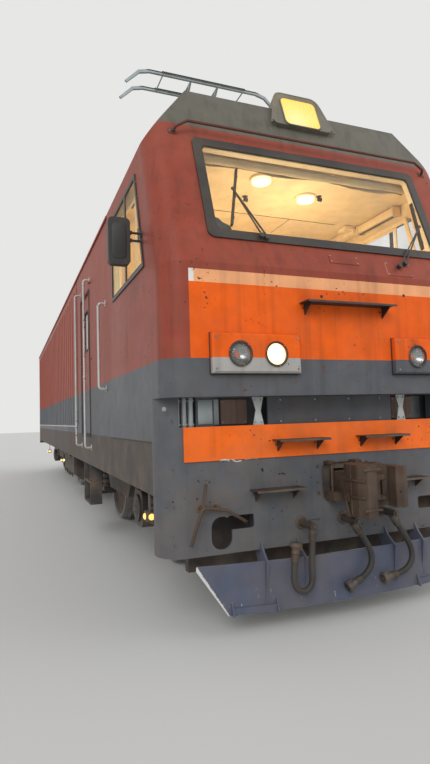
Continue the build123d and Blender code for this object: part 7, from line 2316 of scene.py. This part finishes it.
@dataclass
class RearEnd:
    """Lamps, sockets and door trim on the rear wall."""

    y: float = 8.05
    lamp: Span = (1.20, 2.30)
    socket_x: float = 0.95
    sockets: Span = (1.20, 1.38)
    socket_lean: Triple = (0, 1, -0.35)
    socket_bolts: Span = (-0.052, 0.052)
    rail: Span = (1.60, 2.60)
    rail_x: float = 1.36
    rail_out: float = 0.06
    bolt_x: float = 1.47
    door_y: float = 8.035
    pane_middle: Span = (0.0, 2.95)
    lamp_rim: Outline = ((0.070, 0.0), (0.088, 0.0), (0.086, 0.030), (0.078, 0.036), (0.070, 0.030))
    lamp_glass: Outline = ((0.0, 0.004), (0.071, 0.004), (0.068, 0.020), (0.040, 0.032),
                           (0.0, 0.036))
    socket_cap: Outline = ((0.0, 0.02), (0.050, 0.02), (0.050, 0.080), (0.044, 0.088), (0.0, 0.088))

    def wall(self) -> None:
        """Lamps, sockets, rails and edge bolts of the rear wall."""
        shape = Shape()
        for side in SIDES:
            lamp = seat((side * self.lamp[0], self.y, self.lamp[1]), BEHIND)
            shape.lathe(self.lamp_rim, lamp, 32)
            shape.lathe(self.lamp_glass, lamp, 32, slot=1)
            for z in self.sockets:
                socket = seat((side * self.socket_x, self.y, z), self.socket_lean)
                shape.block((0.130, 0.130, 0.050), (0, 0, 0.0), socket, edge=0.008)
                shape.lathe(self.socket_cap, socket, 28)
                shape.bolts(pattern(socket, self.socket_bolts, self.socket_bolts, 0.025),
                            Bolt.FOOT_BOLT, slot=2)
            x, (low, high), out = side * self.rail_x, self.rail, self.y + self.rail_out
            shape.pipe([(x, self.y, low), (x, out, low), (x, out, high), (x, self.y, high)], 0.014,
                       slot=2)
            edge = [seat((side * self.bolt_x, self.y, z), BEHIND) for z in row(1.55, 3.70, 9)]
            shape.bolts(edge, Bolt.FOOT_BOLT, slot=2)
        shape.done("rear_fittings", "carbody", Paint.gear, Paint.lens, Paint.rail)

    def door(self) -> None:
        """Glass and rubber of the gangway door's pane."""
        shape = Shape()
        middle = self.pane_middle
        shape.plate(rounded(0.416, 0.556, 0.058, 5, middle), 0.004,
                    facing_back(self.door_y - 0.0175))
        shape.border(rounded(0.460, 0.600, 0.080, 5, middle), 0.030, 0.005,
                     facing_back(self.door_y), edge=0.002, slot=1)
        shape.done("gangway_door_trim", "rear_door", Paint.door_glass, Paint.seal)

    def build(self) -> None:
        """Makes the rear wall's fittings and the gangway door's pane."""
        self.wall()
        self.door()


@dataclass
class RunningGear:
    """Covers, bolts, sand pipes and brake pipes of the two bogies."""

    middles: Places = (-4.2, 4.2)
    half_base: float = 1.5
    axle_z: float = 0.655
    box_x: float = 1.22
    wheel: float = 0.625
    disc_x: float = 0.835
    disc_bolts: float = 0.235
    pipe_x: float = 1.175
    pipe_line: Outline = ((-1.15, 0.90), (-0.70, 0.93), (0.70, 0.93), (1.15, 0.90))
    pipe_clips: Places = (-0.7, -0.2, 0.3, 0.8)
    axles: Places = (-5.7, -2.7, 2.7, 5.7)
    box_cover: Outline = (
        (0.0, 0.0), (0.128, 0.0), (0.128, 0.010), (0.100, 0.016), (0.090, 0.030), (0.060, 0.036),
        (0.0, 0.036),
    )

    def bogie(self, middle: float, body: str, name: str) -> None:
        """Adds the fittings of one bogie."""
        shape = Shape()
        for side in SIDES:
            for end in SIDES:
                y = middle + end * self.half_base
                on = outward(side, self.box_x, y, self.axle_z)
                shape.lathe(self.box_cover, on, 36)
                shape.bolts(around(on, range(22, 360, 45), 0.114, 0.012), Bolt.CASTING_BOLT, slot=1)
                shape.bolts(around(on, (30, 150, 270), 0.045, 0.036), Bolt.FOOT_BOLT, slot=1)
                foot = y + end * (self.wheel + 0.055)
                shape.pipe([(side * 1.08, middle + end * 1.98, 0.80),
                            (side * 0.92, y + end * 0.78, 0.56), (side * 0.775, foot, 0.30),
                            (side * 0.768, foot - end * 0.05, 0.16)], 0.017, bend=0.08)
                shape.rod((side * 0.768, foot - end * 0.05, 0.165),
                          (side * 0.765, foot - end * 0.075, 0.115), 0.024, 14, 0.020, slot=2)
            run = [(side * self.pipe_x, middle + y, z) for y, z in self.pipe_line]
            shape.pipe(run, 0.013, slot=1, bend=0.10)
            for y in self.pipe_clips:
                shape.block((0.026, 0.030, 0.040), (side * 1.170, middle + y, 0.93), edge=0.004)
        shape.done(f"bogie_fittings_{name}", body, Paint.gear, Paint.black, Paint.seal)

    def wheels(self, number: int, y: float) -> None:
        """Disc bolts of one wheelset."""
        shape = Shape()
        for side in SIDES:
            on = outward(side, self.disc_x, y, self.axle_z)
            ring = around(on, range(0, 360, 45), self.disc_bolts)
            shape.bolts([on_node(f"wheelset_{number}", tuple(spot.translation), (0, 1, 0.2))
                         for spot in ring],
                        Bolt.WHEEL_BOLT)
        shape.done(f"wheel_bolts_{number}", f"axle_{number}", Paint.gear)

    def build(self) -> None:
        """Makes the fittings of both bogies and all wheelsets."""
        for middle, name in zip(self.middles, ("front", "rear")):
            self.bogie(middle, f"bogie_{name}", name)
        for number, y in enumerate(self.axles, 1):
            self.wheels(number, y)


@dataclass
class RoofDress:
    """Bolts, walk boards and eyes on the roof, and the pantograph's small parts."""

    roof_z: float = 4.53
    hood_z: float = 4.98
    hoods: Places = (-1.4, 1.2, 3.8)
    hood_half: float = 0.90
    hood_long: float = 2.40
    base_z: float = 4.85
    hood_bolts: int = 8
    eyes: Span = (-0.95, 0.95)
    eye_half: float = 0.045
    vents: Span = (4.64, 4.80)
    board_x: float = 1.02
    planks: Triple = (-0.062, 0.0, 0.062)
    bearers: Triple = (-0.3, 0.5, 1.3)
    springs: Places = (-0.33, 0.33)
    spring_ends: Span = (-4.62, -4.31)
    spring_z: float = 4.886
    insulators: Outline = ((-0.56, -5.39), (0.56, -5.39), (-0.56, -4.27), (0.56, -4.27))
    insulator_cap: Outline = (
        (0.0, 0.0), (0.055, 0.0), (0.055, 0.010), (0.022, 0.012), (0.022, 0.028), (0.0, 0.030),
    )
    cable_foot: Outline = (
        (0.0, 0.0), (0.042, 0.0), (0.040, 0.014), (0.020, 0.020), (0.016, 0.030), (0.0, 0.030),
    )
    knee_cap: Outline = ((0.0, 0.0), (0.030, 0.0), (0.028, 0.008), (0.016, 0.012), (0.0, 0.012))

    def covers(self) -> None:
        """Bolts, eyes and seams of the three hoods, and the boards beside them."""
        shape = Shape()
        for middle in self.hoods:
            for side in SIDES:
                for y in row(-1.1, 1.1, self.hood_bolts):
                    shape.bolts([seat((side * (self.hood_half - 0.06), middle + y, self.hood_z),
                                      UPWARDS)],
                                Bolt.HOOD_BOLT, slot=1)
                for y in self.eyes:
                    x, at, half = side * (self.hood_half - 0.16), middle + y, self.eye_half
                    shape.pipe([(x, at - half, self.hood_z), (x, at - half, self.hood_z + 0.055),
                                (x, at + half, self.hood_z + 0.055), (x, at + half, self.hood_z)],
                               0.009, bend=0.03)
                    shape.block((0.060, 0.150, 0.008), (x, at, self.hood_z + 0.003), edge=0.002)
                shape.block((0.018, self.hood_long + 0.02, 0.022),
                            (side * (self.hood_half + 0.008), middle, self.roof_z + 0.011),
                            edge=0.004, slot=2)
                for z in self.vents:
                    shape.block((0.010, 0.060, 0.090), (side * (self.hood_half + 0.003), middle, z),
                                edge=0.003)
        for side in SIDES:
            x = side * self.board_x
            for start in row(-2.15, 3.55, 4):
                for plank in self.planks:
                    shape.block((0.055, 1.86, 0.020), (x + plank, start + 0.5, self.roof_z + 0.040),
                                edge=0.004, slot=3)
                for y in self.bearers:
                    shape.block((0.19, 0.040, 0.030), (x, start + y, self.roof_z + 0.015),
                                edge=0.004)
        shape.done("roof_fittings", "carbody", Paint.roof, Paint.bolt, Paint.seal, Paint.board)

    def spring(self, shape: Shape, start: Vector, end: Vector, radius: float, turns: int,
               slot: int) -> None:
        """Adds a coil spring between two points, with its hooks."""
        run = end - start
        way = run.normalized()
        on = seat(tuple(start), tuple(way), UPWARDS)
        points = [tuple(start), tuple(on @ Vector((0, 0, 0.03)))]
        for step in range(turns * 10 + 1):
            turn = math.tau * step / 10
            along = 0.04 + (run.length - 0.08) * step / (turns * 10)
            points.append(tuple(on @ Vector((radius * math.cos(turn), radius * math.sin(turn), along))))
        points += [tuple(on @ Vector((0, 0, run.length - 0.03))), tuple(end)]
        shape.pipe(points, 0.0048, slot=slot, bend=0.004, sides=2)

    def pantograph_base(self) -> None:
        """Springs, bolts and terminals at the pantograph's foot."""
        shape = Shape()
        for x in self.springs:
            start, end = (Vector((x, y, self.spring_z)) for y in self.spring_ends)
            self.spring(shape, start, end, 0.030, 16, 1)
        for x, y in self.insulators:
            on = seat((x, y, self.base_z), UPWARDS)
            shape.lathe(self.insulator_cap, on, 20)
            corners = (-0.042, 0.042)
            shape.bolts(pattern(on, corners, corners), Bolt.BRACKET_BOLT, slot=2)
        for side in SIDES:
            foot = Matrix.Translation((side * 0.13, -4.83, self.base_z))
            shape.bolts(pattern(foot, (-0.03, 0.03), (-0.075, 0.075)), Bolt.BEARING_BOLT, slot=2)
        for side in SIDES:
            shape.pipe([(side * 0.56, -4.24, 4.86), (side * 0.50, -4.10, 4.84),
                        (side * 0.40, -4.02, 4.70), (side * 0.36, -3.99, 4.56)], 0.012, slot=3,
                       bend=0.06)
            shape.lathe(self.cable_foot, seat((side * 0.36, -3.99, self.roof_z), UPWARDS), 20,
                        slot=2)
        shape.done("pantograph_foot_parts", "carbody", Paint.pan, Paint.black, Paint.bolt,
                   Paint.copper)

    def joints(self) -> None:
        """Caps and bolts on the pantograph's knee and head bearings."""
        lower = Shape()
        for side in SIDES:
            on = on_node("pantograph_lower_arm", (side * 0.5, -3.2113, 5.575), UPWARDS)
            lower.lathe(self.knee_cap, on, 20)
        lower.done("pantograph_knee_caps", "lower_arm", Paint.pan)
        head = Shape()
        for x in row(-0.55, 0.55, 9):
            for y in (-5.02, -4.64):
                for dy in (-0.026, 0.026):
                    found = on_node("pantograph_head", (x, y + dy * 1.4, 6.335), UPWARDS)
                    head.bolts([found], Bolt.FLANGE_BOLT)
        head.done("pantograph_head_bolts", "collector_head", Paint.bolt)

    def build(self) -> None:
        """Makes all parts of the roof."""
        self.covers()
        self.pantograph_base()
        self.joints()


@dataclass
class Underfloor:
    """Latches, straps and pipes of the boxes and reservoirs between the bogies."""

    box_x: float = 1.384
    latches: Places = (-0.68, -0.22, 0.22, 0.68)
    latch_z: float = 0.60
    hinge_z: float = 1.235
    vents: Span = (-0.45, 0.45)
    straps: Triple = (-0.55, 0.0, 0.55)
    cock: Triple = (0.3, 0.722, 0.690)
    runs: Outline = ((1.30, 1.330), (1.24, 1.360))
    run_ends: Span = (-7.30, 7.60)
    run_clips: int = 12
    tank_x: float = 0.40
    tank_z: float = 0.93
    tank_radius: float = 0.21
    lamp_x: float = 1.54
    lamp_z: float = 0.85
    lamp_ys: Places = (-7.33, 0.0, 3.9)
    lens_dome: Outline = ((0.0, 0.0), (0.026, 0.0), (0.024, 0.008), (0.015, 0.014), (0.0, 0.016))

    def boxes(self, shape: Shape) -> None:
        """Adds hinges, latches and vents on the battery boxes' lids."""
        for side in SIDES:
            for y in self.latches:
                low = outward(side, self.box_x, y, self.latch_z)
                shape.block((0.050, 0.090, 0.014), (0, 0, 0.005), low, edge=0.004)
                shape.block((0.018, 0.070, 0.020), (0, 0.010, 0.018), low, edge=0.004, slot=1)
                top = outward(side, self.box_x, y, self.hinge_z)
                shape.rod((-0.045, 0, 0.006), (0.045, 0, 0.006), 0.009, 12, on=top, edge=0.002)
            for y in self.vents:
                for z in row(0.80, 1.04, 7):
                    slat = seat((side * self.box_x, y, z), (side, 0, 0.6))
                    shape.block((0.30, 0.022, 0.006), (0, 0, 0.004), slat, edge=0.0015)

    def tanks(self, shape: Shape) -> None:
        """Adds straps and drain cocks on the air reservoirs."""
        r = self.tank_radius
        for side in SIDES:
            for y in self.straps:
                ring = [(r + 0.0005, -0.025), (r + 0.006, -0.025), (r + 0.006, 0.025),
                        (r + 0.0005, 0.025)]
                shape.lathe(ring, seat((side * self.tank_x, y, self.tank_z), BEHIND), 40)
            x, (y, high, low) = side * self.tank_x, self.cock
            shape.rod((x, y, high), (x, y, low), 0.014, 12, slot=1)

    def pipes(self, shape: Shape) -> None:
        """Adds the pipe runs beside the boxes, with their clips."""
        for side in SIDES:
            for x, z in self.runs:
                shape.pipe([(side * x, y, z) for y in self.run_ends], 0.016, slot=1)
            for y in row(-7.0, 7.2, self.run_clips):
                shape.block((0.140, 0.030, 0.075), (side * 1.27, y, 1.365), edge=0.004)

    def lamps(self) -> None:
        """The small amber lenses of the lamps under the sole bars."""
        shape = Shape()
        for side in SIDES:
            for y in self.lamp_ys:
                shape.lathe(self.lens_dome, outward(side, self.lamp_x, y, self.lamp_z), 20)
                shape.lathe(self.lens_dome,
                            seat((side * (self.lamp_x - 0.04), y - 0.06, self.lamp_z), AHEAD), 20)
        middle = (0.0, 0.0, self.lamp_z)
        glow = Glow("side_light_lens", "lamp_clear", Tone.LAMP_WARM, Tone.LAMP_AMBER, 1.6, middle,
                    9.0)
        shape.done("side_lamp_lenses", "carbody", glow)

    def build(self) -> None:
        """Makes everything under the floor."""
        shape = Shape()
        self.boxes(shape)
        self.tanks(shape)
        self.pipes(shape)
        shape.done("underfloor_fittings", "carbody", Paint.gear, Paint.black)
        self.lamps()


@dataclass
class Studio:
    """Pale floor, soft light and the camera at the photograph's viewpoint."""

    position: Triple = (-2.592, -11.67, 1.6445)
    yaw: float = 21.48
    pitch: float = 3.86
    roll: float = -1.757
    lens: float = 24.89
    sensor: float = 36.0
    sight: Span = (0.1, 400.0)
    floor_half: float = 90.0
    floor_tone: Triple = (0.62, 0.62, 0.61)
    sky_light: float = 0.62
    backdrop: Triple = (0.80, 0.80, 0.79)
    suns: tuple[tuple[str, Triple, float, float], ...] = (
        ("key", (0.55, 0.80, -0.62), 1.35, 35.0), ("fill", (-0.80, 0.25, -0.45), 0.45, 60.0),
    )
    cab_lights: tuple[tuple[str, Triple], ...] = (
        ("cab_light_left", (-0.31, -7.05, 2.95)), ("cab_light_right", (0.33, -6.80, 2.95)),
    )
    cab_energy: float = 31.0
    cab_tone: Triple = (1.0, 0.80, 0.52)
    cab_size: float = 0.20

    def camera(self) -> None:
        """Makes the camera as the photograph's lines give it."""
        yaw, pitch, roll = (math.radians(a) for a in (self.yaw, self.pitch, self.roll))
        ahead = Vector((math.sin(yaw) * math.cos(pitch), math.cos(yaw) * math.cos(pitch),
                        math.sin(pitch)))
        level = Vector((math.cos(yaw), -math.sin(yaw), 0.0))
        rise = level.cross(ahead)
        x = level * math.cos(roll) + rise * math.sin(roll)
        y = rise * math.cos(roll) - level * math.sin(roll)
        data = bpy.data.cameras.new("camera")
        data.lens = self.lens
        data.sensor_width = self.sensor
        data.clip_start, data.clip_end = self.sight
        camera = stood("camera", data)
        turn = Matrix((x, y, -ahead)).transposed().to_4x4()
        camera.matrix_world = Matrix.Translation(self.position) @ turn
        bpy.context.scene.camera = camera

    def floor(self) -> None:
        """Makes the pale floor that the wheels' flanges stand on."""
        mesh = bmesh.new()
        bmesh.ops.create_grid(mesh, x_segments=1, y_segments=1, size=self.floor_half)
        floor = stood("floor", baked(mesh, "floor"))
        board = Board("floor_paint")
        board.set("Base Color", self.floor_tone)
        board.set("Roughness", 0.9)
        floor.data.materials.append(board.material)

    def sky(self) -> None:
        """Makes an even world: grey light on the object, a pale backdrop behind it."""
        world = bpy.data.worlds.new("studio")
        bpy.context.scene.world = world
        world.use_nodes = True
        nodes, links = world.node_tree.nodes, world.node_tree.links
        nodes.clear()
        output = nodes.new("ShaderNodeOutputWorld")
        blend = nodes.new("ShaderNodeMixShader")
        lit, seen = nodes.new("ShaderNodeBackground"), nodes.new("ShaderNodeBackground")
        lit.inputs["Color"].default_value = (1.0, 1.0, 1.0, 1.0)
        lit.inputs["Strength"].default_value = self.sky_light
        seen.inputs["Color"].default_value = (*self.backdrop, 1.0)
        seen.inputs["Strength"].default_value = 1.0
        path = nodes.new("ShaderNodeLightPath")
        both = nodes.new("ShaderNodeMath")
        both.operation = "MAXIMUM"
        links.new(path.outputs["Is Camera Ray"], both.inputs[0])
        links.new(path.outputs["Is Glossy Ray"], both.inputs[1])
        links.new(both.outputs[0], blend.inputs[0])
        links.new(lit.outputs[0], blend.inputs[1])
        links.new(seen.outputs[0], blend.inputs[2])
        links.new(blend.outputs[0], output.inputs[0])

    def lamp(self, name: str, direction: Triple, energy: float, spread: float) -> None:
        """Makes one wide, soft lamp that shines along a direction."""
        data = bpy.data.lights.new(name, "SUN")
        data.energy = energy
        data.angle = math.radians(spread)
        lamp = stood(name, data)
        lamp.rotation_mode = "QUATERNION"
        lamp.rotation_quaternion = Vector(direction).to_track_quat("-Z", "Y")

    def cab_light(self, name: str, place: Triple) -> None:
        """Makes the light of one ceiling lamp."""
        data = bpy.data.lights.new(name, "POINT")
        data.energy = self.cab_energy
        data.color = self.cab_tone
        data.shadow_soft_size = self.cab_size
        lamp = stood(name, data)
        lamp.location = place
        lamp.visible_camera = False

    def build(self) -> None:
        """Makes the studio."""
        self.camera()
        self.floor()
        self.sky()
        for name, direction, energy, spread in self.suns:
            self.lamp(name, direction, energy, spread)
        for name, place in self.cab_lights:
            self.cab_light(name, place)
        bpy.context.scene.view_settings.view_transform = "Standard"


def main() -> None:
    """Builds the studio and every sub-assembly in order."""
    logging.basicConfig(level=logging.INFO, format="%(name)s: %(message)s")
    for part in (
        Studio(), BrakeHoses(), PackedNodes(), Lamps(), SunBlind(), DriverSeats(), Bellows(),
        CabRoom(), FrontFace(), FrontPlate(), CouplerCasting(), SideDress(), RearEnd(),
        RunningGear(), RoofDress(), Underfloor(),
    ):
        part.build()
        log.info("built %s", type(part).__name__)


if __name__ == "__main__":
    main()
